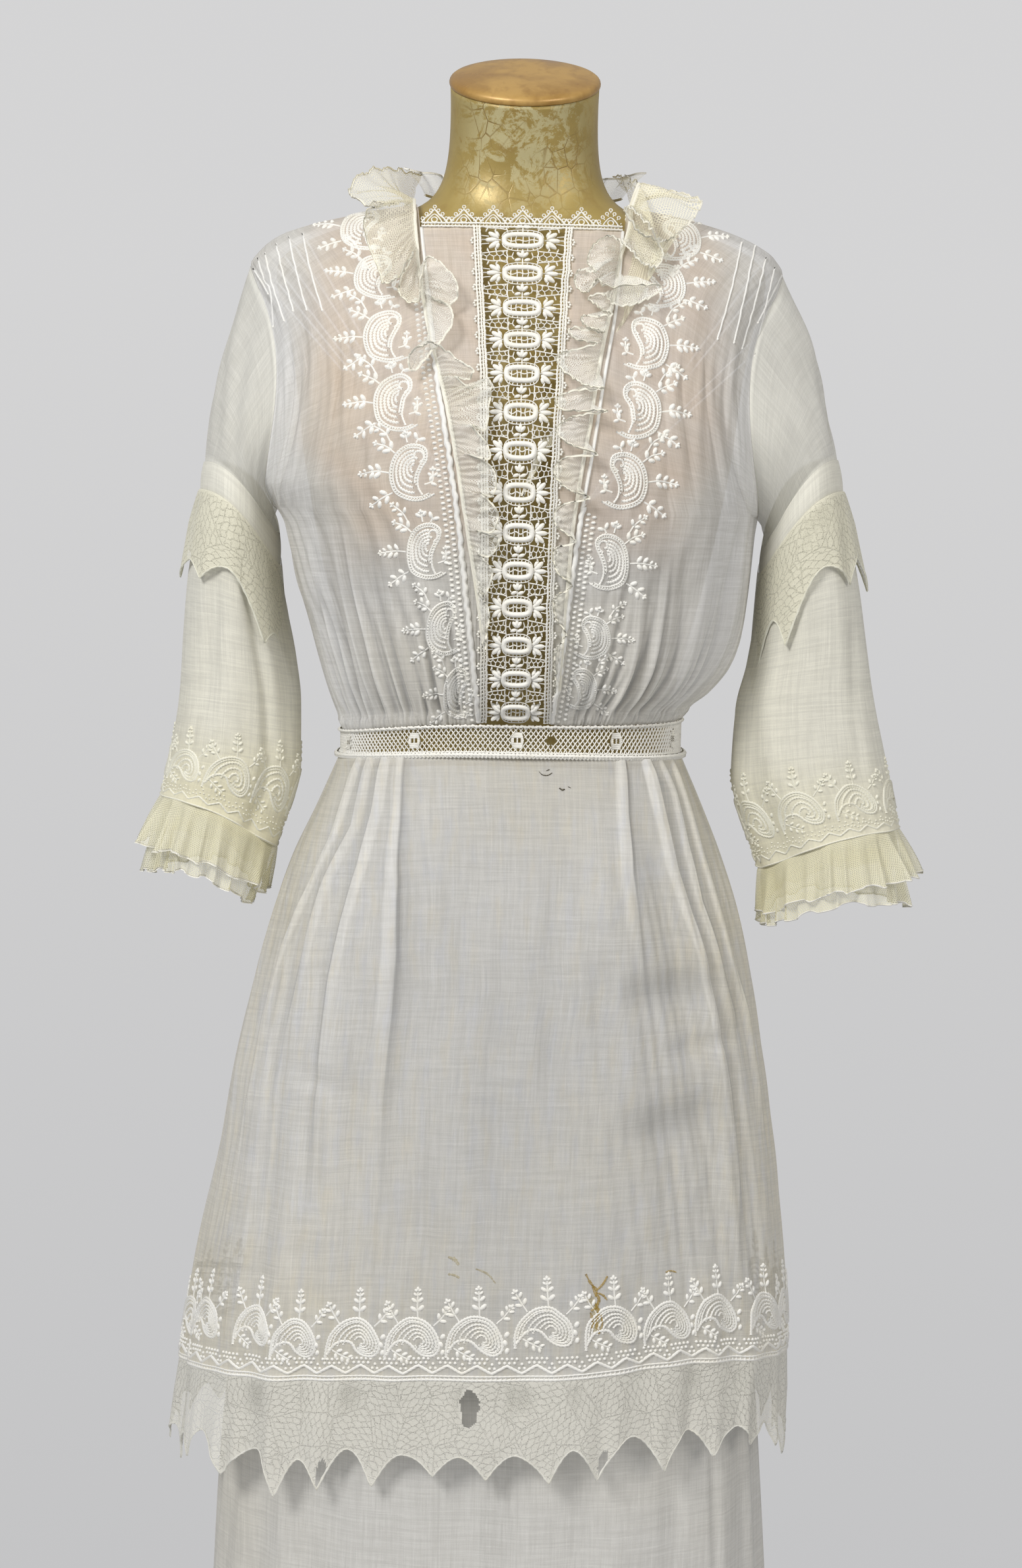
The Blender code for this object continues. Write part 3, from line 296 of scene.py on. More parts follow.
def unit(v):
    v = np.asarray(v, float)
    return v / np.maximum(np.linalg.norm(v, axis=-1, keepdims=True), 1e-12)


def hum(x, seed, waves=5, low=0.6, high=2.6):
    """A smooth uneven wave of about -1 to 1, without repeats."""
    rng = np.random.RandomState(seed)
    k = rng.uniform(low, high, waves) * 2 * np.pi
    p = rng.uniform(0, 2 * np.pi, waves)
    w = rng.uniform(0.5, 1.0, waves)
    x = np.asarray(x, float)
    return sum(w[i] * np.sin(k[i] * x + p[i]) for i in range(waves)) / w.sum() * 1.6


def valleys(u, h, count, seed, depth, reach, jitter=0.32, share=1.0, lean=0.0, power=1.6):
    """Depth of uneven valleys that start at h = 0 and let go at their own heights.

    u runs 0 to 1 across them. reach is (shortest, longest). Valleys lie between ridges, so each keeps its own depth."""
    rng = np.random.RandomState(seed)
    n = count + 2
    place = np.arange(n) + rng.uniform(-jitter, jitter, n)
    place = (place - place[0]) / (place[-1] - place[0]) * (1 + 1.0 / count) - 0.5 / count
    size = rng.uniform(0.35, 1.0, n) * (rng.uniform(0, 1, n) < share)
    top = rng.uniform(reach[0], reach[1], n)
    bend = rng.uniform(-1, 1, n)
    skew = rng.uniform(-0.45, 0.45, n)
    u = u + lean * h * np.sin(u * np.pi * 2 * 1.3 + seed) + 0.0
    i = np.clip(np.searchsorted(place, u, side="right") - 1, 0, n - 2)
    a, b = place[i], place[i + 1]
    t = np.clip((u - a) / (b - a), 0, 1)
    centre = 0.5 + skew[i] * 0.5 + bend[i] * 0.12 * np.sin(h * 40 + i)
    t = np.where(t < centre, t / np.maximum(centre, 0.05), (1 - t) / np.maximum(1 - centre, 0.05))
    fade = 1 - ramp(0.25, 1.0, h / top[i])
    return depth * size[i] * np.clip(t, 0, 1) ** power * fade


def section(table, z, deg, power, out=0.0):
    a = np.radians(deg)
    z, s, c, out = np.broadcast_arrays(z, np.sin(a), np.cos(a), out)
    half = np.where(s > 0, table(2, z), table(1, z))
    deep = np.where(c > 0, table(3, z), table(4, z))
    e = 2.0 / power
    x, y = half * np.sign(s) * abs(s) ** e, -deep * np.sign(c) * abs(c) ** e
    nx, ny = np.sign(s) * abs(s) ** (2 - e) / half, -np.sign(c) * abs(c) ** (2 - e) / deep
    k = np.hypot(nx, ny)
    return np.stack([x + nx / k * out, MID_Y + y + ny / k * out, z + 0.0], -1)


def angle_of_x(table, z, x, power):
    half = np.where(np.asarray(x) > 0, table(2, z), table(1, z))
    return np.copysign(np.degrees(np.arcsin(np.minimum(1.0, np.abs(x) / half) ** (power / 2))), x)


def top_of_waist(deg):
    return WAIST_TOP - 0.0125 * np.maximum(0.0, -np.sin(np.radians(deg))) ** 2


def bottom_of_waist(deg):
    s = np.sin(np.radians(deg))
    return WAIST_BOTTOM - 0.0095 * np.maximum(0.0, -s) ** 2 - 0.0045 * np.maximum(0.0, s) ** 2


def body(deg, z, out=0.0):
    p = section(BODICE, z, deg, BODY_POWER, out)
    p[..., 2] += (top_of_waist(deg) + GAP - WAIST_TOP) * (1 - ramp(WAIST_TOP, 1.14, z))
    return p


def on_body(x, z, out=0.0):
    return body(angle_of_x(BODICE, z, x, BODY_POWER), z, out)


def shoulder_height(x, y):
    lo, hi = 1.30, 1.4350
    for _ in range(40):
        z = (lo + hi) / 2
        half = BODICE(2 if x > 0 else 1, z)
        deep = BODICE(3 if y < MID_Y else 4, z)
        inside = (abs(x) / half) ** BODY_POWER + (abs(y - MID_Y) / deep) ** BODY_POWER < 1
        lo, hi = (z, hi) if inside else (lo, z)
    return (lo + hi) / 2


def angle_of_point(x, y, z):
    half = BODICE(2 if x > 0 else 1, z)
    deep = BODICE(3 if y < MID_Y else 4, z)
    s = (abs(x) / half) ** (BODY_POWER / 2)
    c = (abs(y - MID_Y) / deep) ** (BODY_POWER / 2)
    return math.copysign(math.degrees(math.atan2(s, c if y < MID_Y else -c)), x)


def armhole(turn, side):
    t = np.radians(turn)
    cut = np.sin(t) * np.where(np.sin(t) > 0, ARM_FRONT, ARM_BACK)
    return side * (90.0 - cut), ARM_MID + ARM_HALF * np.cos(t)


def front_inner(z, side):
    return float(angle_of_x(BODICE, z, side * abs(FRONT_LINES(4 if side > 0 else 3, z)), BODY_POWER))


def neck_side(k, side):
    x, y = side * (NECK_HALF + 0.0085 * k), -0.060 + (MID_Y + 0.060) * k
    z = shoulder_height(x, y)
    return angle_of_point(x, y, z), z


def neck_back(k, side):
    z = shoulder_height(side * (NECK_HALF + 0.0085), MID_Y)
    return side * (90.0 + 90.0 * k), z + (NECK_BACK - z) * float(ramp(0, 1, k))


def front_frame(v, side):
    low, high = LOW, LOW + (1 - LOW) * SHARE
    if v <= low:
        z = WAIST_TOP + (UNDERARM - WAIST_TOP) * v / low
        return (front_inner(z, side), z), (side * 90.0, z)
    outer = armhole(180.0 * (1 - (v - low) / (1 - low)), side)
    if v <= high:
        z = UNDERARM + (NECK_FRONT - UNDERARM) * (v - low) / (high - low)
        return (front_inner(z, side), z), outer
    return neck_side((v - high) / (1 - high), side), outer


def back_frame(v, side):
    if v <= LOW:
        z = WAIST_TOP + (UNDERARM - WAIST_TOP) * v / LOW
        return (side * 180.0, z), (side * 90.0, z)
    k = (v - LOW) / (1 - LOW)
    outer = armhole(180.0 + 180.0 * k, side)
    if k < SHARE:
        return (side * 180.0, UNDERARM + (NECK_BACK - UNDERARM) * k / SHARE), outer
    return neck_back(1 - (k - SHARE) / (1 - SHARE), side), outer


def tube(table, side, z, turn, out=0.0):
    """Sleeve below its band: turn 0 outer, 90 front, 180 inner, 270 back."""
    t = np.radians(turn)
    outer, inner = table(1, z) + out, table(2, z) - out
    front, back = table(3, z) - out, table(4, z) + out
    c, s = np.cos(t), np.sin(t)
    x = (outer + inner) / 2 + (outer - inner) / 2 * c
    y = (front + back) / 2 - (back - front) / 2 * s
    drop = table(5, z) * ((1 - c) / 2) ** 2.35
    x, y, z = np.broadcast_arrays(side * x, y, z - drop)
    return np.stack([x, y, z], -1)


def hem_height(deg):
    return TUNIC_HEM(1, (np.asarray(deg) + 180.0) % 360.0 - 180.0)


def lace_length(deg):
    return TUNIC_HEM(2, (np.asarray(deg) + 180.0) % 360.0 - 180.0)


def tunic(deg, f, out=0.0):
    """Tunic surface: f 0 at the waistband, 1 at the hem seam, past 1 on the lace, one unit for each hem-to-waist."""
    top = bottom_of_waist(deg) - GAP
    hem = hem_height(deg)
    p = section(TUNIC, np.maximum(WAIST_BOTTOM + (hem - WAIST_BOTTOM) * f, 0.5), deg, SKIRT_POWER, out)
    p[..., 2] = top + (hem - top) * f
    return p


# ---------------------------------------------------------------- camera
# Worked out from the photograph's perspective: in front of the pole, a little above the waist, looking slightly down.
FOCAL, WIDE, HIGH = 3600.0, 1551, 2380
PITCH, ROLL = math.radians(6.3), math.radians(1.15)
EYE = np.array([0.0, -1.74, 1.20])
AHEAD = np.array([0.0, math.cos(PITCH), -math.sin(PITCH)])
LEVEL, RISE = np.array([1.0, 0.0, 0.0]), np.array([0.0, math.sin(PITCH), math.cos(PITCH)])
SIDE_AXIS = LEVEL * math.cos(ROLL) + RISE * math.sin(ROLL)
UP_AXIS = -LEVEL * math.sin(ROLL) + RISE * math.cos(ROLL)


def sight(px, py):
    return unit(AHEAD + SIDE_AXIS * (px - WIDE / 2) / FOCAL + UP_AXIS * (HIGH / 2 - py) / FOCAL)


def make_camera():
    cam = bpy.data.objects.new("camera", bpy.data.cameras.new("camera"))
    bpy.context.scene.collection.objects.link(cam)
    cam.data.sensor_fit = "AUTO"
    cam.data.sensor_width = 36.0
    cam.data.lens = FOCAL / HIGH * 36.0
    turn = Matrix([list(a) for a in zip(SIDE_AXIS, UP_AXIS, -AHEAD)])
    cam.matrix_world = Matrix.Translation(Vector(EYE + SHIFT)) @ turn.to_4x4()
    cam.data.clip_start, cam.data.clip_end = 0.05, 50
    bpy.context.scene.camera = cam


# ---------------------------------------------------------------- materials
class Shader:
    """A Principled material with helpers for its nodes."""

    def __init__(self, name, colour, rough, metal=0.0, sheen=0.0, specular=0.5):
        self.m = bpy.data.materials.new(name)
        self.m.use_nodes = True
        self.t = self.m.node_tree
        self.b = self.t.nodes["Principled BSDF"]
        self.b.inputs["Base Color"].default_value = (*colour, 1)
        self.b.inputs["Roughness"].default_value = rough
        self.b.inputs["Metallic"].default_value = metal
        self.b.inputs["Sheen Weight"].default_value = sheen
        self.b.inputs["Sheen Roughness"].default_value = 0.5
        self.b.inputs["Specular IOR Level"].default_value = specular
        self.m.diffuse_color = (*colour, 1)

    def node(self, kind, **props):
        n = self.t.nodes.new(kind)
        for k, v in props.items():
            setattr(n, k, v)
        return n

    def link(self, a, b):
        self.t.links.new(a, b)

    def feed(self, socket, value):
        if hasattr(value, "is_output"):
            self.link(value, socket)
        else:
            socket.default_value = value

    def sums(self, op, *values, clamp=False):
        n = self.node("ShaderNodeMath", operation=op, use_clamp=clamp)
        for s, v in zip(n.inputs, values):
            self.feed(s, v)
        return n.outputs[0]

    def vector(self, op, *values, scalar=False):
        n = self.node("ShaderNodeVectorMath", operation=op)
        for s, v in zip(n.inputs, values):
            self.feed(s, v)
        return n.outputs["Value" if scalar else "Vector"]

    def uv(self, scale=(1, 1, 1), turn=0.0):
        tex = self.node("ShaderNodeUVMap", uv_map="UVMap").outputs[0]
        n = self.node("ShaderNodeMapping")
        n.inputs["Scale"].default_value = scale
        n.inputs["Rotation"].default_value = (0, 0, turn)
        self.link(tex, n.inputs[0])
        return n.outputs[0]

    def place(self, scale=(1, 1, 1)):
        tex = self.node("ShaderNodeTexCoord").outputs["Object"]
        n = self.node("ShaderNodeMapping")
        n.inputs["Scale"].default_value = scale
        self.link(tex, n.inputs[0])
        return n.outputs[0]

    def noise(self, where, scale, detail=2.0, rough=0.5, warp=0.0):
        n = self.node("ShaderNodeTexNoise")
        self.link(where, n.inputs["Vector"])
        n.inputs["Scale"].default_value = scale
        n.inputs["Detail"].default_value = detail
        n.inputs["Roughness"].default_value = rough
        n.inputs["Distortion"].default_value = warp
        return n.outputs["Fac"]

    def ramp(self, value, low, high, a=0.0, b=1.0, smooth=True):
        n = self.node("ShaderNodeMapRange")
        n.interpolation_type = "SMOOTHSTEP" if smooth else "LINEAR"
        self.feed(n.inputs["Value"], value)
        for k, v in (("From Min", low), ("From Max", high), ("To Min", a), ("To Max", b)):
            n.inputs[k].default_value = v
        return n.outputs["Result"]

    def mix(self, share, a, b, how="MIX"):
        n = self.node("ShaderNodeMix", data_type="RGBA", blend_type=how)
        self.feed(n.inputs["Factor"], share)
        for s, v in ((n.inputs["A"], a), (n.inputs["B"], b)):
            self.feed(s, (*v, 1) if isinstance(v, tuple) and len(v) == 3 else v)
        return n.outputs["Result"]

    def attribute(self, name):
        return self.node("ShaderNodeAttribute", attribute_name=name).outputs["Fac"]

    def bump(self, height, distance, strength=1.0):
        n = self.node("ShaderNodeBump")
        n.inputs["Strength"].default_value = strength
        n.inputs["Distance"].default_value = distance
        self.link(height, n.inputs["Height"])
        self.link(n.outputs[0], self.b.inputs["Normal"])

    def set(self, **sockets):
        for k, v in sockets.items():
            self.link(v, self.b.inputs[k.replace("_", " ")])
        return self.m


def lawn(name, colour, aged, alpha, tint=0.0):
    """Fine sheer cotton: uneven threads both ways, a little age, more cover where the cloth is doubled or where a fold
    crest is given a painted highlight, the form's warm colour where it shows through, and painted shade from the grey
    mark.
    """
    s = Shader(name, colour, 0.9, sheen=0.12, specular=0.25)
    along = s.noise(s.uv((820, 34, 1)), 1.0, 3.0, 0.6)
    across = s.noise(s.uv((34, 820, 1)), 1.0, 3.0, 0.6)
    fine = s.noise(s.uv((1900, 1900, 1)), 1.0, 1.0, 0.5)
    slub = s.noise(s.uv((900, 9, 1)), 1.0, 1.0, 0.5)
    slub2 = s.noise(s.uv((9, 900, 1)), 1.0, 1.0, 0.5)
    weave = s.sums("ADD", s.sums("MULTIPLY", s.sums("ADD", along, across), 0.38), s.sums("MULTIPLY", fine, 0.24))
    weave = s.sums("ADD", weave, s.sums("MULTIPLY", s.sums("ADD", s.ramp(slub, 0.62, 0.8), s.ramp(slub2, 0.62, 0.8)), 0.10))
    dense = s.attribute("dense")
    cover = s.ramp(weave, 0.3, 0.72, alpha - 0.10, alpha + 0.10, smooth=False)
    cover = s.sums("ADD", cover, s.sums("MULTIPLY", dense, s.sums("SUBTRACT", 1.0, cover)), clamp=True)
    age = s.ramp(s.noise(s.place(), 3.2, 3.0, 0.55), 0.42, 0.72)
    age = s.sums("ADD", s.sums("MULTIPLY", age, 0.45), s.attribute("aged"), clamp=True)
    base = s.mix(age, colour, aged)
    if tint:
        hue = s.noise(s.uv((135, 30, 1)), 1.0, 2.0, 0.5)
        base = s.mix(s.ramp(hue, 0.52, 0.72, 0.0, tint), base, (0.92, 0.80, 0.52))
        base = s.mix(s.ramp(hue, 0.48, 0.30, 0.0, tint), base, (0.66, 0.72, 0.90))
    base = s.mix(s.ramp(weave, 0.34, 0.66, 0.12, 0.0), base, (0.42, 0.41, 0.38))
    bar_a = s.noise(s.uv((330, 16, 1)), 1.0, 4.0, 0.7)
    bar_b = s.noise(s.uv((16, 330, 1)), 1.0, 4.0, 0.7)
    base = s.mix(s.ramp(s.sums("MULTIPLY", bar_a, bar_b), 0.17, 0.32, 0.21, 0.0), base, (0.40, 0.39, 0.36))
    base = s.mix(s.attribute("warm"), base, (0.74, 0.555, 0.42))
    base = s.mix(s.attribute("soil"), base, (0.30, 0.17, 0.05))
    # painted shade: folds, pleat edges and creases are darkened toward grey where they would fall in shade
    base = s.mix(s.attribute("grey"), base, (0.30, 0.31, 0.33))
    s.bump(weave, 0.00035, 0.35)
    return s.set(Base_Color=base, Alpha=cover)


def thread(name, colour, rough=0.62, scale=900.0, sheen=0.15, shade=0.16):
    """Cotton embroidery and lace thread: soft gloss, twisted strands, darker between the stitches."""
    s = Shader(name, colour, rough, sheen=sheen, specular=0.35)
    strand = s.noise(s.place((1, 1, 1)), scale, 2.0, 0.6)
    patch = s.noise(s.place((1, 1, 1)), 60.0, 2.0, 0.5)
    base = s.mix(s.ramp(strand, 0.35, 0.62, shade, 0.0), colour, tuple(c * 0.62 for c in colour))
    base = s.mix(s.ramp(patch, 0.45, 0.75, 0.0, 0.25), base, (colour[0] * 0.95, colour[1] * 0.90, colour[2] * 0.76))
    s.bump(strand, 0.0004, 0.5)
    return s.set(Base_Color=base)


def net(name, colour, cell, cover_low, cover_high, bar=0.16, shade=0.2):
    """Cotton net: six-sided cells cut out by alpha, with a gathered, uneven look."""
    s = Shader(name, colour, 0.85, sheen=0.15, specular=0.25)
    p = s.uv((1 / cell, 1 / cell, 1))
    wob = s.node("ShaderNodeTexNoise")
    s.link(s.uv((70, 70, 1)), wob.inputs["Vector"])
    wob.inputs["Scale"].default_value = 1.0
    p = s.vector("ADD", p, s.vector("MULTIPLY", s.vector("SUBTRACT", wob.outputs["Color"], (0.5, 0.5, 0.5)), (1.6, 1.6, 0.0)))
    p = s.vector("MULTIPLY", p, (1, 1, 0))
    r = (1.0, math.sqrt(3), 1.0)
    half = (0.5, math.sqrt(3) / 2, 0.0)

    def cellwise(q):
        return s.vector("SUBTRACT", s.vector("WRAP", q, r, (0, 0, 0)), half)

    a, b = cellwise(p), cellwise(s.vector("SUBTRACT", p, half))
    la, lb = s.vector("LENGTH", a, scalar=True), s.vector("LENGTH", b, scalar=True)
    pick = s.sums("LESS_THAN", la, lb)
    mixv = s.node("ShaderNodeMix", data_type="VECTOR")
    s.link(pick, mixv.inputs["Factor"])
    vec_in = [i for i in mixv.inputs if i.type == "VECTOR" and i.name in ("A", "B")]
    s.link(b, vec_in[0])
    s.link(a, vec_in[1])
    g = s.vector("ABSOLUTE", [o for o in mixv.outputs if o.type == "VECTOR"][0])
    gx = s.vector("DOT_PRODUCT", g, (1, 0, 0), scalar=True)
    gs = s.vector("DOT_PRODUCT", g, (0.5, math.sqrt(3) / 2, 0), scalar=True)
    edge = s.sums("SUBTRACT", 0.5, s.sums("MAXIMUM", gx, gs))
    bars = s.ramp(edge, bar * 0.6, bar * 1.5, 1.0, 0.0)
    dense = s.attribute("dense")
    cover = s.sums("MULTIPLY_ADD", bars, cover_high - cover_low, cover_low)
    cover = s.sums("ADD", cover, s.sums("MULTIPLY", dense, s.sums("SUBTRACT", 1.0, cover)), clamp=True)
    patch = s.noise(s.place(), 25.0, 3.0, 0.55)
    base = s.mix(s.ramp(patch, 0.42, 0.7, 0.0, shade * 2), colour, (colour[0] * 0.90, colour[1] * 0.86, colour[2] * 0.66))
    base = s.mix(s.attribute("aged"), base, (colour[0] * 0.86, colour[1] * 0.80, colour[2] * 0.52))
    s.bump(bars, 0.0002, 0.4)
    return s.set(Base_Color=base, Alpha=cover)


def leaf_lace(name, colour, cover):
    """Machine lace: closely woven leaves lying in sprays, each in a row of pinholes, with open ground here and there."""
    s = Shader(name, colour, 0.85, sheen=0.12, specular=0.25)
    cell = s.node("ShaderNodeTexVoronoi", feature="DISTANCE_TO_EDGE")
    s.link(s.uv((860, 860, 1)), cell.inputs["Vector"])
    cell.inputs["Scale"].default_value = 1.0
    bars = s.ramp(cell.outputs["Distance"], 0.10, 0.30, 1.0, 0.0)
    # each spray has its own lie: leaves are laid out round the middle of the spray
    spray = s.node("ShaderNodeTexVoronoi", feature="F1", voronoi_dimensions="2D")
    place = s.uv((45, 40, 1))
    s.link(place, spray.inputs["Vector"])
    spray.inputs["Scale"].default_value = 1.0
    spray.inputs["Randomness"].default_value = 0.75
    seam = s.node("ShaderNodeTexVoronoi", feature="DISTANCE_TO_EDGE", voronoi_dimensions="2D")
    s.link(place, seam.inputs["Vector"])
    seam.inputs["Scale"].default_value = 1.0
    seam.inputs["Randomness"].default_value = 0.75
    own = s.vector("SUBTRACT", place, spray.outputs["Position"])
    turn = s.node("ShaderNodeVectorRotate", rotation_type="Z_AXIS")
    pick = s.node("ShaderNodeSeparateColor")
    s.link(spray.outputs["Color"], pick.inputs[0])
    s.link(own, turn.inputs["Vector"])
    s.link(s.sums("MULTIPLY", pick.outputs[0], 3.14159), turn.inputs["Angle"])
    wander = s.node("ShaderNodeTexNoise")
    s.link(s.uv((260, 260, 1)), wander.inputs["Vector"])
    wander.inputs["Scale"].default_value = 1.0
    leafwise = s.vector("ADD", s.vector("MULTIPLY", turn.outputs[0], (5.0, 2.5, 1.0)), s.vector("MULTIPLY", s.vector("SUBTRACT", wander.outputs["Color"], (0.5, 0.5, 0.5)), (0.7, 0.5, 0.0)))
    axis = s.node("ShaderNodeSeparateXYZ")
    s.link(leafwise, axis.inputs[0])
    # pointed leaves side by side: two families of waves that cross at the leaf ends
    swing = s.sums("MULTIPLY", s.sums("COSINE", s.sums("MULTIPLY", axis.outputs["Y"], 3.14159)), 1.5708)
    flat = s.sums("MULTIPLY", axis.outputs["X"], 3.14159)
    near = s.sums("MINIMUM", s.sums("ABSOLUTE", s.sums("SINE", s.sums("ADD", flat, swing))), s.sums("ABSOLUTE", s.sums("SINE", s.sums("SUBTRACT", flat, swing))))
    line = s.sums("MAXIMUM", s.ramp(near, 0.15, 0.36, 1.0, 0.0), s.ramp(seam.outputs["Distance"], 0.010, 0.024, 1.0, 0.0))
    leaf, worked = s.attribute("dense"), s.attribute("rim")
    pins = s.sums("MULTIPLY", s.sums("MULTIPLY", line, worked), s.sums("SUBTRACT", 1.0, s.sums("MULTIPLY", bars, 0.75)))
    open_ = s.sums("MULTIPLY_ADD", bars, 0.34, cover - 0.17)
    cover_ = s.sums("ADD", open_, s.sums("MULTIPLY", leaf, s.sums("SUBTRACT", 0.90, open_)), clamp=True)
    cover_ = s.sums("MULTIPLY", cover_, s.sums("SUBTRACT", 1.0, s.sums("MULTIPLY", pins, 0.62)))
    weave = s.noise(s.uv((1400, 500, 1)), 1.0, 2.0, 0.6)
    deep = (colour[0] * 0.90, colour[1] * 0.90, colour[2] * 0.88)
    base = s.mix(leaf, deep, s.mix(s.ramp(weave, 0.3, 0.7, 0.10, 0.0), colour, (0.45, 0.43, 0.37)))
    base = s.mix(s.sums("MULTIPLY", pins, 0.30), base, (0.40, 0.39, 0.34))
    base = s.mix(s.attribute("aged"), base, (colour[0] * 0.97, colour[1] * 0.93, colour[2] * 0.80))
    s.bump(s.sums("SUBTRACT", s.sums("MULTIPLY", bars, 0.5), s.sums("MULTIPLY", line, 2.0)), 0.0003, 0.5)
    return s.set(Base_Color=base, Alpha=cover_)


def gold_paint():
    s = Shader("form_gold", (0.42, 0.27, 0.08), 0.48, metal=0.18, specular=0.5)
    place = s.place()
    cloud = s.noise(place, 9.0, 4.0, 0.6, 0.4)
    fleck = s.noise(place, 55.0, 4.0, 0.65)
    grain = s.noise(place, 420.0, 2.0, 0.5)
    base = s.mix(s.ramp(cloud, 0.35, 0.65), (0.34, 0.250, 0.074), (0.46, 0.350, 0.120))
    base = s.mix(s.ramp(fleck, 0.5, 0.7, 0.0, 0.5), base, (0.30, 0.20, 0.06))
    # worn cream ground with fine cracks, mostly on the front of the neck
    sep = s.node("ShaderNodeSeparateXYZ")
    s.link(place, sep.inputs[0])
    x = s.sums("ADD", sep.outputs["X"], -float(SHIFT[0]))
    off = s.sums("ABSOLUTE", x)
    spot = s.sums("MULTIPLY", s.ramp(off, 0.022, 0.058, 1.0, 0.0), s.ramp(sep.outputs["Z"], 1.415, 1.45, 0.25, 1.0))
    spot = s.sums("MULTIPLY", spot, s.ramp(sep.outputs["Y"], -0.03, 0.02, 1.0, 0.0))
    crack = s.node("ShaderNodeTexVoronoi", feature="DISTANCE_TO_EDGE")
    s.link(s.place((1, 1, 0.75)), crack.inputs["Vector"])
    crack.inputs["Scale"].default_value = 92.0
    craze = s.sums("MULTIPLY", s.ramp(crack.outputs["Distance"], 0.010, 0.045, 1.0, 0.0), s.ramp(s.noise(place, 22.0, 2.0, 0.5), 0.42, 0.60))
    worn = s.ramp(s.noise(place, 52.0, 9.0, 0.80, 0.5), 0.475, 0.53)
    worn = s.sums("MULTIPLY", s.sums("MULTIPLY", worn, spot), s.sums("SUBTRACT", 1.0, s.sums("MULTIPLY", craze, 0.75)))
    base = s.mix(s.sums("MULTIPLY", worn, 0.72), base, (0.52, 0.48, 0.28))
    base = s.mix(s.sums("MULTIPLY", craze, s.sums("MULTIPLY", spot, 0.75)), base, (0.20, 0.13, 0.04))
    s.bump(s.sums("ADD", s.sums("MULTIPLY", fleck, 0.6), s.sums("ADD", s.sums("MULTIPLY", s.sums("MULTIPLY", craze, spot), -0.35), s.sums("MULTIPLY", grain, 0.1))), 0.0010, 0.45)
    rough = s.ramp(s.sums("ADD", worn, s.sums("MULTIPLY", fleck, 0.4)), 0.1, 0.9, 0.36, 0.62)
    return s.set(Base_Color=base, Roughness=rough)


def stain(name, colour, cover):
    s = Shader(name, colour, 0.9, specular=0.15)
    blotch = s.noise(s.place(), 700.0, 3.0, 0.6)
    return s.set(Base_Color=s.mix(s.ramp(blotch, 0.35, 0.65), colour, tuple(c * 0.6 for c in colour)), Alpha=s.ramp(blotch, 0.30, 0.60, cover * 0.45, cover))


def cap_lacquer():
    s = Shader("cap_lacquer", (0.48, 0.28, 0.10), 0.28, metal=0.2, specular=0.55)
    place = s.place()
    cloud = s.noise(place, 26.0, 4.0, 0.6)
    grain = s.noise(s.place((1, 0.25, 1)), 160.0, 2.0, 0.5)
    base = s.mix(s.ramp(cloud, 0.36, 0.66), (0.37, 0.205, 0.050), (0.54, 0.335, 0.105))
    base = s.mix(s.ramp(grain, 0.5, 0.75, 0.0, 0.35), base, (0.30, 0.16, 0.045))
    s.bump(s.sums("ADD", cloud, s.sums("MULTIPLY", grain, 0.3)), 0.0008, 0.25)
    return s.set(Base_Color=base, Roughness=s.ramp(cloud, 0.3, 0.7, 0.24, 0.42))


def enamel():
    s = Shader("stand_enamel", (0.035, 0.035, 0.037), 0.35, metal=0.1, specular=0.5)
    place = s.place()
    orange = s.noise(place, 240.0, 2.0, 0.5)
    wear = s.ramp(s.noise(place, 34.0, 6.0, 0.7), 0.60, 0.74)
    base = s.mix(wear, (0.035, 0.035, 0.037), (0.10, 0.085, 0.07))
    s.bump(orange, 0.0006, 0.25)
    return s.set(Base_Color=base, Roughness=s.ramp(wear, 0.0, 1.0, 0.32, 0.62))


# ---------------------------------------------------------------- meshes
MATERIAL = {}


def put(name, verts, faces, material, slot, nodes=(), face_uv=None, marks=None, smooth=True):
    mesh = bpy.data.meshes.new(name)
    verts = np.asarray(verts, float) + SHIFT
    mesh.from_pydata(verts.tolist(), [], [tuple(f) for f in np.asarray(faces).tolist()] if isinstance(faces, np.ndarray) else faces)
    if face_uv is not None:
        layer = mesh.uv_layers.new(name="UVMap")
        layer.data.foreach_set("uv", np.asarray(face_uv, np.float32).ravel())
    for key, values in (marks or {}).items():
        mesh.attributes.new(key, "FLOAT", "POINT").data.foreach_set("value", np.asarray(values, np.float32).ravel())
    if smooth:
        mesh.shade_smooth()
    mesh.materials.append(MATERIAL[material])
    ob = bpy.data.objects.new(name, mesh)
    bpy.context.scene.collection.objects.link(ob)
    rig.ride(ob, "root")
    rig.slot(ob, slot)
    if nodes:
        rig.replaces(ob, *nodes)
    return ob


def lay_uv(P, closed=False):
    """Cloth coordinates in metres: along each row, and down the rows."""
    Q = np.concatenate([P, P[:, :1]], axis=1) if closed else P
    u = np.concatenate([np.zeros((len(Q), 1)), np.cumsum(np.linalg.norm(np.diff(Q, axis=1), axis=2), axis=1)], axis=1)
    u = u - u[:, u.shape[1] // 2][:, None] if not closed else u / u[:, -1:] * u[:, -1].mean()
    dv = np.linalg.norm(np.diff(Q, axis=0), axis=2).mean(axis=1)
    v = np.concatenate([[0], np.cumsum(dv)])[:, None] * np.ones_like(u)
    return np.stack([u, v], -1)


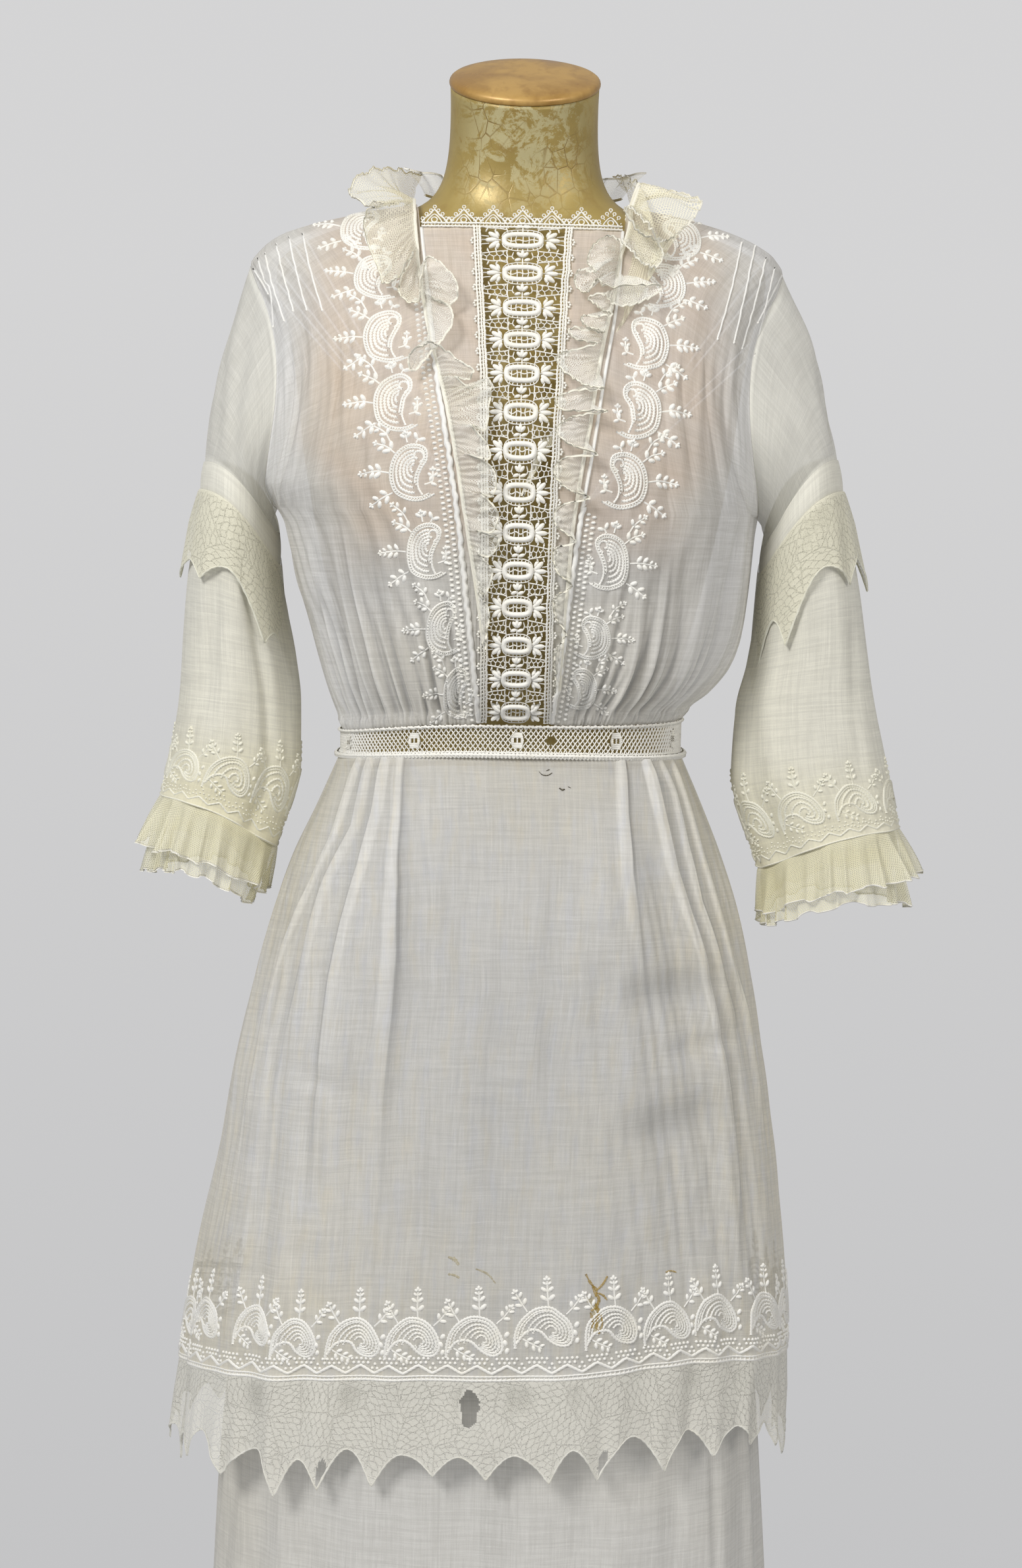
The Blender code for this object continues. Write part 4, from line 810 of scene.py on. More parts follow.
class Skin:
    """A fine cloth surface that threads can be laid on."""

    def __init__(self, P, faces):
        self.tree = BVHTree.FromPolygons(P.reshape(-1, 3).tolist(), faces.tolist())

    def cast(self, starts, ways):
        out, nrm, ok = [], [], []
        for a, w in zip(starts, ways):
            hit = self.tree.ray_cast(Vector(a), Vector(w))
            if hit[0] is None:
                near = self.tree.find_nearest(Vector(a) + Vector(w) * 0.45)
                hit = near
                ok.append(False)
            else:
                ok.append(True)
            n = Vector(hit[1])
            if n.dot(Vector(w)) > 0:
                n = -n
            out.append(tuple(hit[0]))
            nrm.append(tuple(n))
        return np.array(out), np.array(nrm), np.array(ok)

    def front(self, xz):
        xz = np.asarray(xz, float)
        starts = np.stack([xz[:, 0], np.full(len(xz), -0.6), xz[:, 1]], -1)
        return self.cast(starts, np.tile([0, 1, 0], (len(xz), 1)))

    def pixels(self, px):
        px = np.asarray(px, float)
        return self.cast(np.tile(EYE, (len(px), 1)), np.array([sight(a, b) for a, b in px]))

    def inward(self, points, outward, reach=0.03):
        points, outward = np.asarray(points, float), unit(outward)
        return self.cast(points + outward * reach, -outward)


def grid(name, P, material, slot, nodes=(), closed=False, flip=False, keep=None, marks=None, uv=None):
    n, m = P.shape[:2]
    idx = np.arange(n * m).reshape(n, m)
    uv = lay_uv(P, closed) if uv is None else uv
    if closed:
        nxt = np.roll(idx, -1, axis=1)
        corners = [idx[:-1], nxt[:-1], nxt[1:], idx[1:]]
    else:
        corners = [idx[:-1, :-1], idx[:-1, 1:], idx[1:, 1:], idx[1:, :-1]]
    uvs = [uv[:-1, :-1], uv[:-1, 1:], uv[1:, 1:], uv[1:, :-1]]
    if flip:
        corners, uvs = corners[::-1], uvs[::-1]
    faces = np.stack(corners, -1).reshape(-1, 4)
    face_uv = np.stack(uvs, -2).reshape(-1, 4, 2)
    marks = {k: np.broadcast_to(v, (n, m)).reshape(-1) for k, v in (marks or {}).items()}
    verts = P.reshape(-1, 3)
    if keep is not None:
        k = keep.reshape(-1)
        faces, face_uv = faces[k], face_uv[k]
        used = np.unique(faces)
        back = np.full(n * m, -1)
        back[used] = np.arange(len(used))
        faces, verts = back[faces], verts[used]
        marks = {a: b[used] for a, b in marks.items()}
    ob = put(name, verts, faces, material, slot, nodes, face_uv, marks)
    return ob, Skin(verts, faces)


class Stitches:
    """Gathers threads, leaves and knots laid on a surface into one mesh."""

    def __init__(self):
        self.v, self.f, self.n = [], [], 0

    def add(self, verts, faces):
        self.v.append(np.asarray(verts, float))
        self.f += [tuple(int(i) + self.n for i in f) for f in faces]
        self.n += len(verts)

    def line(self, P, N, width, height, closed=False, sides=3, sink=0.0002):
        """A raised thread along points P with surface normals N. width and height may vary along it."""
        P, N = np.asarray(P, float), unit(N)
        k = len(P)
        if k < 2:
            return
        if closed:
            t = np.roll(P, -1, axis=0) - np.roll(P, 1, axis=0)
        else:
            t = np.gradient(P, axis=0)
        c = unit(np.cross(N, unit(t)))
        width = np.broadcast_to(width, k)[:, None] / 2
        height = np.broadcast_to(height, k)[:, None]
        if sides == 3:
            ring = [P + c * width - N * sink, P + N * height, P - c * width - N * sink]
        else:
            ring = [P + c * width - N * sink, P + c * width * 0.62 + N * height * 0.78, P + N * height,
                    P - c * width * 0.62 + N * height * 0.78, P - c * width - N * sink]
        m = len(ring)
        V = np.stack(ring, 1).reshape(-1, 3)
        F = []
        for i in range(k if closed else k - 1):
            j = (i + 1) % k
            for s in range(m - 1):
                F.append((i * m + s, i * m + s + 1, j * m + s + 1, j * m + s))
        if not closed:
            F.append(tuple(range(m)))
            F.append(tuple((k - 1) * m + s for s in reversed(range(m))))
        self.add(V, F)

    def dome(self, centre, normal, along, a, b, height, steps=8):
        """A satin-stitch leaf or knot: an oval dome, a along and b across."""
        n = unit(normal)
        t = unit(np.asarray(along) - n * np.dot(along, n))
        c = np.cross(n, t)
        w = np.arange(steps) * 2 * np.pi / steps
        rim = np.array([centre + t * a * math.cos(x) + c * b * math.sin(x) - n * 0.0002 for x in w])
        mid = np.array([centre + t * a * 0.62 * math.cos(x) + c * b * 0.62 * math.sin(x) + n * height * 0.75 for x in w])
        V = np.concatenate([rim, mid, [centre + n * height]])
        F = []
        for i in range(steps):
            j = (i + 1) % steps
            F.append((i, j, steps + j, steps + i))
            F.append((steps + i, steps + j, 2 * steps))
        self.add(V, F)

    def build(self, name, material, slot, nodes=()):
        return put(name, np.concatenate(self.v), self.f, material, slot, nodes)


def smooth_path(points, step, closed=False):
    """Points along a smooth curve through the given ones, about a step apart."""
    p = np.asarray(points, float)
    if closed:
        p = np.concatenate([p[-1:], p, p[:2]])
    else:
        p = np.concatenate([[2 * p[0] - p[1]], p, [2 * p[-1] - p[-2]]])
    out = []
    for i in range(1, len(p) - 2):
        n = max(1, int(round(np.linalg.norm(p[i + 1] - p[i]) / step)))
        for k in range(n):
            s = k / n
            out.append(0.5 * (2 * p[i] + (p[i + 1] - p[i - 1]) * s + (2 * p[i - 1] - 5 * p[i] + 4 * p[i + 1] - p[i + 2]) * s * s
                              + (3 * p[i] - p[i - 1] - 3 * p[i + 1] + p[i + 2]) * s**3))
    if not closed:
        out.append(p[-2])
    return np.array(out)


# ---------------------------------------------------------------- the dress form and its stand
def neck_ring(z, n):
    half, deep, mid, share = (NECK(i, z) for i in (1, 2, 3, 4))
    tilt = CAP_TILT * share
    a = 2 * np.pi * np.arange(n) / n
    x, y = half * np.sin(a), -deep * np.cos(a)
    return np.stack([x, mid + y * math.cos(tilt), z + y * math.sin(tilt)], -1)


def build_form():
    n, e = 96, 2 / 2.15
    a = 2 * np.pi * np.arange(n) / n
    s, c = np.sin(a), np.cos(a)
    shape_x, shape_y = np.sign(s) * abs(s) ** e, np.sign(c) * abs(c) ** e
    rings = []
    for z in np.concatenate([spread(0.740, 1.34, 60), spread(1.344, 1.446, 34)]):
        half, front, back = (FORM(i, z) for i in (1, 2, 3))
        rings.append(np.stack([half * shape_x, MID_Y - np.where(c > 0, front, back) * shape_y, np.full(n, z)], -1))
    low, high = rings[-1], neck_ring(1.4600, n)
    rings += [low + (high - low) * k for k in (0.25, 0.5, 0.75)]
    rings += [neck_ring(z, n) for z in spread(1.4600, 1.5085, 14)]
    P = np.array(rings)
    # soften the rings lengthwise, so no row of the table shows
    for _ in range(6):
        P[1:-1] = P[1:-1] * 0.5 + (P[:-2] + P[2:]) * 0.25
    verts = P.reshape(-1, 3)
    rows = len(P)
    idx = np.arange(rows * n).reshape(rows, n)
    nxt = np.roll(idx, -1, axis=1)
    faces = [tuple(f) for f in np.stack([idx[:-1], nxt[:-1], nxt[1:], idx[1:]], -1).reshape(-1, 4).tolist()]
    mid = P[0].mean(axis=0)
    inner = [mid + (P[0] - mid) * k for k in (0.96, 0.6, 0.25)]
    inner[0][:, 2] -= 0.002
    for r in inner[1:]:
        r[:, 2] -= 0.003
    base = rows * n
    verts = np.concatenate([verts] + inner)
    prev = idx[0]
    for k in range(3):
        cur = base + k * n + np.arange(n)
        faces += [tuple(f) for f in np.stack([prev, cur, np.roll(cur, -1), np.roll(prev, -1)], -1).tolist()]
        prev = cur
    faces.append(tuple(prev.tolist()[::-1]))
    faces.append(tuple(idx[-1].tolist()))
    put("dress_form", verts, faces, "form_gold", "form_gold", ["form_torso"])
    # lacquered disc
    half, deep, mid_y = float(NECK(1, 1.5085)), float(NECK(2, 1.5085)), float(NECK(3, 1.5085))
    up = np.array([0, -math.sin(CAP_TILT), math.cos(CAP_TILT)])
    along = np.array([0, math.cos(CAP_TILT), math.sin(CAP_TILT)])
    centre = np.array([0, mid_y, 1.5085]) + up * 0.0003
    dome = [(0.985, -0.0002), (1.000, 0.0001), (1.010, 0.0007), (1.016, 0.0016), (1.017, 0.0025), (1.012, 0.0036), (1.000, 0.0046),
            (0.975, 0.0056), (0.93, 0.0064), (0.86, 0.0073), (0.76, 0.0082), (0.62, 0.0091), (0.45, 0.0098), (0.25, 0.0102), (0.08, 0.0103)]
    rings = [centre + up * h + np.outer(half * k * s, [1, 0, 0]) - np.outer(deep * k * c, along) for k, h in dome]
    m = len(rings)
    idx = np.arange(m * n).reshape(m, n)
    nxt = np.roll(idx, -1, axis=1)
    faces = [tuple(f) for f in np.stack([idx[:-1], nxt[:-1], nxt[1:], idx[1:]], -1).reshape(-1, 4).tolist()]
    faces += [tuple(idx[-1].tolist()), tuple(idx[0].tolist()[::-1])]
    put("neck_disc", np.concatenate(rings), faces, "cap_lacquer", "cap_lacquer", ["form_neck_cap"])


def dress_stand():
    for node in ("stand_base", "stand_pole", "stand_collar"):
        ob = frame["nodes"][node] if isinstance(frame["nodes"], dict) else bpy.data.objects[node]
        ob.data.materials.clear()
        ob.data.materials.append(MATERIAL["enamel"])
        for slot in ob.material_slots:
            slot.material = MATERIAL["enamel"]


# ---------------------------------------------------------------- bodice
SKINS = {}


def warmth(P):
    """How much of the form's warm colour comes through where the cloth lies on the chest."""
    x, y, z = P[..., 0], P[..., 1], P[..., 2]
    reach = 0.150 - 0.030 * ramp(1.26, 1.20, z)
    w = ramp(1.165, 1.215, z + 0.10 * np.abs(x)) * ramp(reach + 0.012, reach - 0.030, np.abs(x + 0.003)) * (y < 0.02)
    return 0.52 * w * (1 - 0.35 * ramp(1.385, 1.42, z)) * (0.85 + 0.15 * hum(x * 9 + z * 13, 30))


def bodice_depth(u, h, seed, count, side_fade):
    """Inward depth of the gathers over a panel: u across, h height above the waist."""
    d = valleys(u, h, int(count * 2.7), seed + 5, 0.0016, (0.012, 0.040), lean=0.2, power=1.0)
    d = d + valleys(u, h, int(count * 1.45), seed, 0.0036, (0.030, 0.095), lean=0.5, power=1.15)
    d = d + valleys(u, h, int(count * 0.85), seed + 1, 0.0056, (0.060, 0.155), lean=0.4, power=1.2)
    d = d + valleys(u, h, int(count * 0.45), seed + 2, 0.0068, (0.100, 0.215), lean=0.3, share=0.9, power=1.25)
    return d * (0.22 + 0.78 * ramp(0.0, 0.012, h)) * np.minimum(1.0, side_fade * np.minimum(u, 1 - u))


def panel(frame_of, side, nv, nu, seed, count, tucks):
    v = spread(0, 1, nv)
    ends = [frame_of(k, side) for k in v]
    a0, z0 = np.array([e[0] for e in ends]).T
    a1, z1 = np.array([e[1] for e in ends], dtype=float).T
    u = spread(0, 1, nu)
    A = a0[:, None] + (a1 - a0)[:, None] * u
    Z = z0[:, None] + (z1 - z0)[:, None] * u
    H = Z - WAIST_TOP
    U = np.broadcast_to(u, A.shape)
    out = -bodice_depth(U, H, seed, count, 14.0)
    # soft fullness let out below the shoulder tucks, and slack across the chest
    edge = np.minimum(1.0, 9 * np.minimum(U, 1 - U))
    low = ramp(1.17, 1.235, Z) * (1 - ramp(1.30, 1.345, Z))
    out -= valleys(U, np.abs(Z - 1.24) * 0.5, 7, seed + 7, 0.0030, (0.05, 0.09), lean=0.6) * low * tucks * edge
    out += 0.0016 * hum(U * 1.7 + Z * 3.0, seed + 9) * edge * ramp(1.07, 1.13, Z) * (1 - ramp(1.34, 1.40, Z))
    out += 0.0009 * hum(U * 5.0 - Z * 7.0, seed + 11) * edge * ramp(1.09, 1.16, Z) * (1 - ramp(1.34, 1.40, Z))
    # puckers where the gathers are sewn to the waistband
    pucker = np.minimum(1.0, 30 * np.minimum(U, 1 - U))
    out += 0.0024 * np.exp(-((H - 0.0045) / 0.0032) ** 2) * (0.35 + 0.65 * hum(U * 36, seed + 15)) * pucker
    P = body(A, Z, out)
    P[..., 2] -= 0.0024 * ramp(0.007, 0.0, H) * (0.5 + 0.5 * hum(U * 30, seed + 16)) * pucker
    P[:, 0, 0] += side * GAP / 2
    return P, U, Z


def build_bodice():
    for side, tag in ((-1, "left"), (1, "right")):
        P, U, Z = panel(front_frame, side, 132, 204, 21 + side, 17, 1.0)
        P[-1, :, 1] -= GAP * 1.5
        turn_row = int(round((LOW + (1 - LOW) * SHARE) * 131))
        for _ in range(60):
            a, b = turn_row - 12, turn_row + 12
            P[a:b, 1:] = P[a:b, 1:] * 0.5 + (P[a - 1:b - 1, 1:] + P[a + 1:b + 1, 1:]) * 0.25
        # doubled cloth: side and armhole seam, shoulder seam, the gathered edge at the waist
        dense = np.maximum(ramp(0.972, 0.984, U), ramp(0.0085, 0.0035, Z - WAIST_TOP + 0.0 * U)) * 0.75
        dense[-4:] = 0.8
        dense = np.maximum(dense, 0.50 * ramp(0.13, 0.0, Z - WAIST_TOP))
        # painted light on the gathers: each crest gets more cover, a painted highlight, and each valley is darkened, a
        # painted shade
        folds = bodice_depth(U, Z - WAIST_TOP, 21 + side, 17, 14.0)
        low = ramp(0.215, 0.015, Z - WAIST_TOP)
        grey = 0.0
        for passes, size, light, valley_shade in ((5, 0.0006, 0.85, 0.20), (26, 0.0018, 0.75, 0.24)):
            blur = folds.copy()
            for _ in range(passes):
                blur[:, 1:-1] = blur[:, 1:-1] * 0.4 + (blur[:, :-2] + blur[:, 2:]) * 0.3
            relief = (folds - blur) / size
            dense = np.maximum(dense, np.clip(-relief, 0, 1) * light * low)
            grey = grey + np.clip(relief, 0, 1.4) * valley_shade * low
        # painted shadow under the bust, on both sides of the front
        grey = grey + 0.22 * np.exp(-(((np.abs(P[..., 0] + side * 0.004) - 0.098) / 0.030) ** 2 + ((Z - 1.172) / 0.024) ** 2))
        aged = 0.25 * ramp(1.36, 1.41, Z) * ramp(0.5, 0.9, U)
        ob, skin = grid(f"bodice_front_{tag}_cloth", P, "lawn_white", "lawn_white", [f"bodice_front_{tag}"], flip=side > 0,
                        marks={"dense": dense, "grey": grey, "aged": aged, "soil": 0.0, "warm": warmth(P)})
        SKINS[f"front_{tag}"] = skin
        P, U, Z = panel(back_frame, side, 92, 96, 51 + side, 15, 0.8)
        dense = np.maximum(ramp(0.972, 0.984, U), ramp(0.0085, 0.0035, Z - WAIST_TOP + 0.0 * U)) * 0.75
        dense = np.maximum(dense, ramp(0.05, 0.03, U) * 0.8)
        dense[-4:] = 0.8
        ob, skin = grid(f"bodice_back_{tag}_cloth", P, "lawn_white", "lawn_white", [f"bodice_back_{tag}"], flip=side < 0,
                        marks={"dense": dense, "grey": 0.0, "aged": 0.1, "soil": 0.0})
        SKINS[f"back_{tag}"] = skin
        # plain inset between the lace and the embroidered front
        rows, marks = [], []
        for z in spread(1.0600, NECK_FRONT, 110):
            x0 = float(FRONT_LINES(2 if side > 0 else 1, z)) + side * GAP / 2
            x1 = float(FRONT_LINES(4 if side > 0 else 3, z)) - side * GAP / 2
            x = spread(x0, x1, 18)
            k = spread(0, 1, 18)
            bow = 0.0006 * np.sin(k * np.pi) * hum(z * 14 + k * 1.4, 5 + side)
            rows.append(on_body(x, np.full(18, z), bow))
        P = np.array(rows)
        ob, skin = grid(f"inset_{tag}_cloth", P, "lawn_white", "lawn_white", [f"inset_{tag}"], flip=side > 0,
                        marks={"dense": 0.0, "grey": 0.0, "aged": 0.0, "soil": 0.0, "warm": warmth(P)})
        SKINS[f"inset_{tag}"] = skin


# ---------------------------------------------------------------- sleeves
def build_sleeves():
    for tag, (side, table, top, band, end) in SLEEVES.items():
        n = 140
        turn = 360.0 * np.arange(n) / n
        t = np.radians(turn)
        # upper sleeve
        A, Z = armhole(turn, side)
        start = body(A, Z)
        away = unit(body(A, Z, 0.01) - start)
        last = tube(table, side, np.full(n, top - 0.0012), turn)
        rows = []
        ks = spread(0, 1, 46)
        for k in ks:
            p = (start + np.array([side, 0, 0]) * GAP * 0.3) * (1 - k) + last * k
            bow = 4 * k * (1 - k)
            p = p + np.outer(0.0050 * bow * (0.5 + 0.5 * np.cos(t)), [side, 0, 0])
            p = p + away * (0.0030 * bow * np.abs(np.sin(t)))[:, None]
            p = p + np.outer(0.0030 * bow * np.maximum(0.0, -np.cos(t)), [side, 0, 0])
            # slack: a few soft drags from the shoulder to the band, none at the seams
            slack = 0.0020 * bow * (hum(turn / 360 * 2 + k * 0.5, 31 + side) + 0.5 * hum(turn / 360 * 5 - k * 0.9, 33 + side))
            slack = slack * (0.35 + 0.65 * np.abs(np.cos(t * 0.5)))
            p = p + np.stack([side * np.cos(t), -np.sin(t), 0 * t], -1) * slack[:, None]
            rows.append(p)
        P = np.array(rows)
        K = ks[:, None] * np.ones(n)
        dense = np.maximum(ramp(0.045, 0.02, K), ramp(0.955, 0.98, K)) * 0.8
        inner = (0.5 - 0.5 * np.cos(t))[None, :] * np.ones((46, 1))
        # painted shade on the inner side of the upper sleeve toward the armpit; aged adds an even age there, and more
        # yellow on the inner side as a painted yellow shade
        ob, skin = grid(f"sleeve_upper_{tag}_cloth", P, "lawn_sleeve", "lawn_cream", [f"sleeve_upper_{tag}"], closed=True,
                        flip=side > 0, marks={"dense": dense, "grey": 0.14 * inner * ramp(0.35, 0.9, K), "aged": 0.10 + 0.25 * inner, "soil": 0.0})
        SKINS[f"upper_{tag}"] = skin
        # folded band
        rows = []
        for k in spread(0, 1, 14):
            z = top + (band - top) * k
            puff = 0.0008 * math.sin(math.pi * k) + 0.0006
            rows.append(tube(table, side, np.full(n, z), turn, puff + 0.0003 * hum(turn / 360 * 6, 12)))
        ob, skin = grid(f"sleeve_band_{tag}_cloth", np.array(rows), "lawn_cream", "lawn_cream", [f"sleeve_band_{tag}"],
                        closed=True, flip=side > 0, marks={"dense": 0.72, "grey": 0.0, "aged": 0.15, "soil": 0.0})
        SKINS[f"band_{tag}"] = skin
        # lower sleeve
        rows = []
        zs = spread(band + 0.0010, end, 76)
        for z in zs:
            k = (zs[0] - z) / (zs[0] - end)
            out = 0.0016 * hum(turn / 360 * 4 + k * 0.4, 41 + side) * ramp(0, 0.15, k)
            # long creases, two of them on the front: the deeper one runs down to the cuff
            for place, deep, wide, a, b in CREASES[tag]:
                d = (turn - place - 10 * math.sin(3 * k + place) + 180) % 360 - 180
                out = out - deep * np.exp(-(d / wide) ** 2) * ramp(a, a + 0.12, k) * (1 - ramp(b - 0.2, b, k))
            rows.append(tube(table, side, np.full(n, z), turn, out))
        P = np.array(rows)
        K = ((zs[0] - zs) / (zs[0] - end))[:, None] * np.ones(n)
        inner = (0.5 - 0.5 * np.cos(t))[None, :] * np.ones((76, 1))
        front = np.maximum(0, np.sin(t))[None, :] * np.ones((76, 1))
        dense = np.maximum(ramp(0.972, 0.988, K) * 0.9, ramp(0.02, 0.008, K) * 0.7)
        # aged: an even age, yellowing toward the cuff, and more yellow on the inner side as a painted yellow shade
        ob, skin = grid(f"sleeve_lower_{tag}_cloth", P, "lawn_cream", "lawn_cream", [f"sleeve_lower_{tag}"], closed=True,
                        flip=side > 0, marks={"dense": dense, "grey": 0.0, "aged": 0.10 + 0.30 * inner * (0.4 + 0.6 * K) + 0.40 * ramp(0.72, 0.98, K), "soil": 0.0})
        SKINS[f"lower_{tag}"] = skin


CREASES = {
    # turn, depth, width in degrees, from and to along the sleeve
    "left": [(118, 0.0042, 7, 0.05, 1.10), (64, 0.0020, 9, 0.15, 0.75), (285, 0.0035, 9, 0.05, 1.0), (225, 0.002, 8, 0.3, 0.9)],
    "right": [(60, 0.0018, 8, 0.35, 1.0), (128, 0.0022, 9, 0.05, 0.8), (290, 0.0035, 9, 0.05, 1.0), (240, 0.002, 8, 0.3, 0.9)],
}


# ---------------------------------------------------------------- skirts
def line_angles(points, f_of, levels):
    """A fold line drawn on the tunic, as its angle at each level f."""
    p = np.array(points)
    return np.interp(levels, f_of(p), p[:, 0])


FRONT_PLEATS = [
    # points down each fold as (x, height), which side its crisp edge faces, width, height, cover, where it fades (f from, to)
    ([(-0.1120, 1.032), (-0.1290, 0.975), (-0.1480, 0.930), (-0.1660, 0.880), (-0.1830, 0.800), (-0.1950, 0.730), (-0.2030, 0.600)],
     -1, 0.008, 0.0030, 0.55, 0.35, 1.0),
    ([(-0.1040, 1.034), (-0.1130, 0.985), (-0.1310, 0.945), (-0.1420, 0.905), (-0.1560, 0.840), (-0.1660, 0.760), (-0.1760, 0.600)],
     -1, 0.009, 0.0022, 0.40, 0.20, 0.75),
    ([(-0.0925, 1.036), (-0.0975, 0.998), (-0.1060, 0.960), (-0.1170, 0.920), (-0.1250, 0.880), (-0.1310, 0.800), (-0.1370, 0.600)],
     -1, 0.0085, 0.0026, 0.60, 0.30, 0.85),
    ([(-0.0765, 1.037), (-0.0770, 0.990), (-0.0770, 0.950), (-0.0775, 0.900), (-0.0800, 0.860), (-0.0850, 0.800), (-0.0930, 0.600)],
     1, 0.0085, 0.0026, 0.65, 0.22, 0.95),
    ([(0.0300, 1.039), (0.0320, 0.900), (0.0330, 0.880), (0.0300, 0.840), (0.0280, 0.780), (0.0240, 0.600)],
     1, 0.0130, 0.0000, 0.00, 0.2, 0.8),
    ([(0.0800, 1.040), (0.0820, 0.998), (0.0845, 0.960), (0.0905, 0.920), (0.0930, 0.900), (0.0970, 0.840), (0.1010, 0.760), (0.1020, 0.600)],
     1, 0.0080, 0.0026, 0.60, 0.14, 0.50),
    ([(0.0975, 1.041), (0.1080, 1.000), (0.1180, 0.960), (0.1290, 0.928), (0.1420, 0.892), (0.1490, 0.855), (0.1600, 0.800), (0.1660, 0.740), (0.1660, 0.600)],
     1, 0.0100, 0.0044, 0.70, 0.50, 0.95),
    ([(0.1060, 1.041), (0.1180, 1.012), (0.1270, 0.975), (0.1380, 0.935), (0.1510, 0.895), (0.1620, 0.855), (0.1720, 0.800), (0.1790, 0.740), (0.1800, 0.600)],
     1, 0.0060, 0.0022, 0.45, 0.25, 0.70),
    ([(0.1150, 1.041), (0.1260, 1.008), (0.1380, 0.970), (0.1510, 0.930), (0.1620, 0.890), (0.1730, 0.850), (0.1840, 0.790), (0.1900, 0.730), (0.1900, 0.600)],
     1, 0.0060, 0.0028, 0.50, 0.35, 0.85),
]


def angle_on(table, z, x, power):
    half = table(2 if x > 0 else 1, z)
    k = min(0.9999, abs(x) / float(half))
    return math.copysign(math.degrees(math.asin(k ** (power / 2))), x)


def skirt_grid(levels, guides, extra, per):
    """Columns that run along the guides: guides is a list of arrays of angles, one value for each level.

    Returns angles (rows, cols) and, for each column, its place between the guides."""
    place = []
    for k in range(len(guides) - 1):
        wide = abs(guides[k + 1][len(levels) // 2] - guides[k][len(levels) // 2])
        count = max(3, int(round(wide / per)))
        place += list(k + np.arange(count) / count)
        if 0 < k:
            place += [k + e for e in extra] + [k - e for e in extra]
    place.append(len(guides) - 1.0)
    place = np.array(sorted(set(np.round(place, 5).tolist())))
    place = place[(place >= 0) & (place <= len(guides) - 1)]
    i = np.minimum(place.astype(int), len(guides) - 2)
    w = place - i
    G = np.array(guides)
    return (G[i] * (1 - w)[:, None] + G[i + 1] * w[:, None]).T, place


HEM_OUT = {}
TUNIC_DRAGS = [  # from and to in the photograph, width there, depth, shade
    (930, 1508, 1104, 1480, 27, 0.0030, 0.33), (934, 1722, 1110, 1668, 30, 0.0032, 0.34), (1000, 1600, 1120, 1560, 13, 0.0018, 0.08),
    (430, 1610, 560, 1660, 18, 0.0020, 0.05), (690, 1330, 700, 1560, 16, 0.0016, 0.05), (850, 1280, 835, 1720, 15, 0.0022, 0.06),
    (760, 1420, 745, 1900, 17, 0.0022, 0.07), (930, 1430, 905, 1640, 16, 0.0020, 0.06), (560, 1500, 530, 1860, 18, 0.0020, 0.05),
    (1060, 1800, 1075, 1940, 16, 0.0018, 0.07), (640, 1740, 650, 1930, 16, 0.0016, 0.05),
]


